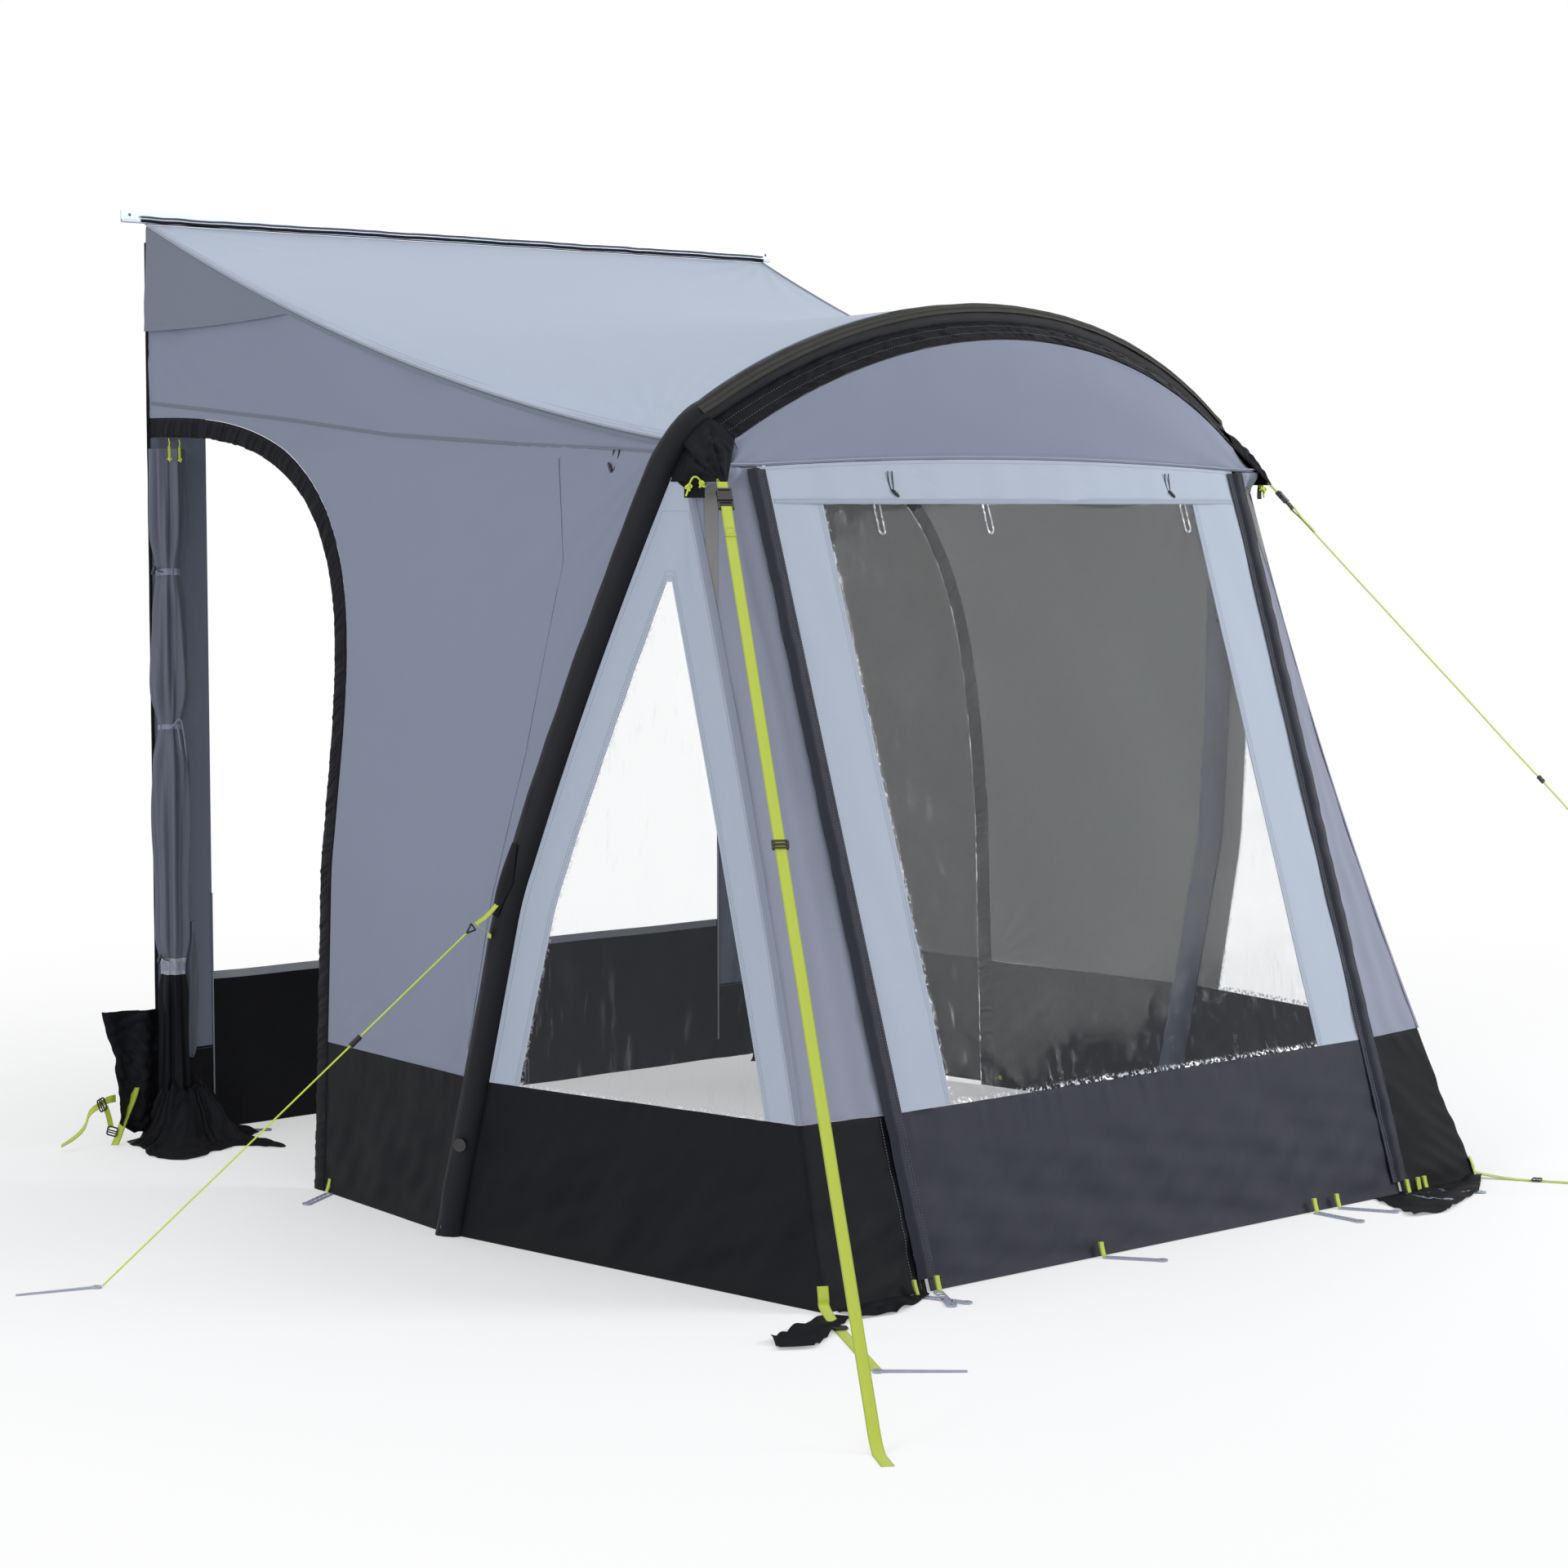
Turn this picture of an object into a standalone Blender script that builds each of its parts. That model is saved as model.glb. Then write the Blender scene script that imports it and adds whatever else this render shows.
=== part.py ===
"""Inflatable caravan awning: one leaning air arch, a roof that runs back to the caravan's rail,
side walls with arched doors, clear bay windows, and a front panel that zips out.

Metres, +Z up. The shapes are drawn with Y = 0 on the caravan's wall, X to the right seen from the
front and the front towards -Y. One empty then carries them so that the origin is the centre of the
ground that the awning and its storm straps cover.
"""

import math

import bmesh
import bpy
import numpy as np
from mathutils import Matrix, Vector

# Overall sizes
RAIL_HEIGHT = 2.50          # fabric edge at the rail, above the ground
REAR_HALF = 1.10            # half of the fabric's width at the rail
FRONT_DEPTH = 2.784         # caravan wall to the foot of the front wall
FRONT_HALF = 1.138          # half width at the front corners, on the ground
FRONT_SLOPE = 0.322         # how far the front wall leans back for each metre of height

# Cloth, its seams and clearances
CLOTH = 0.0025              # thickness of a panel
FILM = 0.0020               # thickness of a window
GAP = 0.0004                # between pieces that meet
SEAM_GAP = 0.0006           # between two panels of one surface
FOLD_SETBACK = 0.0024       # each side of a folded seam, so that the inner faces stay clear

# Arch
ARCH_FOOT_Y = -1.590        # arch plane where it meets the ground
ARCH_LEAN = 0.245           # forward lean for each metre of height
ARCH_FOOT_HALF = 1.260      # centre of the leg at the ground
ARCH_KNEE_HALF = 1.222      # centre of the leg at its knee
ARCH_KNEE_Z = 0.84
ARCH_SHOULDER_HALF = 0.9485
ARCH_TOP_Z = 2.189          # centre of the tube at the apex
ARCH_TOP_RADIUS = 1.624
SHOULDER_FILLET = 0.25
KNEE_FILLET = 0.60
LEG_BULGE = 0.014           # outward bow of the upper leg
TUBE_RADIUS = 0.0355        # inflated tube
SLEEVE_WALL = 0.0020
TUBE_CLEARANCE = 0.0005
TUBE_SIDES = 12
TUBE_FOOT = 0.020           # lower end of the tube above the ground
SLEEVE_INNER = TUBE_RADIUS + TUBE_CLEARANCE
SLEEVE_RADIUS = SLEEVE_INNER + SLEEVE_WALL

# Valve at the foot of the left leg
VALVE_Z = 0.23
VALVE_RADIUS = 0.012
VALVE_HOLE_RADIUS = 0.0135
VALVE_PROUD = 0.007
CAP_RADIUS = 0.016
CAP_HEIGHT = 0.006

# Roof
ROOF_EDGE_SAG = 0.075       # hollow of the roof's side edge
ROOF_MIDDLE_SAG = 0.035     # more hollow in the middle of the roof
ROOF_SIDE_Z = 1.872         # roof's side edge at the arch
WALL_UNDER_ROOF = 0.0075    # top edge of the side wall below the roof's outer face
FLAP_DROP = 0.29            # turned-down corner flap at the rail
FLAP_LENGTH = 0.62          # distance in which the flap runs out
HEM_DROP = 0.014            # turned-down hem along the rest of the edge
ROOF_ROWS = 12

# Rail and bead
RAIL_LEFT = -1.176
RAIL_RIGHT = 1.138
RAIL_PLATE = 0.003
RAIL_TALL = 0.034
BEAD_RADIUS = 0.0030
BEAD_BORE = 0.0036
BEAD_WALL = 0.0018
BEAD_SLOT = 0.0034          # width of the slot that the bead's tongue leaves by
BEAD_TONGUE = 0.0018
TONGUE_PROUD = 0.0012       # tongue past the rail's slot
SLOT_HEADING = 250.0        # degrees from straight back, over the top: forward and down
BEAD_OVERHANG = 0.006       # bead past the fabric at each side

# Side walls and doors
BAND_TOP = 0.380            # top of the dark lower band
DOOR_FRONT = 0.960          # front edge of the cut-out from the caravan wall
DOOR_TOP = 1.968
DOOR_SPRING = 1.000         # height where the cut-out's arch begins
DOOR_SQUARENESS = 2.9       # 2 would be an ellipse
WALL_REAR = 0.004           # rear edge of the side wall from the caravan wall
TRIM_WIDTH = 0.052
TRIM_REAR = 0.006
TRIM_THICK = 0.004
TRIM_SWELL = 0.0018         # rise of the trim's middle, and of every other gather
TRIM_GATHER = 0.0010
PILLAR_WIDTH = 0.175
PILLAR_TOP = 2.44
PILLAR_BACK = 0.0016        # pillar's rear face from the caravan wall
LEAF_HINGE = 0.034          # hinge line of the closed leaf from the caravan wall
LEAF_FOOT = 0.012           # leaf's lower edge above the ground
DOOR_ZIP_Z = 0.42           # slider on the closed leaf's zip
DOOR_SLIDER_HALF = 0.0055
DOOR_SLIDER_PROUD = 0.0013
DOOR_SLIDER_INSET = 0.0065  # slider's middle from the leaf's edge, on the leaf
DOOR_SLIDER_THICK = 0.0043

# Front corners and bays
FRONT_EDGE_TOP_HALF = 0.966
FRONT_EDGE_TOP_Y = -2.134
FRONT_EDGE_TOP_Z = 1.764
FRONT_EDGE_BOW_X = 0.036
FRONT_EDGE_BOW_Y = 0.018
BAY_FRAME = 0.095           # width of the cloth round a bay window
BAY_APEX_WIDTH = 0.014
ZIP_HALF = 0.8265           # centre of the front zips
ZIP_SLOT = 0.0120           # free width between the two panels
SLIDER_SIDE_GAP = 0.0004
SLIDER_OUTER = -0.0002      # slider's outer face from the front's plane, under the zip cover
SLIDER_INNER = -0.0072
CORNER_SETBACK = 0.0014     # corner panel's zip edge from the slot, as it meets the slot at a slant
FRONT_SLIDER_Z = 0.060      # sliders rest near the foot of their slots
COVER_WIDTH = 0.055
COVER_BULGE = 0.0085
HEADER_Z = 1.820            # seam that the front panel hangs from
WINDOW_TOP = 1.735
WINDOW_HALF = 0.640

# Gable
GABLE_BAND_DROP = 0.027     # inner edge of the band, towards the arch's centre
GABLE_BAND_FORWARD = 0.073  # and forward of the sleeve
GABLE_CLEAR = 0.0007         # band's rear edge from the sleeve
GABLE_LOWEST = 1.872        # height of the tube's centre where the band ends
GABLE_SWELL = 0.012         # outward swell of the panel

# Skirt
SKIRT_TOP = 0.440
SKIRT_FOLDS = 5
SKIRT_FOLD_DEPTH = 0.006

# Storm straps
TIP_HALF = 0.948            # tip of the shoulder patch
TIP_Y = -2.225
TIP_Z = 1.785
STRAP_END_HALF = 1.800      # where the strap meets the ground
STRAP_END_Y = -3.660
STRAP_WIDTH = 0.025
STRAP_THICK = 0.0016
STRAP_FOOT = 0.060          # flat stretch on the ground
TAIL_LENGTH = 0.085         # doubled stretch below the buckle
SLIDER_SHARE = 0.42         # place of the slider along the strap
STRAP_SLIDER = (0.0185, 0.022, 0.0075)  # slider's half width, length and thickness
PATCH_THICK = 0.003
PATCH_LOW = 1.800           # where the patch's lower corner meets the leg

# Buckle, in its own frame: X across, Y along the strap from the tip, Z through it
BUCKLE_START = 0.024
TONGUE_IN = 0.003           # end of the patch's tongue inside the socket half
TONGUE_CLEAR = 0.0004       # channel in the socket half, past the tongue on each side
FEMALE_LENGTH = 0.036
FEMALE_WIDTH = 0.036
FEMALE_THICK = 0.0115
FEMALE_WALL = 0.0020
MALE_THICK = 0.0062
MALE_BODY = 0.024
MALE_REACH = 0.021          # prongs inside the female half
PRONG = 0.0050
PLUG_SLOTS = ((0.0050, 0.0100), (0.0140, 0.0200))  # between the plug's bars, from its shoulder
END_BAR = 0.0220            # middle of the plug's last bar from its shoulder
LOOP_INNER = 0.0040         # inside radius of the webbing's turn round that bar

# Corner straps, pegs, ladders
CORNER_RUN = 0.50
CORNER_HEADING = (0.50, -0.86)  # outwards and forwards
PEG_HEADING = (0.747, -0.665)   # inwards and forwards
PEG_LENGTH = 0.18
PEG_HEAD = 0.012
PEG_THICK = 0.005
LADDER_LENGTH = 0.125
LADDER_WIDTH = 0.022
LADDER_THICK = 0.0035
LADDER_RAIL = 0.0040
LADDER_RUNGS = 5
LADDER_CLEAR = 0.0009       # hook bar from the cloth it hangs on
LADDER_DOOR_Y = -1.00

# Guy line on the left leg
GUY_LEG_Z = 0.850
GUY_END = (-2.174, -1.537)
GUY_RADIUS = 0.0020
GUY_LOOP_REACH = 0.046      # loop's tip from the sleeve's surface
GUY_LOOP_FEET = (0.062, 0.018)  # its sewn ends above and below its tip, along the leg
GUY_SAG = 0.0006
GUY_END_SHORT = 0.0012      # line's end from the centre of the peg's near side
RUNNER_SHARE = 0.30
RUNNER_LENGTH = 0.032
RUNNER_CLEAR = 0.0008       # runner's bore past the cord
RUNNER_WALL = 0.0026

# Left curtain and rear flaps
CURTAIN_X = -1.036
CURTAIN_Y = -0.0662
CURTAIN_TOP = 1.885
CURTAIN_RADIUS = 0.047
CURTAIN_LOBES = 6
CURTAIN_TIES = (1.55, 1.13, 0.47)
CURTAIN_DRAWN = 0.38        # share of its radius that a tie takes
LEFT_FLAP = (0.30, 0.24)    # height of the left flap at the pillar, and how far it spills
RIGHT_FLAP = (0.22, 0.14)

COLOURS = {
    "pale": ((0.50, 0.55, 0.63), 0.75, 0.0),
    "grey": ((0.21, 0.24, 0.31), 0.78, 0.0),
    "dark": ((0.018, 0.019, 0.022), 0.75, 0.0),
    "film": ((0.60, 0.64, 0.68), 0.15, 0.0),
    "lime": ((0.55, 0.68, 0.12), 0.70, 0.0),
    "plastic": ((0.02, 0.02, 0.022), 0.40, 0.0),
    "clear": ((0.55, 0.60, 0.68), 0.35, 0.0),
    "rail": ((0.62, 0.66, 0.72), 0.45, 0.0),
    "tube": ((0.09, 0.10, 0.12), 0.45, 0.0),
}

ARCH_NORMAL = np.array([0.0, 1.0, ARCH_LEAN]) / math.hypot(1.0, ARCH_LEAN)


# Small tools

def clear_scene():
    for old in list(bpy.data.objects):
        bpy.data.objects.remove(old, do_unlink=True)


def finish_for(name, kind):
    colour, rough, metal = COLOURS[kind]
    material = bpy.data.materials.new(name)
    material.use_nodes = True
    shader = material.node_tree.nodes["Principled BSDF"]
    shader.inputs["Base Color"].default_value = (*colour, 1.0)
    shader.inputs["Roughness"].default_value = rough
    shader.inputs["Metallic"].default_value = metal
    return material


def add_object(name, vertices, faces, kind, pivot=(0.0, 0.0, 0.0), smooth=35.0):
    """A mesh object whose origin is the pivot, faces outward, carried by the awning's empty."""
    mesh = bpy.data.meshes.new(name)
    mesh.from_pydata([tuple(v) for v in np.asarray(vertices) - np.array(pivot)], [], faces)
    tidy = bmesh.new()
    tidy.from_mesh(mesh)
    bmesh.ops.remove_doubles(tidy, verts=tidy.verts, dist=1e-6)
    bmesh.ops.recalc_face_normals(tidy, faces=tidy.faces)
    tidy.to_mesh(mesh)
    tidy.free()
    mesh.shade_smooth()
    mesh.set_sharp_from_angle(angle=math.radians(smooth))
    mesh.materials.append(finish_for(name, kind))
    made = bpy.data.objects.new(name, mesh)
    bpy.context.scene.collection.objects.link(made)
    made.parent = bpy.data.objects["awning"]
    made.location = pivot
    return made


def unit(v):
    v = np.asarray(v, float)
    return v / np.linalg.norm(v)


def lerp(a, b, t):
    return a + (b - a) * t


def mirrored(points):
    return np.asarray(points) * np.array([-1.0, 1.0, 1.0])


def grid_faces(rows, columns, start=0, wrap=False):
    faces = []
    for i in range(rows - 1):
        for j in range(columns if wrap else columns - 1):
            k = (j + 1) % columns
            faces.append((start + i * columns + j, start + i * columns + k,
                          start + (i + 1) * columns + k, start + (i + 1) * columns + j))
    return faces


def halved(faces):
    """Each four-sided face as two triangles, cut along the diagonal from its first corner."""
    return [half for a, b, c, d in faces for half in ((a, b, c), (a, c, d))]


def grid_normals(points, hint):
    """Mitred normals of a grid, turned to the side that the hint points to."""
    rows, columns = points.shape[:2]
    total = np.zeros_like(points)
    cells = np.zeros((rows - 1, columns - 1, 3))
    for i in range(rows - 1):
        for j in range(columns - 1):
            a, b = points[i, j], points[i + 1, j + 1]
            c, d = points[i + 1, j], points[i, j + 1]
            cells[i, j] = unit(np.cross(b - a, d - c))
    for i in range(rows - 1):
        for j in range(columns - 1):
            for p, q in ((i, j), (i + 1, j), (i, j + 1), (i + 1, j + 1)):
                total[p, q] += cells[i, j]
    for i in range(rows):
        for j in range(columns):
            mean = unit(total[i, j])
            near = [cells[p, q] for p in (i - 1, i) for q in (j - 1, j)
                    if 0 <= p < rows - 1 and 0 <= q < columns - 1]
            share = max(0.5, float(np.mean([mean @ n for n in near])))
            total[i, j] = mean / share
    if np.sum(total * np.asarray(hint)) < 0.0:
        total = -total
    return total


def rim_faces(rows, columns):
    """Faces round the edge, between a grid and its copy that follows it in the list of points."""
    count = rows * columns
    rim = [(0, j) for j in range(columns)] + [(i, columns - 1) for i in range(1, rows)]
    rim += [(rows - 1, j) for j in range(columns - 2, -1, -1)] + [(i, 0) for i in range(rows - 2, 0, -1)]
    rim = [i * columns + j for i, j in rim]
    return [(b, a, a + count, b + count) for a, b in zip(rim, rim[1:] + rim[:1])]


def sheet(name, points, kind, hint, thick=CLOTH, pivot=(0.0, 0.0, 0.0), floor=None):
    """Closed cloth of one thickness: the grid is its outer face, the hint points outwards. Both
    faces are cut along the same diagonals, so that a twisted cell keeps its thickness."""
    points = np.asarray(points, float)
    rows, columns = points.shape[:2]
    inner = points - grid_normals(points, hint) * thick
    if floor is not None:
        inner[..., 2] = np.maximum(inner[..., 2], floor)
        low = points[..., 2] < floor + 1e-5
        inner[low, 2] = floor
    count = rows * columns
    faces = halved(grid_faces(rows, columns))
    faces += [f[::-1] for f in halved(grid_faces(rows, columns, count))]
    faces += rim_faces(rows, columns)
    vertices = np.concatenate([points.reshape(-1, 3), inner.reshape(-1, 3)])
    return add_object(name, vertices, faces, kind, pivot)


def ruled(first, second, columns):
    """Grid of straight lines between two curves with the same number of points."""
    first, second = np.asarray(first, float), np.asarray(second, float)
    shares = np.linspace(0.0, 1.0, columns)
    return np.stack([lerp(first, second, t) for t in shares], axis=1)


def swept_tube(centres, radius, sides, across):
    """Rings of a round tube along a path in a plane; across is that plane's normal."""
    centres = np.asarray(centres, float)
    ahead = np.gradient(centres, axis=0)
    rings = []
    for centre, run in zip(centres, ahead):
        side = unit(np.cross(unit(run), across))
        turns = np.linspace(0.0, 2.0 * math.pi, sides, endpoint=False)
        rings.append([centre + radius * (math.cos(a) * side + math.sin(a) * across) for a in turns])
    return np.array(rings)


def slide_to_height(ring, run, height):
    """Moves a ring's points along the tube until all lie at one height."""
    ring += ((height - ring[:, 2]) / run[2])[:, None] * run


def prism(outline, low, high):
    """Vertices and faces of a flat outline carried from low to high along its own Z."""
    count = len(outline)
    vertices = [(x, y, low) for x, y in outline] + [(x, y, high) for x, y in outline]
    faces = [tuple(range(count))[::-1], tuple(range(count, 2 * count))]
    for a in range(count):
        b = (a + 1) % count
        faces.append((a, b, b + count, a + count))
    return np.array(vertices), faces


def arc(centre, radius, start, end, count):
    turns = np.radians(np.linspace(start, end, count))
    return [(centre[0] + radius * math.cos(a), centre[1] + radius * math.sin(a)) for a in turns]


def cut(target, vertices, faces, name, operation="DIFFERENCE"):
    """A Boolean with a mesh that only serves as its tool."""
    tool = add_object(name, vertices, faces, "dark")
    tool.hide_render = True
    tool.display_type = "WIRE"
    tool.parent = target.parent
    change = target.modifiers.new(name, "BOOLEAN")
    change.operation = operation
    change.object = tool
    return tool


def cylinder_between(start, end, radius, sides=16):
    start, end = np.asarray(start, float), np.asarray(end, float)
    along = unit(end - start)
    side = unit(np.cross(along, (0.0, 0.0, 1.0) if abs(along[2]) < 0.9 else (1.0, 0.0, 0.0)))
    up = np.cross(along, side)
    turns = np.linspace(0.0, 2.0 * math.pi, sides, endpoint=False)
    ring = [radius * (math.cos(a) * side + math.sin(a) * up) for a in turns]
    vertices = np.array([start + r for r in ring] + [end + r for r in ring])
    faces = [tuple(range(sides))[::-1], tuple(range(sides, 2 * sides))]
    faces += [(a, (a + 1) % sides, (a + 1) % sides + sides, a + sides) for a in range(sides)]
    return vertices, faces


# Where the arch runs

def fillet(before, corner, after, radius, count):
    """Arc that rounds a corner of a flat path."""
    before, corner, after = (np.asarray(p, float) for p in (before, corner, after))
    into, out = unit(corner - before), unit(after - corner)
    turn = math.acos(max(-1.0, min(1.0, float(into @ out))))
    reach = radius * math.tan(turn / 2.0)
    start = corner - into * reach
    side = out - into * (into @ out)
    centre = start + unit(side) * radius
    spokes = start - centre
    other = corner + out * reach - centre
    shares = np.linspace(0.0, 1.0, count)
    return [centre + (math.sin((1 - s) * turn) * spokes + math.sin(s * turn) * other) / math.sin(turn)
            for s in shares]


def arch_half():
    """Centre line of the right half in (half width, height), from the ground to the apex."""
    foot = np.array([ARCH_FOOT_HALF, 0.0])
    knee = np.array([ARCH_KNEE_HALF, ARCH_KNEE_Z])
    middle_z = ARCH_TOP_Z - ARCH_TOP_RADIUS
    rise = math.sqrt(ARCH_TOP_RADIUS ** 2 - ARCH_SHOULDER_HALF ** 2)
    shoulder = np.array([ARCH_SHOULDER_HALF, middle_z + rise])
    start_turn = math.asin(ARCH_SHOULDER_HALF / ARCH_TOP_RADIUS)
    tangent = np.array([-math.cos(start_turn), math.sin(start_turn)])
    knee_arc = fillet(foot, knee, shoulder, KNEE_FILLET, 3)
    shoulder_arc = fillet(knee, shoulder, shoulder + tangent, SHOULDER_FILLET, 5)
    leg = []
    for share in np.linspace(0.0, 1.0, 5)[1:-1]:
        point = lerp(knee_arc[-1], shoulder_arc[0], share)
        leg.append(point + np.array([4.0 * LEG_BULGE * share * (1.0 - share), 0.0]))
    first_top = math.asin(shoulder_arc[-1][0] / ARCH_TOP_RADIUS)
    top = [(ARCH_TOP_RADIUS * math.sin(a), middle_z + ARCH_TOP_RADIUS * math.cos(a))
           for a in np.linspace(first_top, 0.0, 7)[1:]]
    low = [lerp(foot, knee_arc[0], s) for s in (0.0, 0.4, 0.75)]
    return np.array(low + knee_arc + leg + shoulder_arc + top)


ARCH_HALF = arch_half()
ROOF_SIDE_HALF = float(np.interp(ROOF_SIDE_Z, ARCH_HALF[:, 1], ARCH_HALF[:, 0]))


def arch_y(z):
    return ARCH_FOOT_Y - ARCH_LEAN * z


def leg_half(z):
    """Half width of the leg's centre line; above the shoulder it stays at the roof's edge."""
    width = np.interp(z, ARCH_HALF[:, 1], ARCH_HALF[:, 0])
    return np.maximum(width, ROOF_SIDE_HALF)


def arch_centres():
    """Centre line from the left foot over the apex to the right foot."""
    left = ARCH_HALF * np.array([-1.0, 1.0])
    flat = np.concatenate([left, ARCH_HALF[-2::-1]])
    return np.stack([flat[:, 0], arch_y(flat[:, 1]), flat[:, 1]], axis=1)


def leg_side(z, forward):
    """Point of the right leg's side, just clear of the sleeve: rear for -1, front for +1."""
    centre = np.array([float(leg_half(z)), float(arch_y(z)), z])
    return centre - forward * ARCH_NORMAL * (SLEEVE_RADIUS + GAP)


def leg_side_at_height(z, forward):
    """The same point moved along the leg until it lies at the height that is asked for."""
    shift = forward * ARCH_NORMAL[2] * (SLEEVE_RADIUS + GAP)
    point = leg_side(z + shift, forward)
    point[2] = z
    return point


def top_frames(lowest):
    """The sleeve's own places along the top of the arch, from one height round to the same height
    on the other side, with the outward direction at each."""
    centres = arch_centres()
    ahead = np.gradient(centres, axis=0)
    radial = np.array([-unit(np.cross(unit(run), ARCH_NORMAL)) for run in ahead])
    if radial[len(radial) // 2][2] < 0.0:
        radial = -radial
    above = np.nonzero(centres[:, 2] > lowest + 0.004)[0]
    low, high = above[0] - 1, above[-1] + 1
    share = (lowest - centres[low, 2]) / (centres[low + 1, 2] - centres[low, 2])
    picked = [lerp(centres[low], centres[low + 1], share), *centres[above],
              lerp(centres[high], centres[high - 1], share)]
    outward = [unit(lerp(radial[low], radial[low + 1], share)), *radial[above],
               unit(lerp(radial[high], radial[high - 1], share))]
    return np.array(picked), np.array(outward)


# Where the walls run

def wall_half(y, z):
    """Half width of the side wall: straight from the rear edge to the leg's centre line."""
    share = np.clip(y / arch_y(z), 0.0, 1.0)
    return lerp(REAR_HALF, leg_half(z), share)


def on_wall(y, z):
    y, z = np.asarray(y, float), np.asarray(z, float)
    return np.stack([wall_half(y, z), y, z], axis=-1)


def roof_front_curve():
    """Front edge of the roof, just clear of the sleeve: behind its top, and straight behind it at
    the shoulders."""
    centres, radial = top_frames(ROOF_SIDE_Z)
    share = np.abs(centres[:, :1] / centres[-1, 0]) ** 6
    lift = math.radians(45.0) * (1.0 - share)
    away = np.cos(lift) * ARCH_NORMAL + np.sin(lift) * radial
    return centres + (SLEEVE_RADIUS + CLOTH + 2.0 * GAP) * away


def rail_groove():
    return np.array([0.0, -(BEAD_BORE + BEAD_WALL), RAIL_HEIGHT - 0.004])


def bead_tongue_end():
    """Where the roof's cloth takes over from the bead's tongue."""
    heading = math.radians(SLOT_HEADING)
    reach = BEAD_BORE + BEAD_WALL + TONGUE_PROUD + GAP
    return rail_groove() + np.array([0.0, math.cos(heading), math.sin(heading)]) * reach


ROOF_FRONT = roof_front_curve()


def roof_sag(across, along):
    """How far the roof hangs below straight lines from the rail to the arch."""
    return 4.0 * along * (1.0 - along) * (ROOF_EDGE_SAG + ROOF_MIDDLE_SAG * (1.0 - across ** 2))


def roof_edge(share):
    """Side edge of the roof over the side wall, from the rail (0) to the arch (1)."""
    start, end = bead_tongue_end(), ROOF_FRONT[-1]
    y = lerp(start[1], end[1], share)
    z = lerp(start[2], end[2], share) - roof_sag(1.0, share)
    return np.array([float(wall_half(y, z - WALL_UNDER_ROOF)), y, z])


def front_edge(z):
    """Folded edge between the bay and the front corner."""
    share = z / FRONT_EDGE_TOP_Z
    bow = 4.0 * share * (1.0 - share)
    x = lerp(FRONT_HALF, FRONT_EDGE_TOP_HALF, share) - FRONT_EDGE_BOW_X * bow
    y = lerp(-FRONT_DEPTH, FRONT_EDGE_TOP_Y, share) + FRONT_EDGE_BOW_Y * bow
    return np.array([x, y, z])


def front_y(z):
    return -FRONT_DEPTH + FRONT_SLOPE * z


FRONT_NORMAL = unit((0.0, -1.0, FRONT_SLOPE))
FRONT_UP = unit((0.0, FRONT_SLOPE, 1.0))


def on_front(x, z, proud=0.0):
    return np.array([x, front_y(z), z]) + FRONT_NORMAL * proud


def door_path(inset, rear, foot):
    """Outline of a door in (depth, height): a squared-off quarter arch from the rear end of its top
    down to the spring line, then upright to the foot."""
    power = 2.0 / DOOR_SQUARENESS
    rise = DOOR_TOP - DOOR_SPRING
    path = []
    for turn in np.radians(np.linspace(90.0, 0.0, ROOF_ROWS + 1)):
        c, t = max(math.cos(turn), 0.0), math.sin(turn)
        spot = np.array([DOOR_FRONT * c ** power, rise * t ** power])
        slope = unit((c ** (2.0 - power) / DOOR_FRONT, t ** (2.0 - power) / rise))
        spot -= slope * inset
        path.append((-spot[0], DOOR_SPRING + spot[1]))
    path[0] = tuple(lerp(np.array(path[0]), np.array(path[1]), rear / -path[1][0]))
    path += [(-(DOOR_FRONT - inset), z) for z in np.linspace(DOOR_SPRING, foot, 6)[1:]]
    return np.array(path)


# Rail, bead, roof

def make_rail():
    """Plate with a round groove along its lower edge; the slot opens down and forward."""
    centre = rail_groove()[1:]
    opening = math.degrees(math.asin(BEAD_SLOT / 2.0 / BEAD_BORE))
    lip = opening * BEAD_BORE / (BEAD_BORE + BEAD_WALL)
    outer = arc(centre, BEAD_BORE + BEAD_WALL, 95.0, SLOT_HEADING - lip, 10)
    inner = arc(centre, BEAD_BORE, SLOT_HEADING - opening, SLOT_HEADING - 360.0 + opening, 16)
    outer_end = arc(centre, BEAD_BORE + BEAD_WALL, SLOT_HEADING + lip - 360.0, 0.0, 6)
    top = centre[1] + RAIL_TALL - BEAD_BORE - BEAD_WALL
    plate = [(0.0, top), (-RAIL_PLATE, top)]
    outline = plate + outer + inner + outer_end
    vertices, faces = prism(outline, RAIL_LEFT, RAIL_RIGHT)
    vertices = vertices[:, [2, 0, 1]]
    return add_object("awning_rail", vertices, faces, "rail")


def make_bead():
    """Round bead and its tongue, one profile along the rail."""
    centre = rail_groove()[1:]
    heading = math.radians(SLOT_HEADING)
    ahead = np.array([math.cos(heading), math.sin(heading)])
    side = np.array([-ahead[1], ahead[0]])
    spread = math.degrees(math.asin(BEAD_TONGUE / 2.0 / BEAD_RADIUS))
    around = arc(centre, BEAD_RADIUS, SLOT_HEADING + spread, SLOT_HEADING + 360.0 - spread, 12)
    reach = BEAD_BORE + BEAD_WALL + TONGUE_PROUD
    tongue = [centre + ahead * reach + side * BEAD_TONGUE / 2.0 * s for s in (-1.0, 1.0)]
    outline = [tuple(p) for p in around] + [tuple(p) for p in tongue]
    half = REAR_HALF + BEAD_OVERHANG
    vertices, faces = prism(outline, -half, half)
    return add_object("roof_bead", vertices[:, [2, 0, 1]], faces, "dark")


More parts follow.
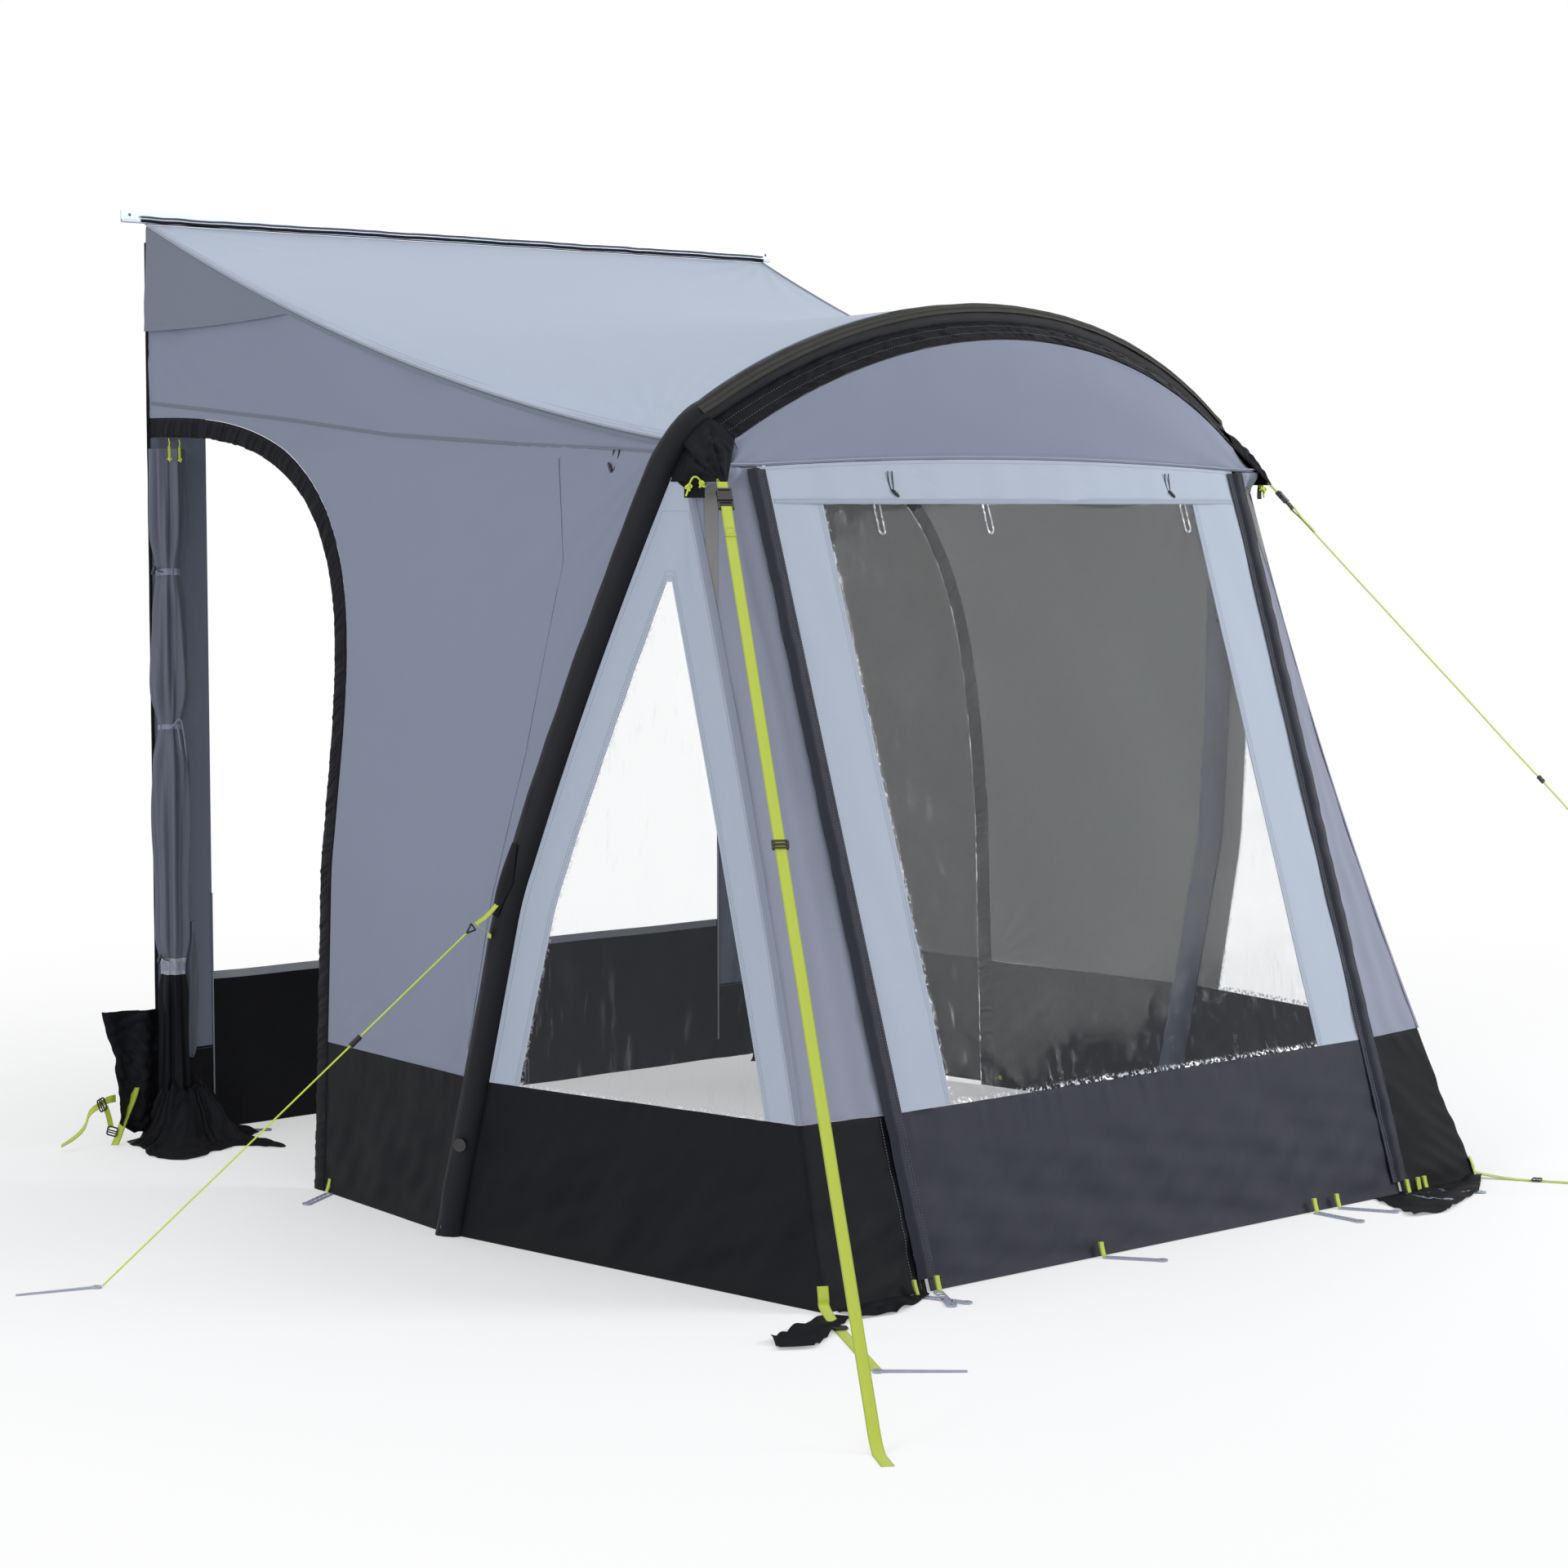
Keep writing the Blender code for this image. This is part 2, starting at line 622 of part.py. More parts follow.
def roof_grid():
    """Saddle from the bead to the arch, with its side hems and corner flaps turned down."""
    clear = CLOTH + 2.0 * GAP
    start = bead_tongue_end()
    rows = []
    for along in np.linspace(0.0, 1.0, ROOF_ROWS + 1):
        edge = roof_edge(along)
        row = []
        for target in ROOF_FRONT:
            across = target[0] / ROOF_FRONT[-1][0]
            rear = np.array([across * (REAR_HALF + clear), start[1], start[2]])
            point = lerp(rear, target, along)
            point[2] -= roof_sag(across, along)
            row.append(point)
        row[0][0], row[-1][0] = -(edge[0] + clear), edge[0] + clear
        share = max(0.0, 1.0 - abs(edge[1]) / FLAP_LENGTH)
        drop = HEM_DROP + (FLAP_DROP - HEM_DROP) * share
        for sign in (-1.0, 1.0):
            turned = []
            for fall in (0.08, 0.4, 1.0):
                z = edge[2] - drop * fall
                y = max(edge[1], float(arch_y(z)) + (SLEEVE_RADIUS + clear) / ARCH_NORMAL[1])
                out = max(float(wall_half(y, z)), edge[0]) + clear + 0.003 * fall
                turned.append(np.array([sign * out, y, z]))
            row = turned[::-1] + row if sign < 0.0 else row + turned
        rows.append(row)
    return np.array(rows)


def make_roof():
    grid = roof_grid()
    hint = np.zeros_like(grid)
    hint[..., 2] = 1.0
    hint[:, :3, 0], hint[:, -3:, 0] = -1.0, 1.0
    hint[:, :3, 2] = hint[:, -3:, 2] = 0.0
    return sheet("roof_panel", grid, "pale", hint)


# Sleeve, tube, valve, gable

def make_arch():
    centres = arch_centres()
    outer = swept_tube(centres, SLEEVE_RADIUS, TUBE_SIDES, ARCH_NORMAL)
    inner = swept_tube(centres, SLEEVE_INNER, TUBE_SIDES, ARCH_NORMAL)
    for rings in (outer, inner):
        slide_to_height(rings[0], centres[1] - centres[0], 0.0)
        slide_to_height(rings[-1], centres[-2] - centres[-1], 0.0)
    rows = len(centres)
    count = rows * TUBE_SIDES
    faces = grid_faces(rows, TUBE_SIDES, 0, True)
    faces += [f[::-1] for f in grid_faces(rows, TUBE_SIDES, count, True)]
    for first in (0, count - TUBE_SIDES):
        for a in range(TUBE_SIDES):
            b = (a + 1) % TUBE_SIDES
            faces.append((first + a, first + b, first + b + count, first + a + count))
    vertices = np.concatenate([outer.reshape(-1, 3), inner.reshape(-1, 3)])
    sleeve = add_object("arch_sleeve", vertices, faces, "dark", smooth=60.0)
    start, out = valve_axis()
    cut(sleeve, *cylinder_between(start + out * SLEEVE_INNER * 0.6, start + out * (SLEEVE_RADIUS + 0.01),
                                  VALVE_HOLE_RADIUS), "valve_hole_tool")

    rings = swept_tube(centres, TUBE_RADIUS, TUBE_SIDES, ARCH_NORMAL)
    slide_to_height(rings[0], centres[1] - centres[0], TUBE_FOOT)
    slide_to_height(rings[-1], centres[-2] - centres[-1], TUBE_FOOT)
    rows = len(centres)
    faces = grid_faces(rows, TUBE_SIDES, 0, True)
    faces += [tuple(range(TUBE_SIDES)), tuple(range((rows - 1) * TUBE_SIDES, rows * TUBE_SIDES))[::-1]]
    tube = add_object("air_tube", rings.reshape(-1, 3), faces, "tube", smooth=60.0)
    cut(tube, *cylinder_between(start + out * TUBE_RADIUS * 0.5, start + out * (SLEEVE_RADIUS + VALVE_PROUD),
                                VALVE_RADIUS), "valve_neck_tool", "UNION")


def valve_axis():
    """Centre of the left leg beside the valve, and the direction that the valve faces."""
    start = np.array([-float(leg_half(VALVE_Z)), float(arch_y(VALVE_Z)), VALVE_Z])
    return start, unit((-0.85, -0.52, 0.0))


def make_valve_cap():
    """Round cap with a short hinge tab, closed on the valve's neck."""
    start, out = valve_axis()
    seat = start + out * (SLEEVE_RADIUS + VALVE_PROUD + GAP)
    top = seat + out * CAP_HEIGHT
    vertices, faces = cylinder_between(seat, top, CAP_RADIUS, 18)
    pivot = seat + np.array([0.0, 0.0, CAP_RADIUS])
    return add_object("valve_cap", vertices, faces, "plastic", pivot)


def make_gable():
    """Ruffled band along the sleeve's front, and the panel between it and the header seam."""
    centres, radial = top_frames(GABLE_LOWEST)
    count = len(centres)
    first = centres - ARCH_NORMAL * (SLEEVE_RADIUS + GABLE_CLEAR)
    last = centres - ARCH_NORMAL * (SLEEVE_RADIUS + GABLE_BAND_FORWARD) - radial * GABLE_BAND_DROP
    middle = (first + last) / 2.0 + unit((0.0, -1.0, 0.3)) * 0.004
    ruffles = np.array([unit((0.0, -1.0, 0.4)) * 0.0025 * (k % 2) for k in range(count)])
    band = np.stack([first, middle + ruffles, last], axis=1)
    sheet("gable_band", band, "dark", np.broadcast_to((0.0, -1.0, 0.6), band.shape))
    top = last - radial * CLOTH
    ends = abs(top[0][0])
    low = np.array([on_front(point[0], HEADER_Z + 2.0 * SEAM_GAP) for point in top])
    shares = np.linspace(0.0, 1.0, 5)
    grid = ruled(top, low, len(shares))
    for j, share in enumerate(shares):
        swell = GABLE_SWELL * 4.0 * share * (1.0 - share)
        grid[:, j] += FRONT_NORMAL * swell * (1.0 - (top[:, :1] / ends) ** 2)
    sheet("gable_panel", grid, "grey", np.broadcast_to((0.0, -1.0, 0.0), grid.shape))


# Side walls

def wall_top(share):
    """Top edge of the side wall, just under the roof's cloth."""
    edge = roof_edge(share)
    z = edge[2] - WALL_UNDER_ROOF
    y = max(edge[1], float(leg_side_at_height(z, -1.0)[1]))
    return np.array([float(wall_half(y, z)), y, z])


def make_side_wall(name, sign):
    """Cloth over the door and between the door and the leg, down to the band."""
    inner = door_path(-GAP, WALL_REAR, BAND_TOP + SEAM_GAP)
    inner = on_wall(inner[:, 0], inner[:, 1])
    turn = ROOF_ROWS + 1
    top = [wall_top(s) for s in np.linspace(0.0, 1.0, turn)]
    top[0][1] = -WALL_REAR
    shoulder = top[-1][2]
    heights = np.linspace(shoulder, BAND_TOP + SEAM_GAP, len(inner) - turn + 1)[1:]
    outer = np.array(top + [leg_side_at_height(z, -1.0) for z in heights])
    grid = ruled(inner, outer, 4)
    for j in (1, 2):
        flat = grid[:, j]
        grid[:, j] = on_wall(flat[:, 1], flat[:, 2])
    if sign < 0:
        grid = mirrored(grid)
    sheet(name, grid, "grey", np.broadcast_to((sign, 0.0, 0.0), grid.shape))


def make_trim(name, sign):
    """Elastic trim that lines the door's cut-out, gathered along its length."""
    outer = door_path(GAP, TRIM_REAR, 0.0)
    inner = door_path(TRIM_WIDTH, TRIM_REAR, 0.0)
    middle = (outer + inner) / 2.0
    first, last = on_wall(outer[:, 0], outer[:, 1]), on_wall(inner[:, 0], inner[:, 1])
    centre = on_wall(middle[:, 0], middle[:, 1])
    centre[:, 0] += TRIM_SWELL + TRIM_GATHER * (np.arange(len(centre)) % 2)
    grid = np.stack([first, centre, last], axis=1)
    if sign < 0:
        grid = mirrored(grid)
    sheet(name, grid, "dark", np.broadcast_to((sign, 0.0, 0.0), grid.shape), TRIM_THICK, floor=0.0)


def make_pillar(name, sign):
    """Upright pad at the caravan's wall, from the wall's rear edge inwards."""
    heights = np.linspace(0.0, PILLAR_TOP, 9)
    outer_x = REAR_HALF - CLOTH - 0.0010
    across = np.linspace(outer_x, outer_x - PILLAR_WIDTH, 5)
    swell = np.array([0.0, 0.006, 0.008, 0.006, 0.0])
    grid = np.array([[(x, -(PILLAR_BACK + CLOTH + s), z) for x, s in zip(across, swell)]
                     for z in heights])
    back = np.array([[(x, -PILLAR_BACK, z) for x in across] for z in heights])
    if sign < 0:
        grid, back = mirrored(grid), mirrored(back)
    rows, columns = grid.shape[:2]
    count = rows * columns
    faces = grid_faces(rows, columns) + [f[::-1] for f in grid_faces(rows, columns, count)]
    faces += rim_faces(rows, columns)
    add_object(name, np.concatenate([grid.reshape(-1, 3), back.reshape(-1, 3)]), faces, "grey")


def make_leaf():
    """Closed right door leaf inside the trim, hung on its rear edge."""
    path = door_path(TRIM_WIDTH + SEAM_GAP, LEAF_HINGE + 0.010, LEAF_FOOT)[::-1]
    rear = np.stack([np.full(len(path), -LEAF_HINGE), np.linspace(LEAF_FOOT, path[-1, 1], len(path))], axis=1)
    grid_flat = ruled(rear, path, 6)
    grid = on_wall(grid_flat[..., 0], grid_flat[..., 1])
    pivot = (REAR_HALF, -LEAF_HINGE, 0.0)
    sheet("door_panel_right", grid, "grey", np.broadcast_to((1.0, 0.0, 0.0), grid.shape), pivot=pivot)


def make_band_rear(name, sign):
    """Dark band between the door and the leg."""
    heights = np.linspace(0.0, BAND_TOP, 5)
    door = on_wall(np.full(5, -(DOOR_FRONT + GAP)), heights)
    leg = np.array([leg_side_at_height(z, -1.0) for z in heights])
    grid = ruled(door, leg, 4)
    if sign < 0:
        grid = mirrored(grid)
    sheet(name, grid, "dark", np.broadcast_to((sign, 0.0, 0.0), grid.shape), floor=0.0)


def bay_frame_point(z, from_leg):
    """Point of the bay between leg and front edge, a frame's width in from one side."""
    leg, edge = leg_side_at_height(z, 1.0), front_edge(z)
    width = np.linalg.norm(edge - leg)
    share = BAY_FRAME / width if from_leg else 1.0 - BAY_FRAME / width
    return lerp(leg, edge, share)


def bay_apex():
    """Height where the two frame strips of the bay meet."""
    heights = np.linspace(BAND_TOP, FRONT_EDGE_TOP_Z, 200)
    widths = [np.linalg.norm(front_edge(z) - leg_side_at_height(z, 1.0)) for z in heights]
    return float(np.interp(-(2.0 * BAY_FRAME + BAY_APEX_WIDTH), -np.array(widths), heights))


def make_bay(side, sign):
    """Frame of pale cloth with a triangular clear window that reaches down to the band."""
    rows = 7
    apex = bay_apex()
    low = BAND_TOP + SEAM_GAP
    inner_z, outer_z = np.linspace(low, apex, rows), np.linspace(low, FRONT_EDGE_TOP_Z - 0.02, rows)
    inner = [bay_frame_point(z, True) for z in inner_z] + [bay_frame_point(z, False) for z in inner_z[::-1]]
    edge = []
    for z in outer_z[::-1]:
        leg, corner = leg_side_at_height(z, 1.0), front_edge(z)
        edge.append(corner + unit(leg - corner) * FOLD_SETBACK)
    outer = [leg_side_at_height(z, 1.0) for z in outer_z] + edge
    frame = ruled(inner, outer, 3)
    panes = []
    for k, z in enumerate(inner_z):
        a, b = np.array(inner[k]), np.array(inner[-1 - k])
        run = unit(b - a)
        panes.append([lerp(a + run * GAP, b - run * GAP, s) for s in np.linspace(0.0, 1.0, 5)])
    panes = np.array(panes)
    panes[-1, :, 2] -= GAP * 2.0
    if sign < 0:
        frame, panes = mirrored(frame), mirrored(panes)
    hint = np.array([sign, -0.2, 0.0])
    sheet("bay_panel_" + side, frame, "pale", np.broadcast_to(hint, frame.shape))
    sheet("bay_window_" + side, panes, "film", np.broadcast_to(hint, panes.shape), FILM)


def make_corner_panel(name, sign):
    """Cloth between the folded front edge and the front zip."""
    heights = np.linspace(BAND_TOP + SEAM_GAP, FRONT_EDGE_TOP_Z - 0.004, 8)
    tops = np.linspace(BAND_TOP + SEAM_GAP, HEADER_Z - 0.006, 8)
    zips = np.array([on_front(ZIP_HALF + ZIP_SLOT / 2.0 + CORNER_SETBACK, z) for z in tops])
    edges = np.array([front_edge(z) for z in heights])
    edges = np.array([e + unit(q - e) * FOLD_SETBACK for e, q in zip(edges, zips)])
    grid = ruled(edges, zips, 4)
    if sign < 0:
        grid = mirrored(grid)
    sheet(name, grid, "grey", np.broadcast_to((0.3 * sign, -1.0, 0.0), grid.shape))


def make_band_side(name, sign):
    """Dark band from the leg round the front corner to the front zip."""
    heights = np.linspace(0.0, BAND_TOP, 5)
    grid = []
    for z in heights:
        leg, edge = leg_side_at_height(z, 1.0), front_edge(z)
        zip_end = on_front(ZIP_HALF + ZIP_SLOT / 2.0, z)
        bay = [lerp(leg, edge, s) for s in (0.0, 0.25, 0.5, 0.75, 0.97)]
        corner = [edge] + [lerp(edge, zip_end, s) for s in (0.12, 0.5, 1.0)]
        grid.append(bay + corner)
    grid = np.array(grid)
    if sign < 0:
        grid = mirrored(grid)
    hint = np.zeros_like(grid)
    hint[:, :5, 0], hint[:, 5:, 1] = sign, -1.0
    sheet(name, grid, "dark", hint, floor=0.0)


# Front panel

PANEL_HALF = ZIP_HALF - ZIP_SLOT / 2.0
FRONT_HINGE = on_front(0.0, HEADER_Z, -CLOTH / 2.0)


def make_front_panel():
    """Header and two side strips of pale cloth round the window, open towards the band."""
    low = BAND_TOP + SEAM_GAP
    top = HEADER_Z - GAP
    inner_xz = [(-WINDOW_HALF, z) for z in np.linspace(low, WINDOW_TOP, 5)]
    inner_xz += [(x, WINDOW_TOP) for x in np.linspace(-WINDOW_HALF, WINDOW_HALF, 9)[1:-1]]
    inner_xz += [(WINDOW_HALF, z) for z in np.linspace(WINDOW_TOP, low, 5)]
    outer_xz = [(-PANEL_HALF, z) for z in np.linspace(low, top, 5)]
    outer_xz += [(x, top) for x in np.linspace(-PANEL_HALF, PANEL_HALF, 9)[1:-1]]
    outer_xz += [(PANEL_HALF, z) for z in np.linspace(top, low, 5)]
    inner = [on_front(x, z) for x, z in inner_xz]
    outer = [on_front(x, z) for x, z in outer_xz]
    grid = ruled(inner, outer, 3)
    hint = np.broadcast_to(FRONT_NORMAL, grid.shape)
    sheet("front_panel", grid, "pale", hint, pivot=tuple(FRONT_HINGE))
    half = WINDOW_HALF - GAP
    pane = np.array([[on_front(x, z) for x in np.linspace(-half, half, 7)]
                     for z in np.linspace(low, WINDOW_TOP - GAP, 7)])
    sheet("front_window", pane, "film", np.broadcast_to(FRONT_NORMAL, pane.shape), FILM,
          pivot=tuple(FRONT_HINGE))
    band = np.array([[on_front(x, z) for x in np.linspace(-PANEL_HALF, PANEL_HALF, 9)]
                     for z in np.linspace(0.0, BAND_TOP, 4)])
    sheet("band_front", band, "dark", np.broadcast_to(FRONT_NORMAL, band.shape),
          pivot=tuple(FRONT_HINGE), floor=0.0)


def make_zip_cover(name, sign):
    """Strip sewn to the front panel that arches over the zip's slot."""
    inner_x = PANEL_HALF - (COVER_WIDTH - ZIP_SLOT) / 2.0
    stations = ((0.0, GAP), (0.27, GAP), (0.39, COVER_BULGE), (0.74, COVER_BULGE), (1.0, 0.0012))
    rows = []
    for z in np.linspace(0.028, HEADER_Z - 0.020, 9):
        rows.append([on_front(sign * (inner_x + COVER_WIDTH * share), z, proud + 0.0018)
                     for share, proud in stations])
    grid = np.array(rows)
    sheet(name, grid, "dark", np.broadcast_to(FRONT_NORMAL, grid.shape), 0.0018,
          pivot=tuple(FRONT_HINGE))


def slider_outline(half):
    """Front view of a zip slider: broad in the middle, narrowed at both ends."""
    return [(-half * 0.70, 0.0), (half * 0.70, 0.0), (half, 0.008), (half, 0.022), (half * 0.6, 0.026),
            (-half * 0.6, 0.026), (-half, 0.022), (-half, 0.008)]


def make_front_slider(name, sign):
    """Zip slider at the foot of the slot between the corner panel and the front panel."""
    vertices, faces = prism(slider_outline(ZIP_SLOT / 2.0 - SLIDER_SIDE_GAP), SLIDER_INNER, SLIDER_OUTER)
    base = on_front(sign * ZIP_HALF, FRONT_SLIDER_Z)
    frame = np.stack([np.array([1.0, 0.0, 0.0]), FRONT_UP, FRONT_NORMAL])
    add_object(name, vertices @ frame + base, faces, "plastic", tuple(base))


# Rear

def make_skirt():
    """Draught skirt between the rear pillars, in shallow folds."""
    half = REAR_HALF - CLOTH - 0.0010 - PILLAR_WIDTH - GAP
    columns = 4 * SKIRT_FOLDS + 1
    heights = np.linspace(0.0, SKIRT_TOP, 5)
    grid = []
    for z in heights:
        row = []
        for k, x in enumerate(np.linspace(-half, half, columns)):
            ends = min(1.0, (half - abs(x)) / 0.08)
            wave = math.sin(2.0 * math.pi * SKIRT_FOLDS * k / (columns - 1))
            row.append((x, -(PILLAR_BACK + CLOTH + SKIRT_FOLD_DEPTH * ends * (1.0 + wave) / 2.0), z))
        grid.append(row)
    grid = np.array(grid)
    sheet("draught_skirt", grid, "dark", np.broadcast_to((0.0, -1.0, 0.0), grid.shape),
          0.0014, floor=0.0)


def make_curtain():
    """Left door curtain gathered into a column of folds and drawn in where it is tied."""
    heights = np.linspace(0.010, CURTAIN_TOP, 18)
    sides = 4 * CURTAIN_LOBES
    rings = []
    for z in heights:
        drawn = sum(math.exp(-((z - tie) / 0.07) ** 2) for tie in CURTAIN_TIES)
        radius = CURTAIN_RADIUS * (1.0 - CURTAIN_DRAWN * drawn)
        ring = []
        for k in range(sides):
            turn = 2.0 * math.pi * k / sides
            lobe = 1.0 + 0.22 * (1.0 - 0.6 * min(1.0, drawn)) * math.cos(CURTAIN_LOBES * turn + 0.9 * z)
            ring.append((CURTAIN_X + radius * lobe * math.cos(turn) * 0.95,
                         CURTAIN_Y + radius * lobe * math.sin(turn), z))
        rings.append(ring)
    rings = np.array(rings)
    rows = len(heights)
    faces = grid_faces(rows, sides, 0, True)
    faces += [tuple(range(sides))[::-1], tuple(range((rows - 1) * sides, rows * sides))]
    add_object("door_curtain_left", rings.reshape(-1, 3), faces, "grey")


def make_rear_flap(name, sign):
    """Loose mud flap at the rear corner, spilling down over the ground in folds: outwards beside
    the open door, inwards at the foot of the pillar beside the closed one."""
    columns, rows = 9, 7
    tall, spill = LEFT_FLAP if sign < 0.0 else RIGHT_FLAP
    grid = []
    for down in np.linspace(0.0, 1.0, rows):
        row = []
        for share in np.linspace(0.0, 1.0, columns):
            fold = 0.010 * math.sin(2.0 * math.pi * 2.0 * share + 1.2 * down) * down
            out = spill * down ** 1.6 * (0.55 + 0.45 * math.sin(math.pi * share + 0.4))
            if sign < 0.0:
                z = tall * (1.0 - down) - 0.05 * share * (1.0 - down)
                row.append((-(REAR_HALF - 0.0006 + out + fold), -0.003 - 0.30 * share, z + CLOTH * (1.0 - down)))
            else:
                y = -(PILLAR_BACK + CLOTH + 0.008 + CLOTH + 2.0 * GAP + out + abs(fold))
                row.append((REAR_HALF - 0.008 - (PILLAR_WIDTH - 0.02) * share, y, tall * (1.0 - down)))
        grid.append(row)
    grid = np.array(grid)
    hint = (-1.0, 0.0, 0.4) if sign < 0.0 else (0.0, -1.0, 0.4)
    sheet(name, grid, "dark", np.broadcast_to(hint, grid.shape), floor=0.0)


# Straps and buckles

def strap_frame(sign):
    """Tip of the patch, level direction of the strap, and its width direction."""
    tip = np.array([sign * TIP_HALF, TIP_Y, TIP_Z])
    end = np.array([sign * STRAP_END_HALF, STRAP_END_Y, 0.0])
    level = unit((end - tip) * np.array([1.0, 1.0, 0.0]))
    across = np.array([-level[1], level[0], 0.0])
    return tip, end, level, across


def make_patch(name, sign):
    """Shoulder patch: a tapered tongue from the sleeve and gable band to the buckle."""
    tip, end, _, across = strap_frame(sign)
    run = unit(end - tip)
    mirror = np.array([sign, 1.0, 1.0])
    low = (leg_side_at_height(PATCH_LOW, 1.0) + np.array([0.0, -0.5 * GAP, 0.0])) * mirror
    centres, radial = top_frames(GABLE_LOWEST)
    high = centres[-1] - ARCH_NORMAL * (SLEEVE_RADIUS + GABLE_BAND_FORWARD + 0.006) - radial[-1] * 0.020
    high = high * mirror
    front = [tip + across * STRAP_WIDTH / 2.0 * s for s in (1.0, -1.0)]
    if front[0][0] * sign < front[1][0] * sign:
        front = front[::-1]
    shares = np.linspace(0.0, 1.0, 5)
    first = np.array([lerp(low, high, s) for s in shares])
    last = np.array([lerp(front[0], front[1], s) for s in shares])
    grid = ruled(first, last, 6)
    tongue = last + run * (BUCKLE_START + TONGUE_IN)
    grid = np.concatenate([grid, tongue[:, None]], axis=1)
    sheet(name, grid, "dark", np.broadcast_to((0.3 * sign, -0.5, 1.0), grid.shape), PATCH_THICK)


def place_on_strap(made, sign, along):
    """Turns a piece drawn with X across, Y along the strap and Z through it, and sets it down."""
    tip, end, _, across = strap_frame(sign)
    run = unit(end - tip)
    through = unit(np.cross(across, run))
    spot = tip + run * along
    turn = Matrix((across, run, through)).transposed().to_4x4()
    made.matrix_local = Matrix.Translation(Vector(spot)) @ turn


def make_female(name, sign):
    """Socket half: a flat shell with open sides, and a channel that the patch's tongue enters."""
    half, thick = FEMALE_WIDTH / 2.0, FEMALE_THICK / 2.0
    waist = half * 0.86
    outline = [(-waist, 0.0), (waist, 0.0), (half, 0.006), (half * 0.93, 0.018), (half, FEMALE_LENGTH),
               (-half, FEMALE_LENGTH), (-half * 0.93, 0.018), (-half, 0.006)]
    vertices, faces = prism(outline, -thick, thick)
    body = add_object(name, vertices, faces, "plastic", smooth=30.0)
    place_on_strap(body, sign, BUCKLE_START)
    hollow = MALE_THICK / 2.0 + 0.0006
    tongue = STRAP_WIDTH / 2.0 + TONGUE_CLEAR
    tools = (
        ([(-half + FEMALE_WALL, 0.012), (half - FEMALE_WALL, 0.012), (half - FEMALE_WALL, 0.06),
          (-half + FEMALE_WALL, 0.06)], -hollow, hollow, "socket"),
        ([(-half - 0.01, 0.015), (half + 0.01, 0.015), (half + 0.01, 0.029), (-half - 0.01, 0.029)],
         -hollow, hollow, "window"),
        ([(-0.0132, 0.0048), (0.0132, 0.0048), (0.0132, 0.0088), (-0.0132, 0.0088)], -0.02, 0.02, "slot"),
        ([(-tongue, -0.001), (tongue, -0.001), (tongue, 0.013), (-tongue, 0.013)],
         -TONGUE_CLEAR, PATCH_THICK + TONGUE_CLEAR, "channel"),
    )
    for outline, deep, high, label in tools:
        vertices, faces = prism(outline, deep, high)
        tool = cut(body, vertices, faces, label + "_tool_" + name)
        place_on_strap(tool, sign, BUCKLE_START)


def make_male(name, sign):
    """Plug half: two sprung prongs and a guide in the socket, and a ladder bar outside it."""
    half = FEMALE_WIDTH / 2.0
    start = FEMALE_LENGTH + SEAM_GAP
    reach = -MALE_REACH
    prong_out = half - FEMALE_WALL - 0.0008
    prong_in = prong_out - PRONG
    guide = 0.0022
    outline = [(-half, MALE_BODY), (-half, 0.002), (-prong_out, 0.0), (-prong_out, reach * 0.35),
               (-prong_out, reach * 0.55), (-prong_out + 0.002, reach), (-prong_in, reach * 0.7),
               (-prong_in, -0.001), (-guide, -0.001), (-guide, reach * 0.9), (guide, reach * 0.9),
               (guide, -0.001), (prong_in, -0.001), (prong_in, reach * 0.7), (prong_out - 0.002, reach),
               (prong_out, reach * 0.55), (prong_out, reach * 0.35), (prong_out, 0.0), (half, 0.002),
               (half, MALE_BODY)]
    vertices, faces = prism(outline, -MALE_THICK / 2.0, MALE_THICK / 2.0)
    body = add_object(name, vertices, faces, "plastic", smooth=30.0)
    place_on_strap(body, sign, BUCKLE_START + start)
    for low, high in PLUG_SLOTS:
        outline = [(-0.0136, low), (0.0136, low), (0.0136, high), (-0.0136, high)]
        vertices, faces = prism(outline, -0.01, 0.01)
        tool = cut(body, vertices, faces, "ladder_tool_%d_%s" % (round(low * 1e4), name))
        place_on_strap(tool, sign, BUCKLE_START + start)


def ribbon(path, thick):
    """Closed outline of a strip of one thickness along a flat path."""
    path = np.asarray(path, float)
    runs = np.gradient(path, axis=0)
    runs /= np.linalg.norm(runs, axis=1)[:, None]
    sides = np.stack([-runs[:, 1], runs[:, 0]], axis=1)
    left, right = path + sides * thick / 2.0, path - sides * thick / 2.0
    return [tuple(p) for p in left] + [tuple(p) for p in right[::-1]]


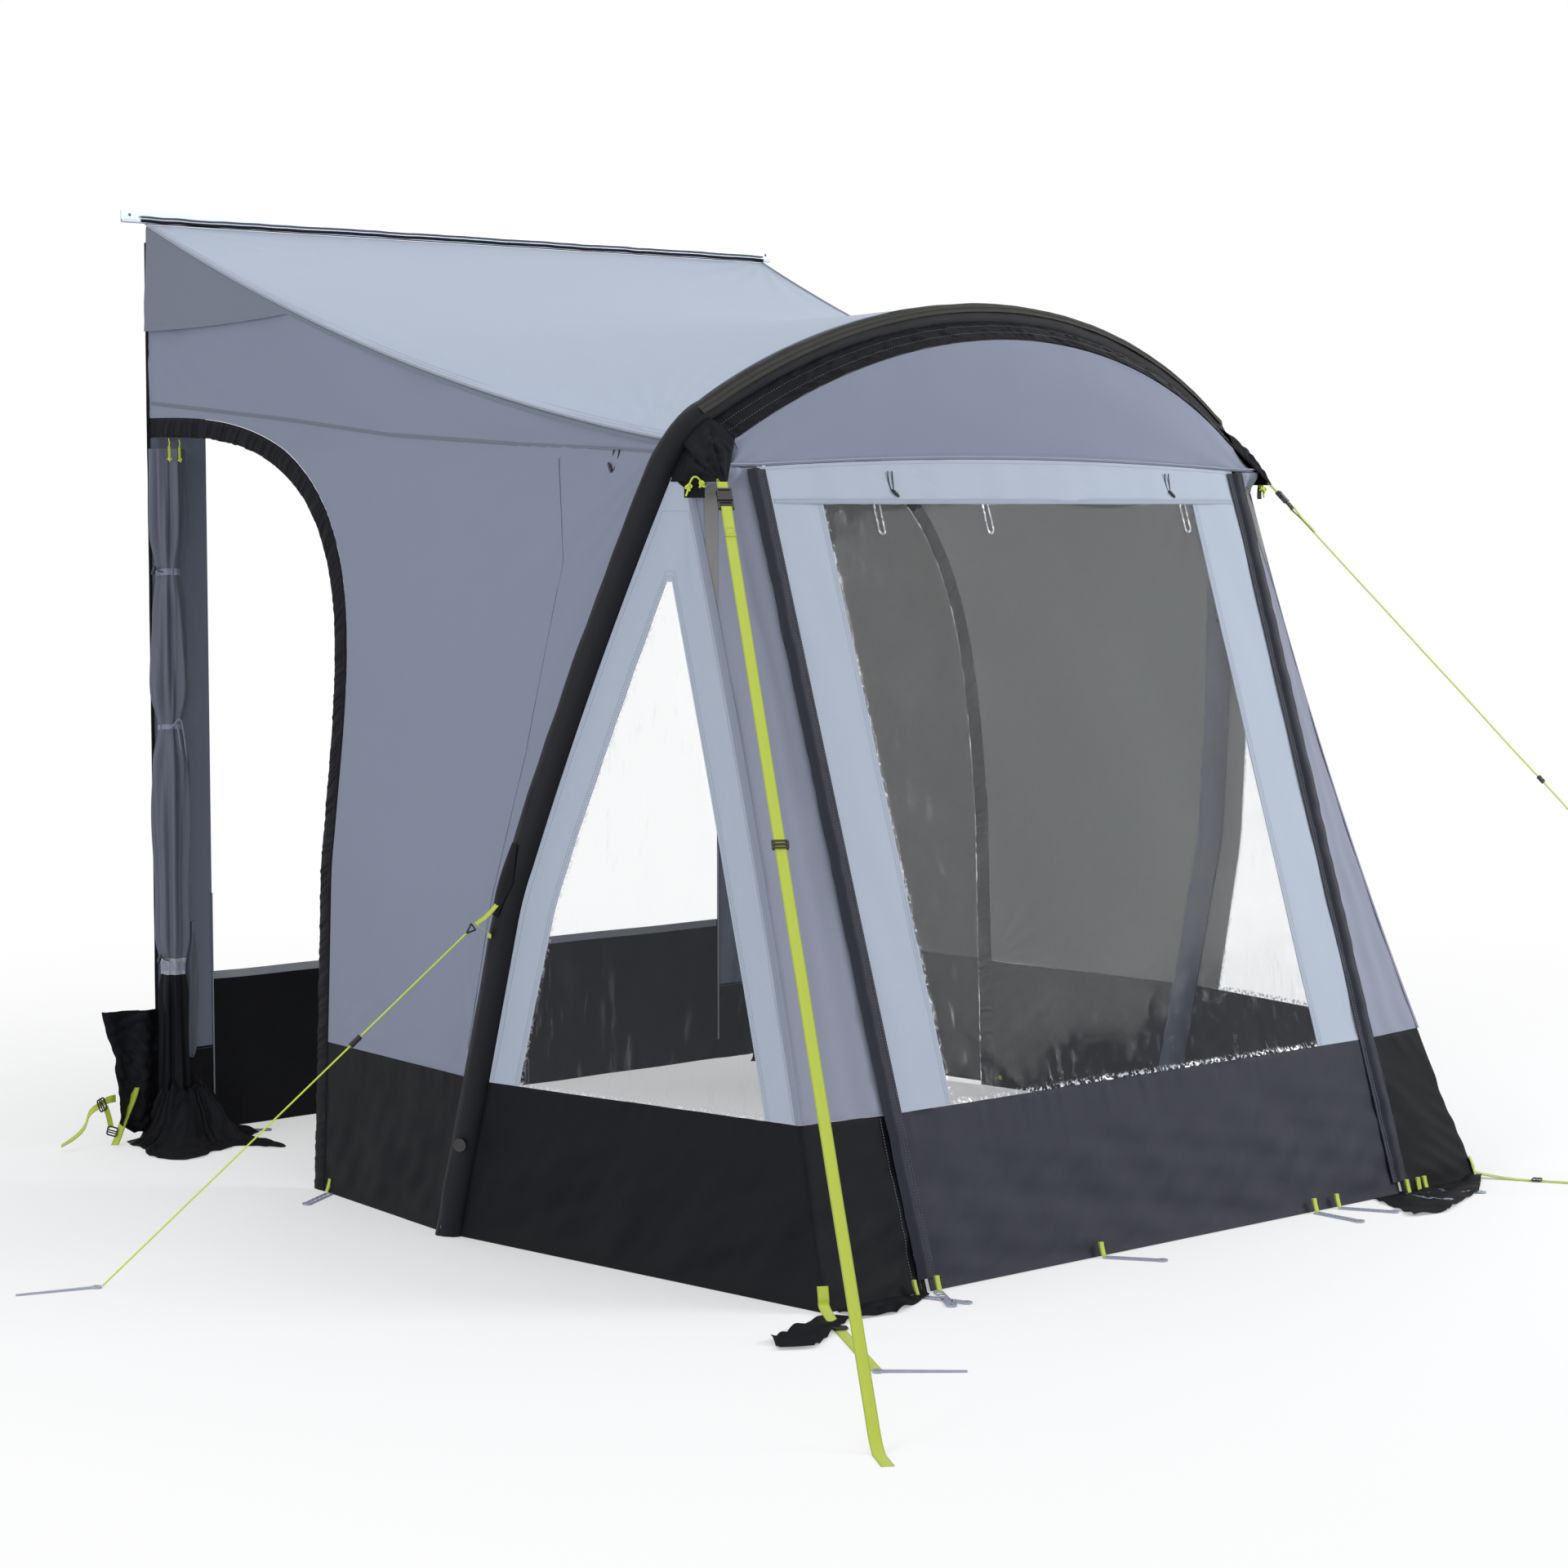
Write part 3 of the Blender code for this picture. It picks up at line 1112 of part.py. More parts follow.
def make_storm_strap(name, sign):
    """Webbing that turns round the plug's bar and runs to the ground, with its tail doubled back."""
    tip, end, level, across = strap_frame(sign)
    slope = unit((np.linalg.norm((end - tip)[:2]), -TIP_Z))
    up = np.array([-slope[1], slope[0]])
    bar = BUCKLE_START + FEMALE_LENGTH + SEAM_GAP + END_BAR
    turn = LOOP_INNER + STRAP_THICK / 2.0
    total = math.hypot(np.linalg.norm((end - tip)[:2]), TIP_Z)
    origin = np.array([0.0, TIP_Z])

    def at(along, off):
        return origin + slope * along + up * off

    tail = [at(bar + TAIL_LENGTH * s, STRAP_THICK * 0.5 + 0.0004 + (turn - 0.0012) * max(0.0, 1 - 2.5 * s))
            for s in np.linspace(1.0, 0.22, 4)]
    loop = [at(bar - turn * math.cos(a), turn * math.sin(a)) for a in np.radians(np.linspace(90, -90, 7))]
    slip = 2.0 * STRAP_THICK / slope[1]
    below = [at(bar + d, -STRAP_THICK * 0.5 - 0.0004 - (turn - 0.0012) * k) for d, k in
             ((TAIL_LENGTH * 0.3, 0.15), (TAIL_LENGTH * 0.6, 0.0), (0.30, 0.0))]
    ground = STRAP_THICK / 2.0
    reach = (TIP_Z - ground) / -slope[1]
    far = at(min(total, reach) + slip * 4.0, 0.0)
    foot = np.array([far[0] + 0.030, ground])
    path = tail + loop + below + [far, foot, foot + np.array([STRAP_FOOT, 0.0])]
    path = np.array(path)
    path[:, 1] = np.maximum(path[:, 1], ground)
    outline = ribbon(path, STRAP_THICK)
    vertices, faces = prism(outline, -STRAP_WIDTH / 2.0, STRAP_WIDTH / 2.0)
    base = np.array([tip[0], tip[1], 0.0])
    flat = vertices.copy()
    vertices = base + flat[:, :1] * level + flat[:, 1:2] * np.array([0.0, 0.0, 1.0]) + flat[:, 2:] * across
    vertices[:, 2] = np.maximum(vertices[:, 2], 0.0)
    add_object(name, vertices, faces, "lime")


def make_strap_slider(name, sign):
    """Three-bar slider that the strap threads through."""
    tip, end, _, _ = strap_frame(sign)
    half, length, thick = STRAP_SLIDER
    outline = [(-half + 0.002, 0.0), (half - 0.002, 0.0), (half, 0.002), (half, length - 0.002),
               (half - 0.002, length), (-half + 0.002, length), (-half, length - 0.002), (-half, 0.002)]
    vertices, faces = prism(outline, -thick / 2.0, thick / 2.0)
    body = add_object(name, vertices, faces, "plastic", smooth=30.0)
    along = SLIDER_SHARE * np.linalg.norm(end - tip)
    place_on_strap(body, sign, along)
    clear = STRAP_THICK / 2.0 + 0.0014
    tools = [([(-0.0140, -0.01), (0.0140, -0.01), (0.0140, 0.05), (-0.0140, 0.05)], -clear, clear, "bore")]
    tools += [([(-0.0140, low), (0.0140, low), (0.0140, low + 0.0045), (-0.0140, low + 0.0045)], -0.01, 0.01,
               "slot_%d" % round(low * 1e4)) for low in (0.0038, 0.0137)]
    for outline, deep, high, label in tools:
        vertices, faces = prism(outline, deep, high)
        tool = cut(body, vertices, faces, label + "_tool_" + name)
        place_on_strap(tool, sign, along)


# Pieces on the ground

def corner_run(sign):
    """Foot of the front corner and the level direction of its strap."""
    foot = np.array([sign * FRONT_HALF, -FRONT_DEPTH, 0.0])
    return foot, unit((sign * CORNER_HEADING[0], CORNER_HEADING[1], 0.0))


def make_corner_strap(name, sign):
    """Webbing sewn to the corner's lower edge that runs out along the ground to its peg."""
    foot, level = corner_run(sign)
    across = np.array([-level[1], level[0], 0.0])
    path = []
    for z in (0.055, 0.030, 0.014):
        corner = front_edge(z) * np.array([sign, 1.0, 1.0])
        path.append(((corner - foot) @ level + STRAP_THICK / 2.0 + 2.0 * GAP, z))
    path += [(0.050, 0.0055), (0.12, STRAP_THICK / 2.0), (CORNER_RUN, STRAP_THICK / 2.0)]
    vertices, faces = prism(ribbon(path, STRAP_THICK), -STRAP_WIDTH / 2.0, STRAP_WIDTH / 2.0)
    flat = vertices
    placed = foot + flat[:, :1] * level + flat[:, 1:2] * np.array([0.0, 0.0, 1.0]) + flat[:, 2:] * across
    placed[:, 2] = np.maximum(placed[:, 2], 0.0)
    add_object(name, placed, faces, "lime")


def ring_plate(radius, hole, tail, tail_half, sides=16):
    """Flat ring with a tapered tail along +X: loops of outer and inner points."""
    outer, inner = [], []
    for k in range(sides):
        turn = 2.0 * math.pi * (k + 0.5) / sides
        x, y = radius * math.cos(turn), radius * math.sin(turn)
        if k in (0, sides - 1):
            x, y = tail, math.copysign(tail_half, y)
        elif k in (1, sides - 2):
            x, y = radius * 0.95, math.copysign(radius * 0.42, y)
        outer.append((x, y))
        inner.append((hole * math.cos(turn), hole * math.sin(turn)))
    return outer, inner


def plate_faces(outer, inner, low, high):
    count = len(outer)
    vertices = [(x, y, z) for z in (low, high) for loop in (outer, inner) for x, y in loop]
    faces = []
    for a in range(count):
        b = (a + 1) % count
        faces.append((a, b, b + count, a + count))
        faces.append((a + 2 * count, b + 2 * count, b + 3 * count, a + 3 * count))
        faces.append((a, b, b + 2 * count, a + 2 * count))
        faces.append((a + count, b + count, b + 3 * count, a + 3 * count))
    return np.array(vertices), faces


def make_corner_peg(name, sign):
    """Peg with a ring head, lying flat at the end of the corner strap."""
    foot, level = corner_run(sign)
    spot = foot + level * (CORNER_RUN + PEG_HEAD + GAP)
    heading = unit((-sign * PEG_HEADING[0], PEG_HEADING[1], 0.0))
    outer, inner = ring_plate(PEG_HEAD, PEG_HEAD * 0.5, PEG_LENGTH, 0.0012)
    vertices, faces = plate_faces(outer, inner, 0.0, PEG_THICK)
    side = np.array([-heading[1], heading[0], 0.0])
    placed = spot + vertices[:, :1] * heading + vertices[:, 1:2] * side + vertices[:, 2:] * np.array([0, 0, 1.0])
    add_object(name, placed, faces, "clear")


def ladder_shape():
    """Pegging ladder from its hook bar at the origin along +X, as one flat plate with holes."""
    step = LADDER_LENGTH / LADDER_RUNGS
    xs = [0.0]
    for k in range(LADDER_RUNGS):
        xs += [k * step + LADDER_RAIL, (k + 1) * step]
    xs.append(LADDER_LENGTH + LADDER_RAIL)
    half = LADDER_WIDTH / 2.0
    ys = [-half, -half + LADDER_RAIL, half - LADDER_RAIL, half]
    solid = np.ones((len(xs) - 1, 3), bool)
    solid[1::2, 1] = False
    vertices = [(x, y, z) for z in (0.0, LADDER_THICK) for x in xs for y in ys]
    layer = len(xs) * len(ys)

    def corner(i, j):
        return i * len(ys) + j

    faces = []
    for i in range(len(xs) - 1):
        for j in range(3):
            if not solid[i, j]:
                continue
            a, b, c, d = corner(i, j), corner(i + 1, j), corner(i + 1, j + 1), corner(i, j + 1)
            faces.append((a, d, c, b))
            faces.append(tuple(v + layer for v in (a, b, c, d)))
            for (p, q), (m, n) in (((a, b), (i, j - 1)), ((b, c), (i + 1, j)), ((c, d), (i, j + 1)),
                                   ((d, a), (i - 1, j))):
                inside = 0 <= m < len(xs) - 1 and 0 <= n < 3
                if not inside or not solid[m, n]:
                    faces.append((p, q, q + layer, p + layer))
    return np.array(vertices), faces


def make_ladder(name, edge, outward, heading):
    """Ladder lying on the ground from the lower edge that it hooks to, with its ring at the far end."""
    edge, outward, heading = np.asarray(edge, float), unit(outward), unit(heading)
    turned = abs(heading[0] * outward[1] - heading[1] * outward[0])
    hook = edge + outward * (LADDER_CLEAR + turned * LADDER_WIDTH / 2.0)
    vertices, faces = ladder_shape()
    side = np.array([-heading[1], heading[0], 0.0])
    up = np.array([0.0, 0.0, 1.0])

    def placed(flat):
        return hook + flat[:, :1] * heading + flat[:, 1:2] * side + flat[:, 2:] * up

    bar = hook + heading * LADDER_RAIL / 2.0 + up * LADDER_THICK / 2.0
    body = add_object(name, placed(vertices), faces, "clear", tuple(bar))
    outer, inner = ring_plate(0.0125, 0.0048, 0.0125, 0.003)
    ring, ring_faces = plate_faces(outer, inner, -0.0, LADDER_THICK + 0.0012)
    ring[:, 0] += LADDER_LENGTH + 0.0105
    cut(body, placed(ring), ring_faces, "ring_tool_" + name, "UNION")


# Guy line

def guy_frame():
    """Point of the left leg that the guy line leaves, its direction, and its end on the ground."""
    centre = np.array([-float(leg_half(GUY_LEG_Z)), float(arch_y(GUY_LEG_Z)), GUY_LEG_Z])
    end = np.array([*GUY_END, GUY_RADIUS + 0.001])
    run = unit(end - centre)
    return centre, run, end


def make_guy():
    """Loop on the sleeve, ring, line with its runner, and the peg that holds it down."""
    centre, run, end = guy_frame()
    above, below = (np.array([-float(leg_half(z)), float(arch_y(z)), z])
                    for z in (GUY_LEG_Z + 0.03, GUY_LEG_Z - 0.07))
    leg = unit(above - below)
    out = unit(run - leg * (run @ leg))
    flat = np.cross(leg, out)
    foot = SLEEVE_RADIUS - 0.5 * GAP
    tip = np.array([run @ leg, run @ out]) * (GUY_LOOP_REACH / (run @ out))
    tip_along = tip * (foot + GUY_LOOP_REACH) / GUY_LOOP_REACH
    upper, lower = tip_along[0] + GUY_LOOP_FEET[0], tip_along[0] - GUY_LOOP_FEET[1]
    v_shape = [(upper, foot), (upper - 0.016, foot), (tip_along[0] + 0.002, foot + GUY_LOOP_REACH - 0.012),
               (lower + 0.014, foot), (lower, foot), (tip_along[0] - 0.008, foot + GUY_LOOP_REACH),
               (tip_along[0] + 0.008, foot + GUY_LOOP_REACH)]
    vertices, faces = prism(v_shape, -0.0010, 0.0010)
    placed_loop = centre + vertices[:, :1] * leg + vertices[:, 1:2] * out + vertices[:, 2:] * flat
    add_object("guy_loop_left", placed_loop, faces, "lime")

    start = centre
    side = unit(np.cross(run, flat))
    through = flat

    def placed(flat_points):
        return start + flat_points[:, :1] * side + flat_points[:, 1:2] * run + flat_points[:, 2:] * through

    ring_at = (foot + GUY_LOOP_REACH) / (run @ out) + 0.0090
    tri = [(-0.011, 0.0), (0.011, 0.0), (0.012, 0.002), (0.0015, 0.024), (-0.0015, 0.024), (-0.012, 0.002)]
    hole = [(-0.0075, 0.0030), (0.0075, 0.0030), (0.0078, 0.0038), (0.0008, 0.0185), (-0.0008, 0.0185),
            (-0.0078, 0.0038)]
    vertices, faces = plate_faces(tri, hole, -0.0016, 0.0016)
    vertices[:, 1] += ring_at - 0.002
    pivot = placed(np.array([[0.0, ring_at, 0.0]]))[0]
    add_object("guy_ring_left", placed(vertices), faces, "plastic", tuple(pivot))
    cord_start = ring_at - 0.002 + 0.024 + GAP
    total = np.linalg.norm(end - start)
    span = total - cord_start - GUY_END_SHORT
    curve = bpy.data.curves.new("guy_line_left", "CURVE")
    curve.dimensions = "3D"
    curve.bevel_depth = GUY_RADIUS
    curve.bevel_resolution = 2
    curve.use_fill_caps = True
    steps = 24
    line = curve.splines.new("POLY")
    line.points.add(steps)
    for k in range(steps + 1):
        share = k / steps
        spot = start + run * (cord_start + span * share)
        spot[2] = max(spot[2] - 4.0 * GUY_SAG * share * (1.0 - share), GUY_RADIUS)
        line.points[k].co = (*spot, 1.0)
    curve.materials.append(finish_for("guy_line_left", "lime"))
    cord = bpy.data.objects.new("guy_line_left", curve)
    bpy.context.scene.collection.objects.link(cord)
    cord.parent = bpy.data.objects["awning"]
    along = cord_start + span * RUNNER_SHARE
    sides = 10
    bore = GUY_RADIUS + RUNNER_CLEAR
    ring = []
    middle = start + run * along
    middle[2] -= 4.0 * GUY_SAG * RUNNER_SHARE * (1.0 - RUNNER_SHARE)
    for y in (0.0, RUNNER_LENGTH):
        for radius in (bore + RUNNER_WALL, bore):
            for k in range(sides):
                a = 2.0 * math.pi * k / sides
                ring.append(middle + run * y + side * radius * math.cos(a) * (1.35 if radius > bore else 1.0)
                            + through * radius * math.sin(a))
    faces = []
    for k in range(sides):
        m = (k + 1) % sides
        o0, i0, o1, i1 = 0, sides, 2 * sides, 3 * sides
        faces += [(o0 + k, o0 + m, o1 + m, o1 + k), (i0 + k, i0 + m, i1 + m, i1 + k),
                  (o0 + k, o0 + m, i0 + m, i0 + k), (o1 + k, o1 + m, i1 + m, i1 + k)]
    add_object("guy_runner_left", np.array(ring), faces, "plastic", tuple(middle))
    heading = unit((run[0], run[1], 0.0))
    outer, inner = ring_plate(PEG_HEAD, PEG_HEAD * 0.5, PEG_LENGTH, 0.0012)
    vertices, faces = plate_faces(outer, inner, 0.0, PEG_THICK)
    across = np.array([-heading[1], heading[0], 0.0])
    spot = np.array([end[0], end[1], 0.0]) + heading * (PEG_HEAD + GAP)
    placed_peg = spot + vertices[:, :1] * heading + vertices[:, 1:2] * across
    placed_peg = placed_peg + vertices[:, 2:] * np.array([0.0, 0.0, 1.0])
    add_object("guy_peg_left", placed_peg, faces, "clear")


def make_door_slider():
    """Slider of the closed door's zip, on the leaf beside its seam with the trim."""
    y = -(DOOR_FRONT - TRIM_WIDTH) + DOOR_SLIDER_INSET
    low, high = (np.array([float(wall_half(y, z)), y, z]) for z in (DOOR_ZIP_Z, DOOR_ZIP_Z + 0.026))
    up = unit(high - low)
    frame = np.stack([np.array([0.0, 1.0, 0.0]), up, np.array([1.0, 0.0, 0.0])])
    vertices, faces = prism(slider_outline(DOOR_SLIDER_HALF), DOOR_SLIDER_PROUD, DOOR_SLIDER_PROUD + DOOR_SLIDER_THICK)
    add_object("door_zip_slider_right", vertices @ frame + low, faces, "plastic", tuple(low))


def centre_on_ground(empty, left_out):
    """Moves the empty so that the origin is under the middle of everything but the guy line."""
    low, high = np.full(3, np.inf), np.full(3, -np.inf)
    bpy.context.view_layer.update()
    for made in bpy.data.objects:
        if made.type != "MESH" or made.hide_render or made.name in left_out:
            continue
        points = np.array([tuple(made.matrix_local @ v.co) for v in made.data.vertices])
        low, high = np.minimum(low, points.min(0)), np.maximum(high, points.max(0))
    empty.location = (-(low[0] + high[0]) / 2.0, -(low[1] + high[1]) / 2.0, 0.0)
    print("wall plane at y =", round(empty.location.y, 6), "x shift", round(empty.location.x, 6))
    print("box without the guy line", np.round(low, 4), np.round(high, 4))


def main():
    clear_scene()
    empty = bpy.data.objects.new("awning", None)
    bpy.context.scene.collection.objects.link(empty)
    make_rail()
    make_bead()
    make_roof()
    make_arch()
    make_valve_cap()
    make_gable()
    make_front_panel()
    make_leaf()
    make_skirt()
    make_curtain()
    make_guy()
    make_door_slider()
    for side, sign in (("left", -1.0), ("right", 1.0)):
        make_side_wall("side_wall_" + side, sign)
        make_trim("door_trim_" + side, sign)
        make_pillar("rear_pillar_" + side, sign)
        make_band_rear("band_rear_" + side, sign)
        make_bay(side, sign)
        make_corner_panel("corner_panel_" + side, sign)
        make_band_side("band_side_" + side, sign)
        make_zip_cover("zip_cover_" + side, sign)
        make_front_slider("front_zip_slider_" + side, sign)
        make_rear_flap("rear_flap_" + side, sign)
        make_patch("strap_patch_" + side, sign)
        make_female("buckle_female_" + side, sign)
        make_male("buckle_male_" + side, sign)
        make_storm_strap("storm_strap_" + side, sign)
        make_strap_slider("strap_slider_" + side, sign)
        make_corner_strap("corner_strap_" + side, sign)
        make_corner_peg("corner_peg_" + side, sign)
        hook = (sign * (ZIP_HALF + COVER_WIDTH), -FRONT_DEPTH, 0.0)
        make_ladder("ladder_front_" + side, hook, (0.0, -1.0, 0.0), (-sign * 0.30, -1.0, 0.0))
        near, far = on_wall([LADDER_DOOR_Y, LADDER_DOOR_Y - 0.05], [0.0, 0.0]) * (sign, 1.0, 1.0)
        outward = (sign * (near[1] - far[1]), abs(far[0] - near[0]), 0.0)
        make_ladder("ladder_door_" + side, near, outward, (sign * 0.85, -0.53, 0.0))
    cord_nodes = ("guy_ring_left", "guy_line_left", "guy_runner_left", "guy_peg_left")
    centre_on_ground(empty, cord_nodes)


main()
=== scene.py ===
import math

import bmesh
import bpy
import numpy as np
from mathutils import Matrix, Vector


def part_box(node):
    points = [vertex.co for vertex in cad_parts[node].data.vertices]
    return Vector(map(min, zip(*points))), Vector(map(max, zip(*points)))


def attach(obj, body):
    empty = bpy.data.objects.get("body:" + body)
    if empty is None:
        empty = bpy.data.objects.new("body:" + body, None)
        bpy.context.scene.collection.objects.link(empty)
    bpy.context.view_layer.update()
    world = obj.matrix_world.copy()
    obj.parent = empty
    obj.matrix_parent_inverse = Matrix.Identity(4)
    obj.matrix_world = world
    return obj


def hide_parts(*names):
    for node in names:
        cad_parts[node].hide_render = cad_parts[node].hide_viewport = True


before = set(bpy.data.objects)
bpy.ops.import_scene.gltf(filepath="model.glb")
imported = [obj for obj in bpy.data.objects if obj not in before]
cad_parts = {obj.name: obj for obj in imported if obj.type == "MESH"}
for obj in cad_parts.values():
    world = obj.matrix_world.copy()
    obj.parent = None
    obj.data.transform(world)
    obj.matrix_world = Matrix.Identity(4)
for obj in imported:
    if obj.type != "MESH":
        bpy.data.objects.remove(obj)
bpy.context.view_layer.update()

# Shapes are worked out with y = 0 on the caravan's wall, as the awning hangs there, and moved
# into the frame when a mesh is made. Sizes are metres.
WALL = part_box("awning_rail")[1].y
SHIFT = np.array([0.0, WALL, 0.0])

# Overall sizes, the same as the solids'
RAIL_HEIGHT, REAR_HALF = 2.50, 1.10
FRONT_DEPTH, FRONT_HALF, FRONT_SLOPE = 2.784, 1.138, 0.322
ARCH_FOOT_Y, ARCH_LEAN = -1.590, 0.245
ARCH_FOOT_HALF, ARCH_KNEE_HALF, ARCH_KNEE_Z = 1.260, 1.222, 0.84
ARCH_SHOULDER_HALF, ARCH_TOP_Z, ARCH_TOP_RADIUS = 0.9485, 2.189, 1.624
SHOULDER_FILLET, KNEE_FILLET, LEG_BULGE = 0.25, 0.60, 0.014
SLEEVE_RADIUS = 0.038
CLOTH = 0.0025
GAP = 0.0004
SEAM = 0.0006
ROOF_EDGE_SAG, ROOF_MIDDLE_SAG, ROOF_SIDE_Z = 0.075, 0.035, 1.872
FLAP_DROP, FLAP_LENGTH, HEM_DROP = 0.29, 0.62, 0.014
BAND_TOP = 0.380
DOOR_FRONT, DOOR_TOP, DOOR_SPRING, DOOR_SQUARENESS = 0.960, 1.968, 1.000, 2.9
TRIM_WIDTH = 0.052
PILLAR_WIDTH, PILLAR_TOP = 0.175, 2.44
LEAF_HINGE, LEAF_FOOT = 0.034, 0.012
EDGE_TOP_HALF, EDGE_TOP_Y, EDGE_TOP_Z = 0.966, -2.134, 1.764
EDGE_BOW_X, EDGE_BOW_Y = 0.036, 0.018
BAY_FRAME, BAY_APEX = 0.095, 0.014
ZIP_HALF, ZIP_SLOT = 0.8265, 0.0120
HEADER_Z, HEADER_RISE = 1.820, 0.024
WINDOW_TOP, WINDOW_HALF = 1.735, 0.640
GABLE_BAND_DROP, GABLE_BAND_FORWARD, GABLE_SWELL = 0.027, 0.073, 0.012
SKIRT_TOP = 0.440
TIP = np.array([0.948, -2.225, 1.785])
STRAP_END = np.array([1.800, -3.660, 0.0])
STRAP_WIDTH, STRAP_THICK = 0.025, 0.0016

ARCH_NORMAL = np.array([0.0, 1.0, ARCH_LEAN]) / math.hypot(1.0, ARCH_LEAN)
FRONT_NORMAL = np.array([0.0, -1.0, FRONT_SLOPE]) / math.hypot(1.0, FRONT_SLOPE)
FRONT_UP = np.array([0.0, FRONT_SLOPE, 1.0]) / math.hypot(1.0, FRONT_SLOPE)


# Camera, lights, floor

def make_camera():
    """Camera whose back points along (sin a cos e, -cos a cos e, sin e)."""
    turn, tilt = math.radians(-41.44), math.radians(4.60)
    back = Vector((math.sin(turn) * math.cos(tilt), -math.cos(turn) * math.cos(tilt), math.sin(tilt)))
    right = Vector((math.cos(turn), math.sin(turn), 0.0))
    up = back.cross(right)
    lens = bpy.data.cameras.new("view")
    lens.sensor_width = 36.0
    lens.sensor_fit = "HORIZONTAL"
    lens.lens = 4214.45 / 1920.0 * 36.0
    lens.clip_end = 200.0
    made = bpy.data.objects.new("view", lens)
    bpy.context.scene.collection.objects.link(made)
    place = Matrix((right, up, back)).transposed().to_4x4()
    place.translation = Vector((-6.022, -8.184 + WALL, 1.728))
    made.matrix_world = place
    bpy.context.scene.camera = made


# Shader expressions

class Value:
    """A number's socket that Python's operators turn into Math nodes."""

    def __init__(self, tree, socket):
        self.tree, self.socket = tree, socket

    def _math(self, kind, *values):
        node = self.tree.nodes.new("ShaderNodeMath")
        node.operation = kind
        for slot, value in zip(node.inputs, values):
            if isinstance(value, Value):
                self.tree.links.new(value.socket, slot)
            else:
                slot.default_value = value
        return Value(self.tree, node.outputs[0])

    def __add__(self, other):
        return self._math("ADD", self, other)

    def __radd__(self, other):
        return self._math("ADD", other, self)

    def __sub__(self, other):
        return self._math("SUBTRACT", self, other)

    def __rsub__(self, other):
        return self._math("SUBTRACT", other, self)

    def __mul__(self, other):
        return self._math("MULTIPLY", self, other)

    def __rmul__(self, other):
        return self._math("MULTIPLY", other, self)

    def __truediv__(self, other):
        return self._math("DIVIDE", self, other)

    def __pow__(self, other):
        return self._math("POWER", self, other)

    def fract(self):
        return self._math("FRACT", self)

    def sine(self):
        return self._math("SINE", self)

    def size(self):
        return self._math("ABSOLUTE", self)

    def above(self, other):
        return self._math("GREATER_THAN", self, other)

    def below(self, other):
        return self._math("LESS_THAN", self, other)

    def clip(self):
        return self._math("MINIMUM", self._math("MAXIMUM", self, 0.0), 1.0)


class Finish:
    """A material under construction."""

    def __init__(self, name):
        self.material = bpy.data.materials.new(name)
        self.material.use_nodes = True
        self.tree = self.material.node_tree
        self.tree.nodes.clear()
        self.out = self.tree.nodes.new("ShaderNodeOutputMaterial")

    def node(self, kind, settings=None, **inputs):
        """A node of that type: its settings first, then the values or links of its sockets."""
        made = self.tree.nodes.new(kind)
        for key, value in (settings or {}).items():
            if key == "stops":
                ramp = made.color_ramp
                while len(ramp.elements) < len(value):
                    ramp.elements.new(0.5)
                for element, (place, colour) in zip(ramp.elements, value):
                    element.position, element.color = place, (*colour, 1.0)
            else:
                setattr(made, key, value)
        for key, value in inputs.items():
            name = key.replace("_", " ")
            if name.isdigit():
                slot = made.inputs[int(name)]
            else:
                slot = made.inputs[name]
            if isinstance(value, Value):
                value = value.socket
            if isinstance(value, bpy.types.NodeSocket):
                self.tree.links.new(value, slot)
            else:
                slot.default_value = value
        return made

    def value(self, socket):
        return Value(self.tree, socket)

    def place(self, scale=1.0, stretch=(1.0, 1.0, 1.0)):
        """Object coordinates through a Mapping node."""
        where = self.node("ShaderNodeTexCoord").outputs["Object"]
        size = tuple(scale * s for s in stretch)
        return self.node("ShaderNodeMapping", None, Vector=where, Scale=size).outputs[0]

    def sheet_place(self, scale=(1.0, 1.0)):
        """The piece's own map: metres along and across the cloth."""
        where = self.node("ShaderNodeTexCoord").outputs["UV"]
        return self.node("ShaderNodeMapping", None, Vector=where, Scale=(*scale, 1.0)).outputs[0]

    def noise(self, where, scale, detail=2.0, rough=0.5):
        made = self.node("ShaderNodeTexNoise", None, Vector=where, Scale=scale, Detail=detail, Roughness=rough)
        return self.value(made.outputs["Fac"])

    def mix(self, share, first, second):
        made = self.node("ShaderNodeMix", {"data_type": "RGBA"})
        for slot, value in ((made.inputs[0], share), (made.inputs[6], first), (made.inputs[7], second)):
            if isinstance(value, Value):
                value = value.socket
            if isinstance(value, bpy.types.NodeSocket):
                self.tree.links.new(value, slot)
            else:
                slot.default_value = (*value, 1.0) if isinstance(value, tuple) else value
        return made.outputs[2]

    def bump(self, height, strength, distance, normal=None):
        inputs = {"Height": height, "Strength": strength, "Distance": distance}
        if normal is not None:
            inputs["Normal"] = normal
        return self.node("ShaderNodeBump", None, **inputs).outputs[0]

    def end(self, shader):
        self.tree.links.new(shader, self.out.inputs["Surface"])
        return self.material


def shade(colour, share):
    """The colour made lighter (above 1) or darker (below 1)."""
    return tuple(min(1.0, c * share) for c in colour)


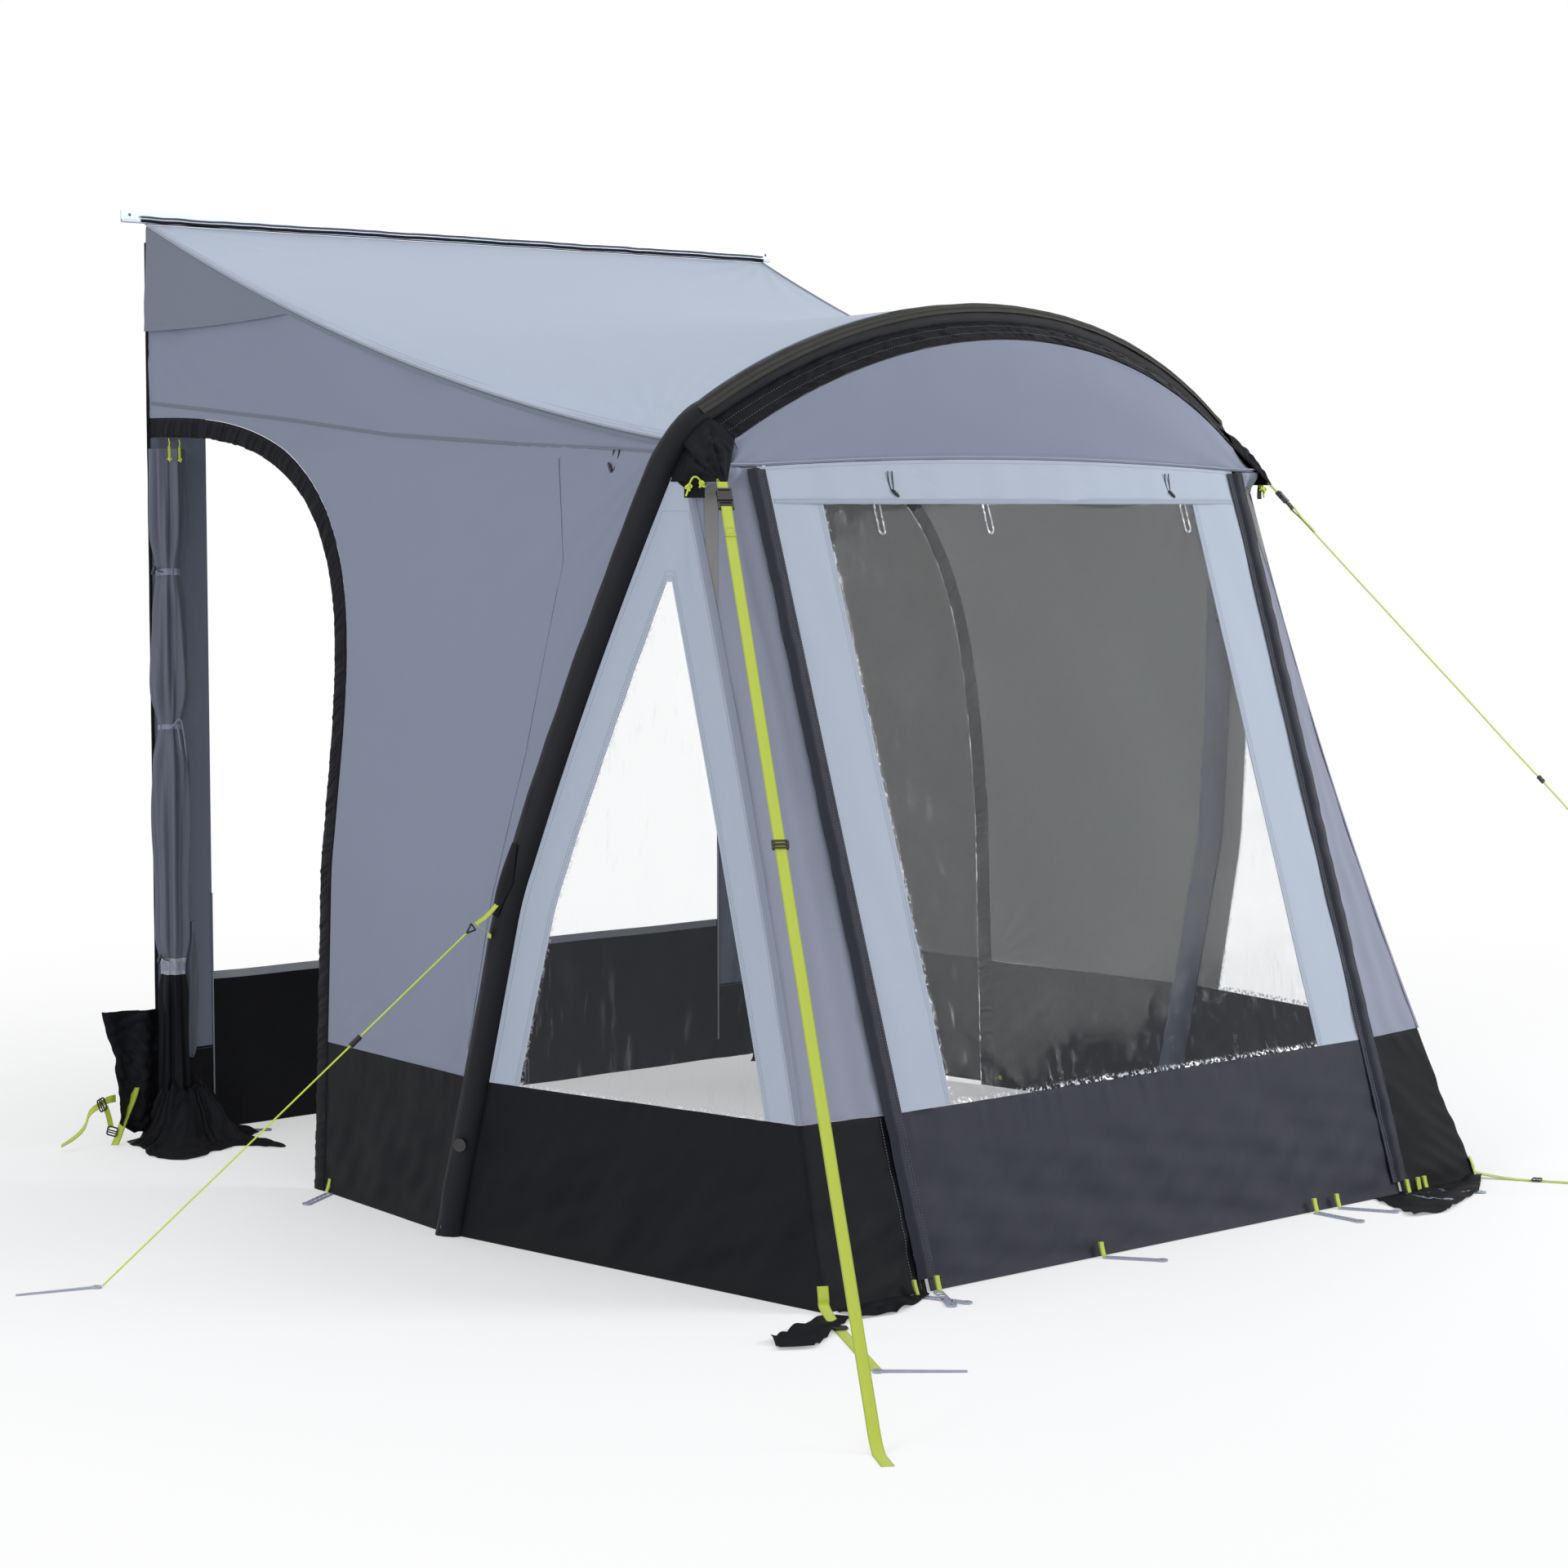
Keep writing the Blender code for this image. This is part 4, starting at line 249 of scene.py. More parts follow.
def cloth_finish(name, colour, rough=0.72, thread=0.0009, relief=0.00010, vary=0.06, sheen=0.0, soil=0.0, gloss=0.25,
                 foot=None):
    """Coated woven cloth: two crossed sines of the thread's size for the weave, broad noise for the
    unevenness of the dye, and fine noise that breaks both up."""
    f = Finish(name)
    where = f.sheet_place()
    parts = f.node("ShaderNodeSeparateXYZ", None, Vector=where)
    u, v = f.value(parts.outputs[0]), f.value(parts.outputs[1])
    turn = 2.0 * math.pi / thread
    warp, weft = (u * turn).sine(), (v * turn).sine()
    weave = warp * weft * 0.5 + 0.5
    spot = f.place()
    broad = f.noise(spot, 1.7, 3.0, 0.55)
    fine = f.noise(spot, 60.0, 2.0)
    uneven = (broad - 0.5) * (2.0 * vary) + (fine - 0.5) * (0.5 * vary)
    low, high = shade(colour, 1.0 - 2.2 * vary), shade(colour, 1.0 + 2.2 * vary)
    tint = f.mix((uneven * (1.0 / (4.4 * vary)) + 0.5).clip(), low, high)
    if soil > 0.0:
        height = f.value(f.node("ShaderNodeSeparateXYZ", None, Vector=f.place()).outputs[2])
        dirt = ((1.0 - height * 9.0).clip() * f.noise(spot, 22.0, 4.0, 0.6) * soil).clip()
        tint = f.mix(dirt, tint, (0.12, 0.11, 0.10))
    if foot:
        height = f.value(f.node("ShaderNodeSeparateXYZ", None, Vector=f.place()).outputs[2])
        tint = f.mix((foot[0] - height).above(0.0), tint, foot[1])
    tint = f.mix(weave * 0.10, tint, shade(colour, 0.72) if not foot else shade(foot[1], 0.9))
    rough_map = (fine - 0.5) * 0.10 + rough
    normal = f.bump(weave + fine * 0.6, 1.0, relief)
    shader = f.node("ShaderNodeBsdfPrincipled", None, Base_Color=tint, Roughness=rough_map, Normal=normal)
    shader.inputs["Sheen Weight"].default_value = sheen
    shader.inputs["Sheen Roughness"].default_value = 0.45
    shader.inputs["Specular IOR Level"].default_value = gloss
    return f.end(shader.outputs[0])


def webbing_finish(name, colour, dark):
    """Woven webbing: a herringbone of slanted ribs, with a darker line along each edge."""
    f = Finish(name)
    parts = f.node("ShaderNodeSeparateXYZ", None, Vector=f.sheet_place())
    u, v = f.value(parts.outputs[0]), f.value(parts.outputs[1])
    lean = (v - STRAP_WIDTH / 2.0).size()
    ribs = ((u + lean * 0.9) * (2.0 * math.pi / 0.0024)).sine() * 0.5 + 0.5
    edge = (lean - (STRAP_WIDTH / 2.0 - 0.0022)).above(0.0)
    tint = f.mix(ribs * 0.35, colour, dark)
    tint = f.mix(edge * 0.55, tint, dark)
    spot = f.noise(f.place(), 35.0, 3.0)
    tint = f.mix((spot - 0.35).clip() * 0.5, tint, shade(colour, 0.82))
    normal = f.bump(ribs, 1.0, 0.00035)
    shader = f.node("ShaderNodeBsdfPrincipled", None, Base_Color=tint, Roughness=0.62, Normal=normal)
    shader.inputs["Sheen Weight"].default_value = 0.15
    return f.end(shader.outputs[0])


def film_finish(name, tint, haze, gloss=0.06):
    """Clear film: see-through between its reflections, which grow towards grazing angles, with a little haze that
    follows faint scuffs. It also carries painted highlights: near-white specks along its foot and one side seam, and
    slanted partly opaque streaks near those edges."""
    f = Finish(name)
    spot = f.place()
    scuff = f.noise(f.place(1.0, (1.0, 1.0, 0.35)), 9.0, 5.0, 0.65)
    ripple = f.noise(f.place(1.0, (1.0, 1.0, 0.5)), 16.0, 4.0, 0.6)
    fine = f.noise(spot, 70.0, 3.0, 0.6)
    normal = f.bump(ripple + fine * 0.10, 1.0, 0.0016)
    edge = f.value(f.node("ShaderNodeLayerWeight", None, Blend=0.5, Normal=normal).outputs["Facing"]) ** 4.0
    clear = f.node("ShaderNodeBsdfTransparent", None, Color=(0.985, 0.988, 0.99, 1.0))
    parts = f.node("ShaderNodeSeparateXYZ", None, Vector=f.sheet_place())
    u, v = f.value(parts.outputs[0]), f.value(parts.outputs[1])
    # painted highlight: a band along the foot and one side seam where near-white specks are painted into the colour
    seam = (1.3 - v * 85.0).clip() + (1.0 - u * 90.0).clip() * 0.5
    painted_glint = ((f.noise(spot, 120.0, 2.0, 0.6) - 0.50) * 11.0).clip() * seam.clip()
    turned = f.node("ShaderNodeMapping", None, Vector=f.place(), Rotation=(0.0, 0.7, 0.0), Scale=(6.0, 6.0, 0.9))
    slant = f.noise(turned.outputs[0], 7.0, 4.0, 0.6)
    # painted highlight: slanted streaks near the foot and one side edge, where the film turns partly opaque
    painted_streak = ((slant - 0.58) * 2.4).clip() * ((1.0 - u * 4.0).clip() * 0.5 + (1.0 - v * 3.0).clip() * 0.5)
    share = (edge * 0.60 + (scuff - 0.55).clip() * 0.06 + haze + painted_glint * 0.80 + painted_streak * 0.5).clip()
    body = f.node("ShaderNodeBsdfPrincipled", None, Base_Color=f.mix(painted_glint, tint, (0.85, 0.88, 0.92)), Roughness=gloss,
                  Normal=normal)
    body.inputs["Specular IOR Level"].default_value = 0.8
    both = f.node("ShaderNodeMixShader", None, Fac=share)
    f.tree.links.new(clear.outputs[0], both.inputs[1])
    f.tree.links.new(body.outputs[0], both.inputs[2])
    return f.end(both.outputs[0])


def plastic_finish(name, colour, rough=0.42, relief=0.00005, vary=0.10):
    """Moulded plastic: fine spark texture, faint handling marks."""
    f = Finish(name)
    spot = f.place()
    grain, marks = f.noise(spot, 900.0, 2.0), f.noise(spot, 40.0, 4.0, 0.6)
    tint = f.mix(marks, shade(colour, 1.0 - vary), shade(colour, 1.0 + 2.0 * vary))
    normal = f.bump(grain, 1.0, relief)
    shader = f.node("ShaderNodeBsdfPrincipled", None, Base_Color=tint, Roughness=(marks - 0.5) * 0.2 + rough,
                    Normal=normal)
    return f.end(shader.outputs[0])


def alloy_finish(name, colour):
    """Drawn alloy: fine lines along the rail, uneven brightness."""
    f = Finish(name)
    lines = f.noise(f.place(1.0, (2.0, 900.0, 900.0)), 1.0, 3.0)
    marks = f.noise(f.place(), 14.0, 4.0, 0.6)
    tint = f.mix(marks, shade(colour, 0.88), shade(colour, 1.08))
    normal = f.bump(lines, 1.0, 0.00008)
    shader = f.node("ShaderNodeBsdfPrincipled", None, Base_Color=tint, Roughness=lines * 0.2 + 0.32,
                    Metallic=0.30, Normal=normal)
    return f.end(shader.outputs[0])


PALE = (0.420, 0.475, 0.570)
GREY = (0.235, 0.262, 0.345)
# inner faces: grey-olive cloth, with the colour raised as painted light for the light that comes through the cloth into
# the awning
INSIDE_PAINTED_LIGHT = (0.270, 0.275, 0.262)
DARK = (0.0082, 0.0087, 0.0115)
LEG = (0.0095, 0.0101, 0.0140)
PAINTED_LIT_DARK = (0.0215, 0.0235, 0.0360)      # dark cloth of the front: the sides' cloth with its colour made lighter as painted light where it faces the lamps, and with more gloss
LIME = (0.600, 0.715, 0.060)


def make_finishes():
    return {
        "pale": cloth_finish("pale_cloth", PALE, 0.66, vary=0.025, gloss=0.30),
        "pale_shade": cloth_finish("pale_hem_cloth", (0.36, 0.41, 0.50), 0.66, vary=0.03),
        "roof": cloth_finish("roof_cloth", (0.490, 0.555, 0.670), 0.60, vary=0.02, gloss=0.30),
        # painted shade: the corner flaps' colour is set darker than the wall's grey, for the shade that falls on them
        "flap": cloth_finish("flap_cloth_painted_shade", (0.190, 0.208, 0.262), 0.62, vary=0.04),
        "grey": cloth_finish("grey_cloth", GREY, 0.68, vary=0.035),
        "curtain": cloth_finish("curtain_cloth", (0.125, 0.138, 0.180), 0.68, vary=0.05),
        "grey_light": cloth_finish("corner_cloth", (0.265, 0.283, 0.365), 0.66, vary=0.03),
        "grey_tape": cloth_finish("wall_tape", (0.165, 0.180, 0.225), 0.62, vary=0.03),
        "grey_welt": cloth_finish("header_welt", (0.31, 0.34, 0.42), 0.62, vary=0.03),
        # painted light raises the inner faces' colour
        "inside": cloth_finish("coated_inner_face_painted_light", INSIDE_PAINTED_LIGHT, 0.70, vary=0.05),
        "dark": cloth_finish("dark_cloth", DARK, 0.55, vary=0.10, soil=0.03, gloss=0.09),
        "dark_inside": cloth_finish("dark_inner_face", (0.011, 0.0115, 0.014), 0.60, vary=0.12, gloss=0.08),
        # painted light: the front's copy of the dark cloth, lighter than the sides'
        "lit": cloth_finish("front_dark_cloth_painted_lit", PAINTED_LIT_DARK, 0.52, vary=0.03, soil=0.03, gloss=0.18),
        "leaf": cloth_finish("leaf_cloth", GREY, 0.68, vary=0.035, foot=(0.385, DARK)),
        "leaf_inside": cloth_finish("leaf_inner_face", (0.160, 0.160, 0.148), 0.70, vary=0.05, foot=(0.385, (0.014, 0.0145, 0.017))),
        "leg": cloth_finish("sleeve_cloth", LEG, 0.50, vary=0.08, gloss=0.16),
        "cover": cloth_finish("cover_cloth", (0.0190, 0.0210, 0.0310), 0.52, vary=0.08, gloss=0.18),
        "tape": cloth_finish("zip_tape", (0.046, 0.045, 0.036), 0.62, thread=0.0014, relief=0.0003, vary=0.10),
        "hem": cloth_finish("pale_hem", (0.36, 0.38, 0.43), 0.68, vary=0.05),
        "hem_dark": cloth_finish("bead_tape", (0.10, 0.105, 0.12), 0.68, vary=0.08),
        # painted shade: colour of the wedge laid on each corner where the cloth is doubled inside
        "painted_shade_wedge": cloth_finish("doubled_cloth_painted_shade", (0.235, 0.235, 0.230), 0.68, vary=0.05),
        "thread": plastic_finish("pale_thread", (0.30, 0.32, 0.38), 0.70),
        "dark_thread": plastic_finish("dark_thread", (0.02, 0.02, 0.024), 0.70),
        "lime": webbing_finish("lime_webbing", LIME, (0.25, 0.31, 0.05)),
        "cord": plastic_finish("lime_cord", LIME, 0.62, relief=0.0003),
        "black_cord": plastic_finish("black_cord", (0.012, 0.012, 0.014), 0.66),
        "pocket": cloth_finish("inner_pocket", (0.115, 0.130, 0.175), 0.66, vary=0.05),
        "film": film_finish("clear_film", (0.40, 0.42, 0.46), 0.030),
        "clear_tape": film_finish("clear_tape", (0.30, 0.33, 0.38), 0.16, 0.20),
        "plastic": plastic_finish("black_plastic", (0.013, 0.013, 0.015), 0.38),
        "clear": plastic_finish("grey_plastic", (0.36, 0.40, 0.48), 0.30),
        "rail": alloy_finish("rail_alloy", (0.70, 0.78, 0.93)),
        "steel": alloy_finish("screw_steel", (0.16, 0.17, 0.19)),
        "tube": plastic_finish("tube_film", (0.09, 0.10, 0.12), 0.45),
    }


# Mesh tools

def unit(v):
    v = np.asarray(v, float)
    return v / np.linalg.norm(v, axis=-1, keepdims=True)


def lerp(a, b, t):
    return a + (b - a) * t


def smooth(t):
    t = np.clip(t, 0.0, 1.0)
    return t * t * (3.0 - 2.0 * t)


def mirror(points, sign):
    return np.asarray(points, float) * np.array([sign, 1.0, 1.0])


def noise1(t, seed, length):
    """Smooth random curve: random heights every length, joined by smoothsteps."""
    t = np.asarray(t, float) / length + 1000.0
    low = np.floor(t).astype(int)
    heights = np.random.default_rng(seed).uniform(-1.0, 1.0, 4096)
    return lerp(heights[low % 4096], heights[(low + 1) % 4096], smooth(t - low))


def waves(u, v, seed, length, count=9, stretch=1.0):
    """Sum of plane waves whose headings, lengths and phases are random; stretch draws them out
    along u. Its usual size is 1."""
    rng = np.random.default_rng(seed)
    total = np.zeros_like(np.asarray(u, float))
    for _ in range(count):
        turn, size, phase = rng.uniform(0, 2 * math.pi), length * rng.uniform(0.6, 1.7), rng.uniform(0, 6.28)
        total = total + np.sin(2 * math.pi * (u * math.cos(turn) / stretch + v * math.sin(turn)) / size + phase)
    return total / math.sqrt(count / 2.0)


def puckers(along, away, seed, length=0.035, reach=0.05):
    """Gathers square to a seam: a random curve along it that dies away exponentially."""
    near, far = noise1(along, seed, length), noise1(along, seed + 1, 2.3 * length)
    shift = noise1(along, seed + 2, 5.0 * length)
    return (0.65 * near + 0.5 * far) * np.exp(-away / (reach * (1.0 + 0.5 * shift)))


def spans(points):
    """Metres along the second and the first direction of a grid, from its first corner."""
    across = np.linalg.norm(np.diff(points, axis=1), axis=2)
    down = np.linalg.norm(np.diff(points, axis=0), axis=2)
    u = np.concatenate([np.zeros((points.shape[0], 1)), np.cumsum(across, axis=1)], axis=1)
    v = np.concatenate([np.zeros((1, points.shape[1])), np.cumsum(down, axis=0)], axis=0)
    return u, v


def normals_of(points, hint, wrap=False):
    """Unit normals of a grid from the cross product of its two slopes, towards the hint."""
    if wrap:
        padded = np.concatenate([points[:, -1:], points, points[:, :1]], axis=1)
        across = np.gradient(padded, axis=1)[:, 1:-1]
    else:
        across = np.gradient(points, axis=1)
    down = np.gradient(points, axis=0)
    normal = np.cross(down, across)
    size = np.linalg.norm(normal, axis=2, keepdims=True)
    normal = normal / np.maximum(size, 1e-12)
    if np.sum(normal * np.broadcast_to(hint, normal.shape)) < 0.0:
        normal = -normal
    return normal


def resample(path, count):
    """The path at equal steps along its length."""
    path = np.asarray(path, float)
    steps = np.concatenate([[0.0], np.cumsum(np.linalg.norm(np.diff(path, axis=0), axis=1))])
    where = np.linspace(0.0, steps[-1], count)
    return np.stack([np.interp(where, steps, path[:, k]) for k in range(path.shape[1])], axis=1)


def soften(path, passes=2):
    """The path with its inner points moved to the mean of their neighbours and themselves."""
    path = np.array(path, float)
    for _ in range(passes):
        path[1:-1] = path[1:-1] * 0.5 + (path[:-2] + path[2:]) * 0.25
    return path


def quads(rows, columns, start=0, wrap=False):
    """Corner numbers of a grid's faces, as one array."""
    i, j = np.meshgrid(np.arange(rows - 1), np.arange(columns if wrap else columns - 1), indexing="ij")
    k = (j + 1) % columns
    faces = np.stack([i * columns + j, i * columns + k, (i + 1) * columns + k, (i + 1) * columns + j], axis=-1)
    return faces.reshape(-1, 4) + start


FINISH = make_finishes()
AREAS = {}


def piece(name, points, faces, finishes, body, which=None, uv=None, sharp=50.0, shift=True):
    """A mesh at the origin whose place is in its points; it rides on a body."""
    points = np.asarray(points, float).reshape(-1, 3)
    if shift:
        points = points + SHIFT
    mesh = bpy.data.meshes.new(name)
    mesh.from_pydata(points, [], faces if isinstance(faces, list) else faces.tolist())
    finishes = [finishes] if isinstance(finishes, str) else finishes
    for finish in finishes:
        mesh.materials.append(FINISH[finish])
    if which is not None:
        mesh.polygons.foreach_set("material_index", np.asarray(which, np.int32))
    if uv is not None:
        corners = np.zeros(len(mesh.loops), np.int32)
        mesh.loops.foreach_get("vertex_index", corners)
        layer = mesh.uv_layers.new(name="cloth")
        layer.data.foreach_set("uv", np.asarray(uv, np.float32).reshape(-1, 2)[corners].ravel())
    mesh.shade_smooth()
    mesh.set_sharp_from_angle(angle=math.radians(sharp))
    mesh.validate()
    made = bpy.data.objects.new(name, mesh)
    bpy.context.scene.collection.objects.link(made)
    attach(made, body)
    return made


def cloth(name, points, hint, outer, inner, body, thick=CLOTH, floor=None, sheet=None, sharp=50.0,
          back=None):
    """Closed cloth: the grid is its outer face, the inner face lies thick behind it along the
    normals or where back says, and a rim joins them. The map holds metres along and across."""
    points = np.asarray(points, float)
    rows, columns = points.shape[:2]
    normal = normals_of(points, hint)
    back = points - normal * thick if back is None else np.array(back, float)
    front = points.copy()
    if floor is not None:
        back[..., 2] = np.maximum(back[..., 2], floor)
        front[..., 2] = np.maximum(front[..., 2], floor)
    count = rows * columns
    outer_faces, inner_faces = quads(rows, columns), quads(rows, columns, count)
    rim = np.concatenate([np.arange(columns), np.arange(1, rows) * columns + columns - 1,
                          (rows - 1) * columns + np.arange(columns - 2, -1, -1),
                          np.arange(rows - 2, 0, -1) * columns])
    after = np.roll(rim, -1)
    edge = np.stack([after, rim, rim + count, after + count], axis=1)
    grid_normal = np.cross(points[1:, :-1] - points[:-1, :-1], points[:-1, 1:] - points[:-1, :-1])
    if np.sum(grid_normal * normal[:-1, :-1]) > 0.0:
        outer_faces, edge = outer_faces[:, ::-1], edge[:, ::-1]
    else:
        inner_faces = inner_faces[:, ::-1]
    faces = np.concatenate([outer_faces, inner_faces, edge])
    which = np.concatenate([np.zeros(len(outer_faces)), np.ones(len(inner_faces)), np.zeros(len(edge))])
    u, v = spans(points)
    uv = np.stack([u, v], axis=-1).reshape(-1, 2)
    made = piece(name, np.concatenate([front.reshape(-1, 3), back.reshape(-1, 3)]), faces, [outer, inner], body,
                 which, np.concatenate([uv, uv]), sharp)
    if sheet:
        declare(made, points)
    return made


def declare(made, points):
    """Records a piece as a sheet in AREAS: its length is the longer span of the grid it is given, wrinkles included,
    and its width that grid's area over the length.
    """
    a = np.cross(points[1:, :-1] - points[:-1, :-1], points[:-1, 1:] - points[:-1, :-1])
    b = np.cross(points[1:, :-1] - points[1:, 1:], points[:-1, 1:] - points[1:, 1:])
    area = float(np.linalg.norm(a, axis=2).sum() + np.linalg.norm(b, axis=2).sum()) / 2.0
    u, v = spans(points)
    length = max(float(u[:, -1].max()), float(v[-1].max()))
    width = area / length
    AREAS[made.name] = (round(width, 3), round(length, 3))


def rings_along(path, radius, sides, across=None):
    """Rings of a tube: each is its centre plus radius times a circle square to the path. The side
    direction is carried along the path, or comes from the given across direction."""
    path = np.asarray(path, float)
    ahead = unit(np.gradient(path, axis=0))
    if across is None:
        side = np.zeros_like(path)
        first = np.cross(ahead[0], (0.0, 0.0, 1.0))
        if np.linalg.norm(first) < 1e-3:
            first = np.cross(ahead[0], (0.0, 1.0, 0.0))
        side[0] = unit(first)
        for k in range(1, len(path)):
            side[k] = unit(side[k - 1] - ahead[k] * (side[k - 1] @ ahead[k]))
        other = np.cross(ahead, side)
    else:
        other = np.broadcast_to(across, path.shape)
        side = unit(np.cross(ahead, other))
    turns = np.linspace(0.0, 2.0 * math.pi, sides, endpoint=False)
    radius = np.broadcast_to(radius, (len(path), sides)) if np.ndim(radius) == 2 else \
        np.broadcast_to(np.reshape(radius, (-1, 1)), (len(path), sides))
    return path[:, None] + radius[..., None] * (np.cos(turns)[None, :, None] * side[:, None]
                                               + np.sin(turns)[None, :, None] * other[:, None])


def tube(name, path, radius, sides, finish, body, across=None):
    """Closed round tube along a path, with flat ends."""
    rings = rings_along(path, radius, sides, across)
    rows = len(rings)
    faces = quads(rows, sides, 0, True)
    first, last = rings[0] - rings[0].mean(0), rings[1].mean(0) - rings[0].mean(0)
    turned = np.cross(first[0], first[1]) @ last > 0.0
    if not turned:
        faces = faces[:, ::-1]
    ends = [list(range(sides)), list(range((rows - 1) * sides, rows * sides))]
    ends = [ends[0][::-1], ends[1]] if turned else [ends[0], ends[1][::-1]]
    where = spans(rings)
    uv = np.stack([where[1], where[0]], axis=-1)
    return piece(name, rings, faces.tolist() + ends, finish, body, None, uv)


def ribbon_grid(path, across, width, columns=5):
    """Grid of a flat band: the path plus shares of its width along the across direction."""
    path, across = np.asarray(path, float), np.broadcast_to(across, np.asarray(path).shape)
    shares = np.linspace(-0.5, 0.5, columns)
    return path[:, None] + shares[None, :, None] * width * across[:, None]


def stitches(name, path, normal, finish, body, length=0.0042, space=0.0026, width=0.0010, proud=0.0005):
    """Row of sewn stitches: one low six-sided bead for each step along the path, all in one mesh.
    Each bead's points are the middle of its step plus fixed shares of its length, width and rise."""
    path, normal = np.asarray(path, float), np.broadcast_to(normal, np.asarray(path).shape)
    steps = np.concatenate([[0.0], np.cumsum(np.linalg.norm(np.diff(path, axis=0), axis=1))])
    middles = np.arange(space, steps[-1] - length, length + space) + length / 2.0
    at = np.stack([np.interp(middles, steps, path[:, k]) for k in range(3)], axis=1)
    ahead = np.stack([np.interp(middles + 1e-4, steps, path[:, k]) for k in range(3)], axis=1) - at
    ahead = unit(ahead)
    up = unit(np.stack([np.interp(middles, steps, normal[:, k]) for k in range(3)], axis=1))
    side = unit(np.cross(up, ahead))
    shape = np.array([(-0.5, 0.0, 0.0), (0.5, 0.0, 0.0), (-0.3, 0.5, 0.25), (0.3, 0.5, 0.25), (-0.3, -0.5, 0.25),
                      (0.3, -0.5, 0.25), (-0.25, 0.0, 1.0), (0.25, 0.0, 1.0)])
    points = (at[:, None] + shape[None, :, :1] * length * ahead[:, None] + shape[None, :, 1:2] * width * side[:, None]
              + shape[None, :, 2:] * proud * 2.0 * up[:, None] - up[:, None] * proud * 0.3)
    bead = np.array([(0, 6, 2), (1, 3, 7), (2, 6, 7), (2, 7, 3), (0, 4, 6), (1, 7, 5), (4, 5, 7), (4, 7, 6),
                     (0, 2, 4), (1, 5, 3), (2, 3, 5), (2, 5, 4)])
    faces = (np.arange(len(at))[:, None, None] * 8 + bead[None]).reshape(-1, 3)
    return piece(name, points, faces, finish, body)


# Where the cloth runs

def fillet(before, corner, after, radius, count):
    """Arc that rounds a corner: spokes from the arc's centre turned through equal shares."""
    into, out = unit(corner - before), unit(after - corner)
    turn = math.acos(max(-1.0, min(1.0, float(into @ out))))
    reach = radius * math.tan(turn / 2.0)
    start = corner - into * reach
    centre = start + unit(out - into * (into @ out)) * radius
    spokes, other = start - centre, corner + out * reach - centre
    s = np.linspace(0.0, 1.0, count)[:, None]
    return centre + (np.sin((1 - s) * turn) * spokes + np.sin(s * turn) * other) / math.sin(turn)


def arch_half(count=260):
    """Half width and height along the arch's centre line, from the ground to the top: a leg with a
    knee, a small bow, a rounded shoulder and a circle for the top."""
    foot, knee = np.array([ARCH_FOOT_HALF, 0.0]), np.array([ARCH_KNEE_HALF, ARCH_KNEE_Z])
    middle = ARCH_TOP_Z - ARCH_TOP_RADIUS
    shoulder = np.array([ARCH_SHOULDER_HALF, middle + math.sqrt(ARCH_TOP_RADIUS ** 2 - ARCH_SHOULDER_HALF ** 2)])
    lean = math.asin(ARCH_SHOULDER_HALF / ARCH_TOP_RADIUS)
    tangent = np.array([-math.cos(lean), math.sin(lean)])
    low = fillet(foot, knee, shoulder, KNEE_FILLET, 12)
    high = fillet(knee, shoulder, shoulder + tangent, SHOULDER_FILLET, 24)
    s = np.linspace(0.0, 1.0, 40)[1:-1, None]
    leg = lerp(low[-1], high[0], s) + np.concatenate([4.0 * LEG_BULGE * s * (1.0 - s), 0.0 * s], axis=1)
    turns = np.linspace(math.asin(high[-1][0] / ARCH_TOP_RADIUS), 0.0, 60)[1:]
    top = np.stack([ARCH_TOP_RADIUS * np.sin(turns), middle + ARCH_TOP_RADIUS * np.cos(turns)], axis=1)
    start = lerp(foot, low[0], np.linspace(0.0, 1.0, 20)[:-1, None])
    return resample(np.concatenate([start, low, leg, high, top]), count)


ARCH_HALF = arch_half()
ROOF_SIDE_HALF = float(np.interp(ROOF_SIDE_Z, ARCH_HALF[:, 1], ARCH_HALF[:, 0]))


def arch_y(z):
    return ARCH_FOOT_Y - ARCH_LEAN * z


def leg_half(z):
    return np.maximum(np.interp(z, ARCH_HALF[:, 1], ARCH_HALF[:, 0]), ROOF_SIDE_HALF)


def arch_line(count=520):
    """The arch's centre line from the left foot over the top to the right foot."""
    flat = np.concatenate([ARCH_HALF * np.array([-1.0, 1.0]), ARCH_HALF[-2::-1]])
    line = np.stack([flat[:, 0], arch_y(flat[:, 1]), flat[:, 1]], axis=1)
    return resample(line, count)


def radial_of(line):
    """Outward direction in the arch's plane at each point of its line."""
    ahead = unit(np.gradient(line, axis=0))
    out = -np.cross(ahead, ARCH_NORMAL)
    return out if out[len(out) // 2][2] > 0.0 else -out


def top_part(lowest, count):
    """The arch's line above one height, with its outward directions."""
    line = arch_line(1400)
    out = radial_of(line)
    keep = line[:, 2] >= lowest
    both = resample(np.concatenate([line[keep], out[keep]], axis=1), count)
    return both[:, :3], unit(both[:, 3:])


def leg_side(z, forward):
    """Point beside the right leg's sleeve at that height: behind it for -1, before it for +1."""
    z = np.asarray(z, float)
    reach = SLEEVE_RADIUS + GAP
    at = z + forward * ARCH_NORMAL[2] * reach
    return np.stack([leg_half(at), arch_y(at) - forward * ARCH_NORMAL[1] * reach, z], axis=-1)


def wall_half(y, z):
    share = np.clip(y / arch_y(z), 0.0, 1.0)
    return lerp(REAR_HALF, leg_half(z), share)


def on_wall(y, z, proud=0.0):
    """Point of the right wall: its half width is a straight line from the rear edge to the leg."""
    y, z = np.broadcast_arrays(np.asarray(y, float), np.asarray(z, float))
    return np.stack([wall_half(y, z) + proud, y, z], axis=-1)


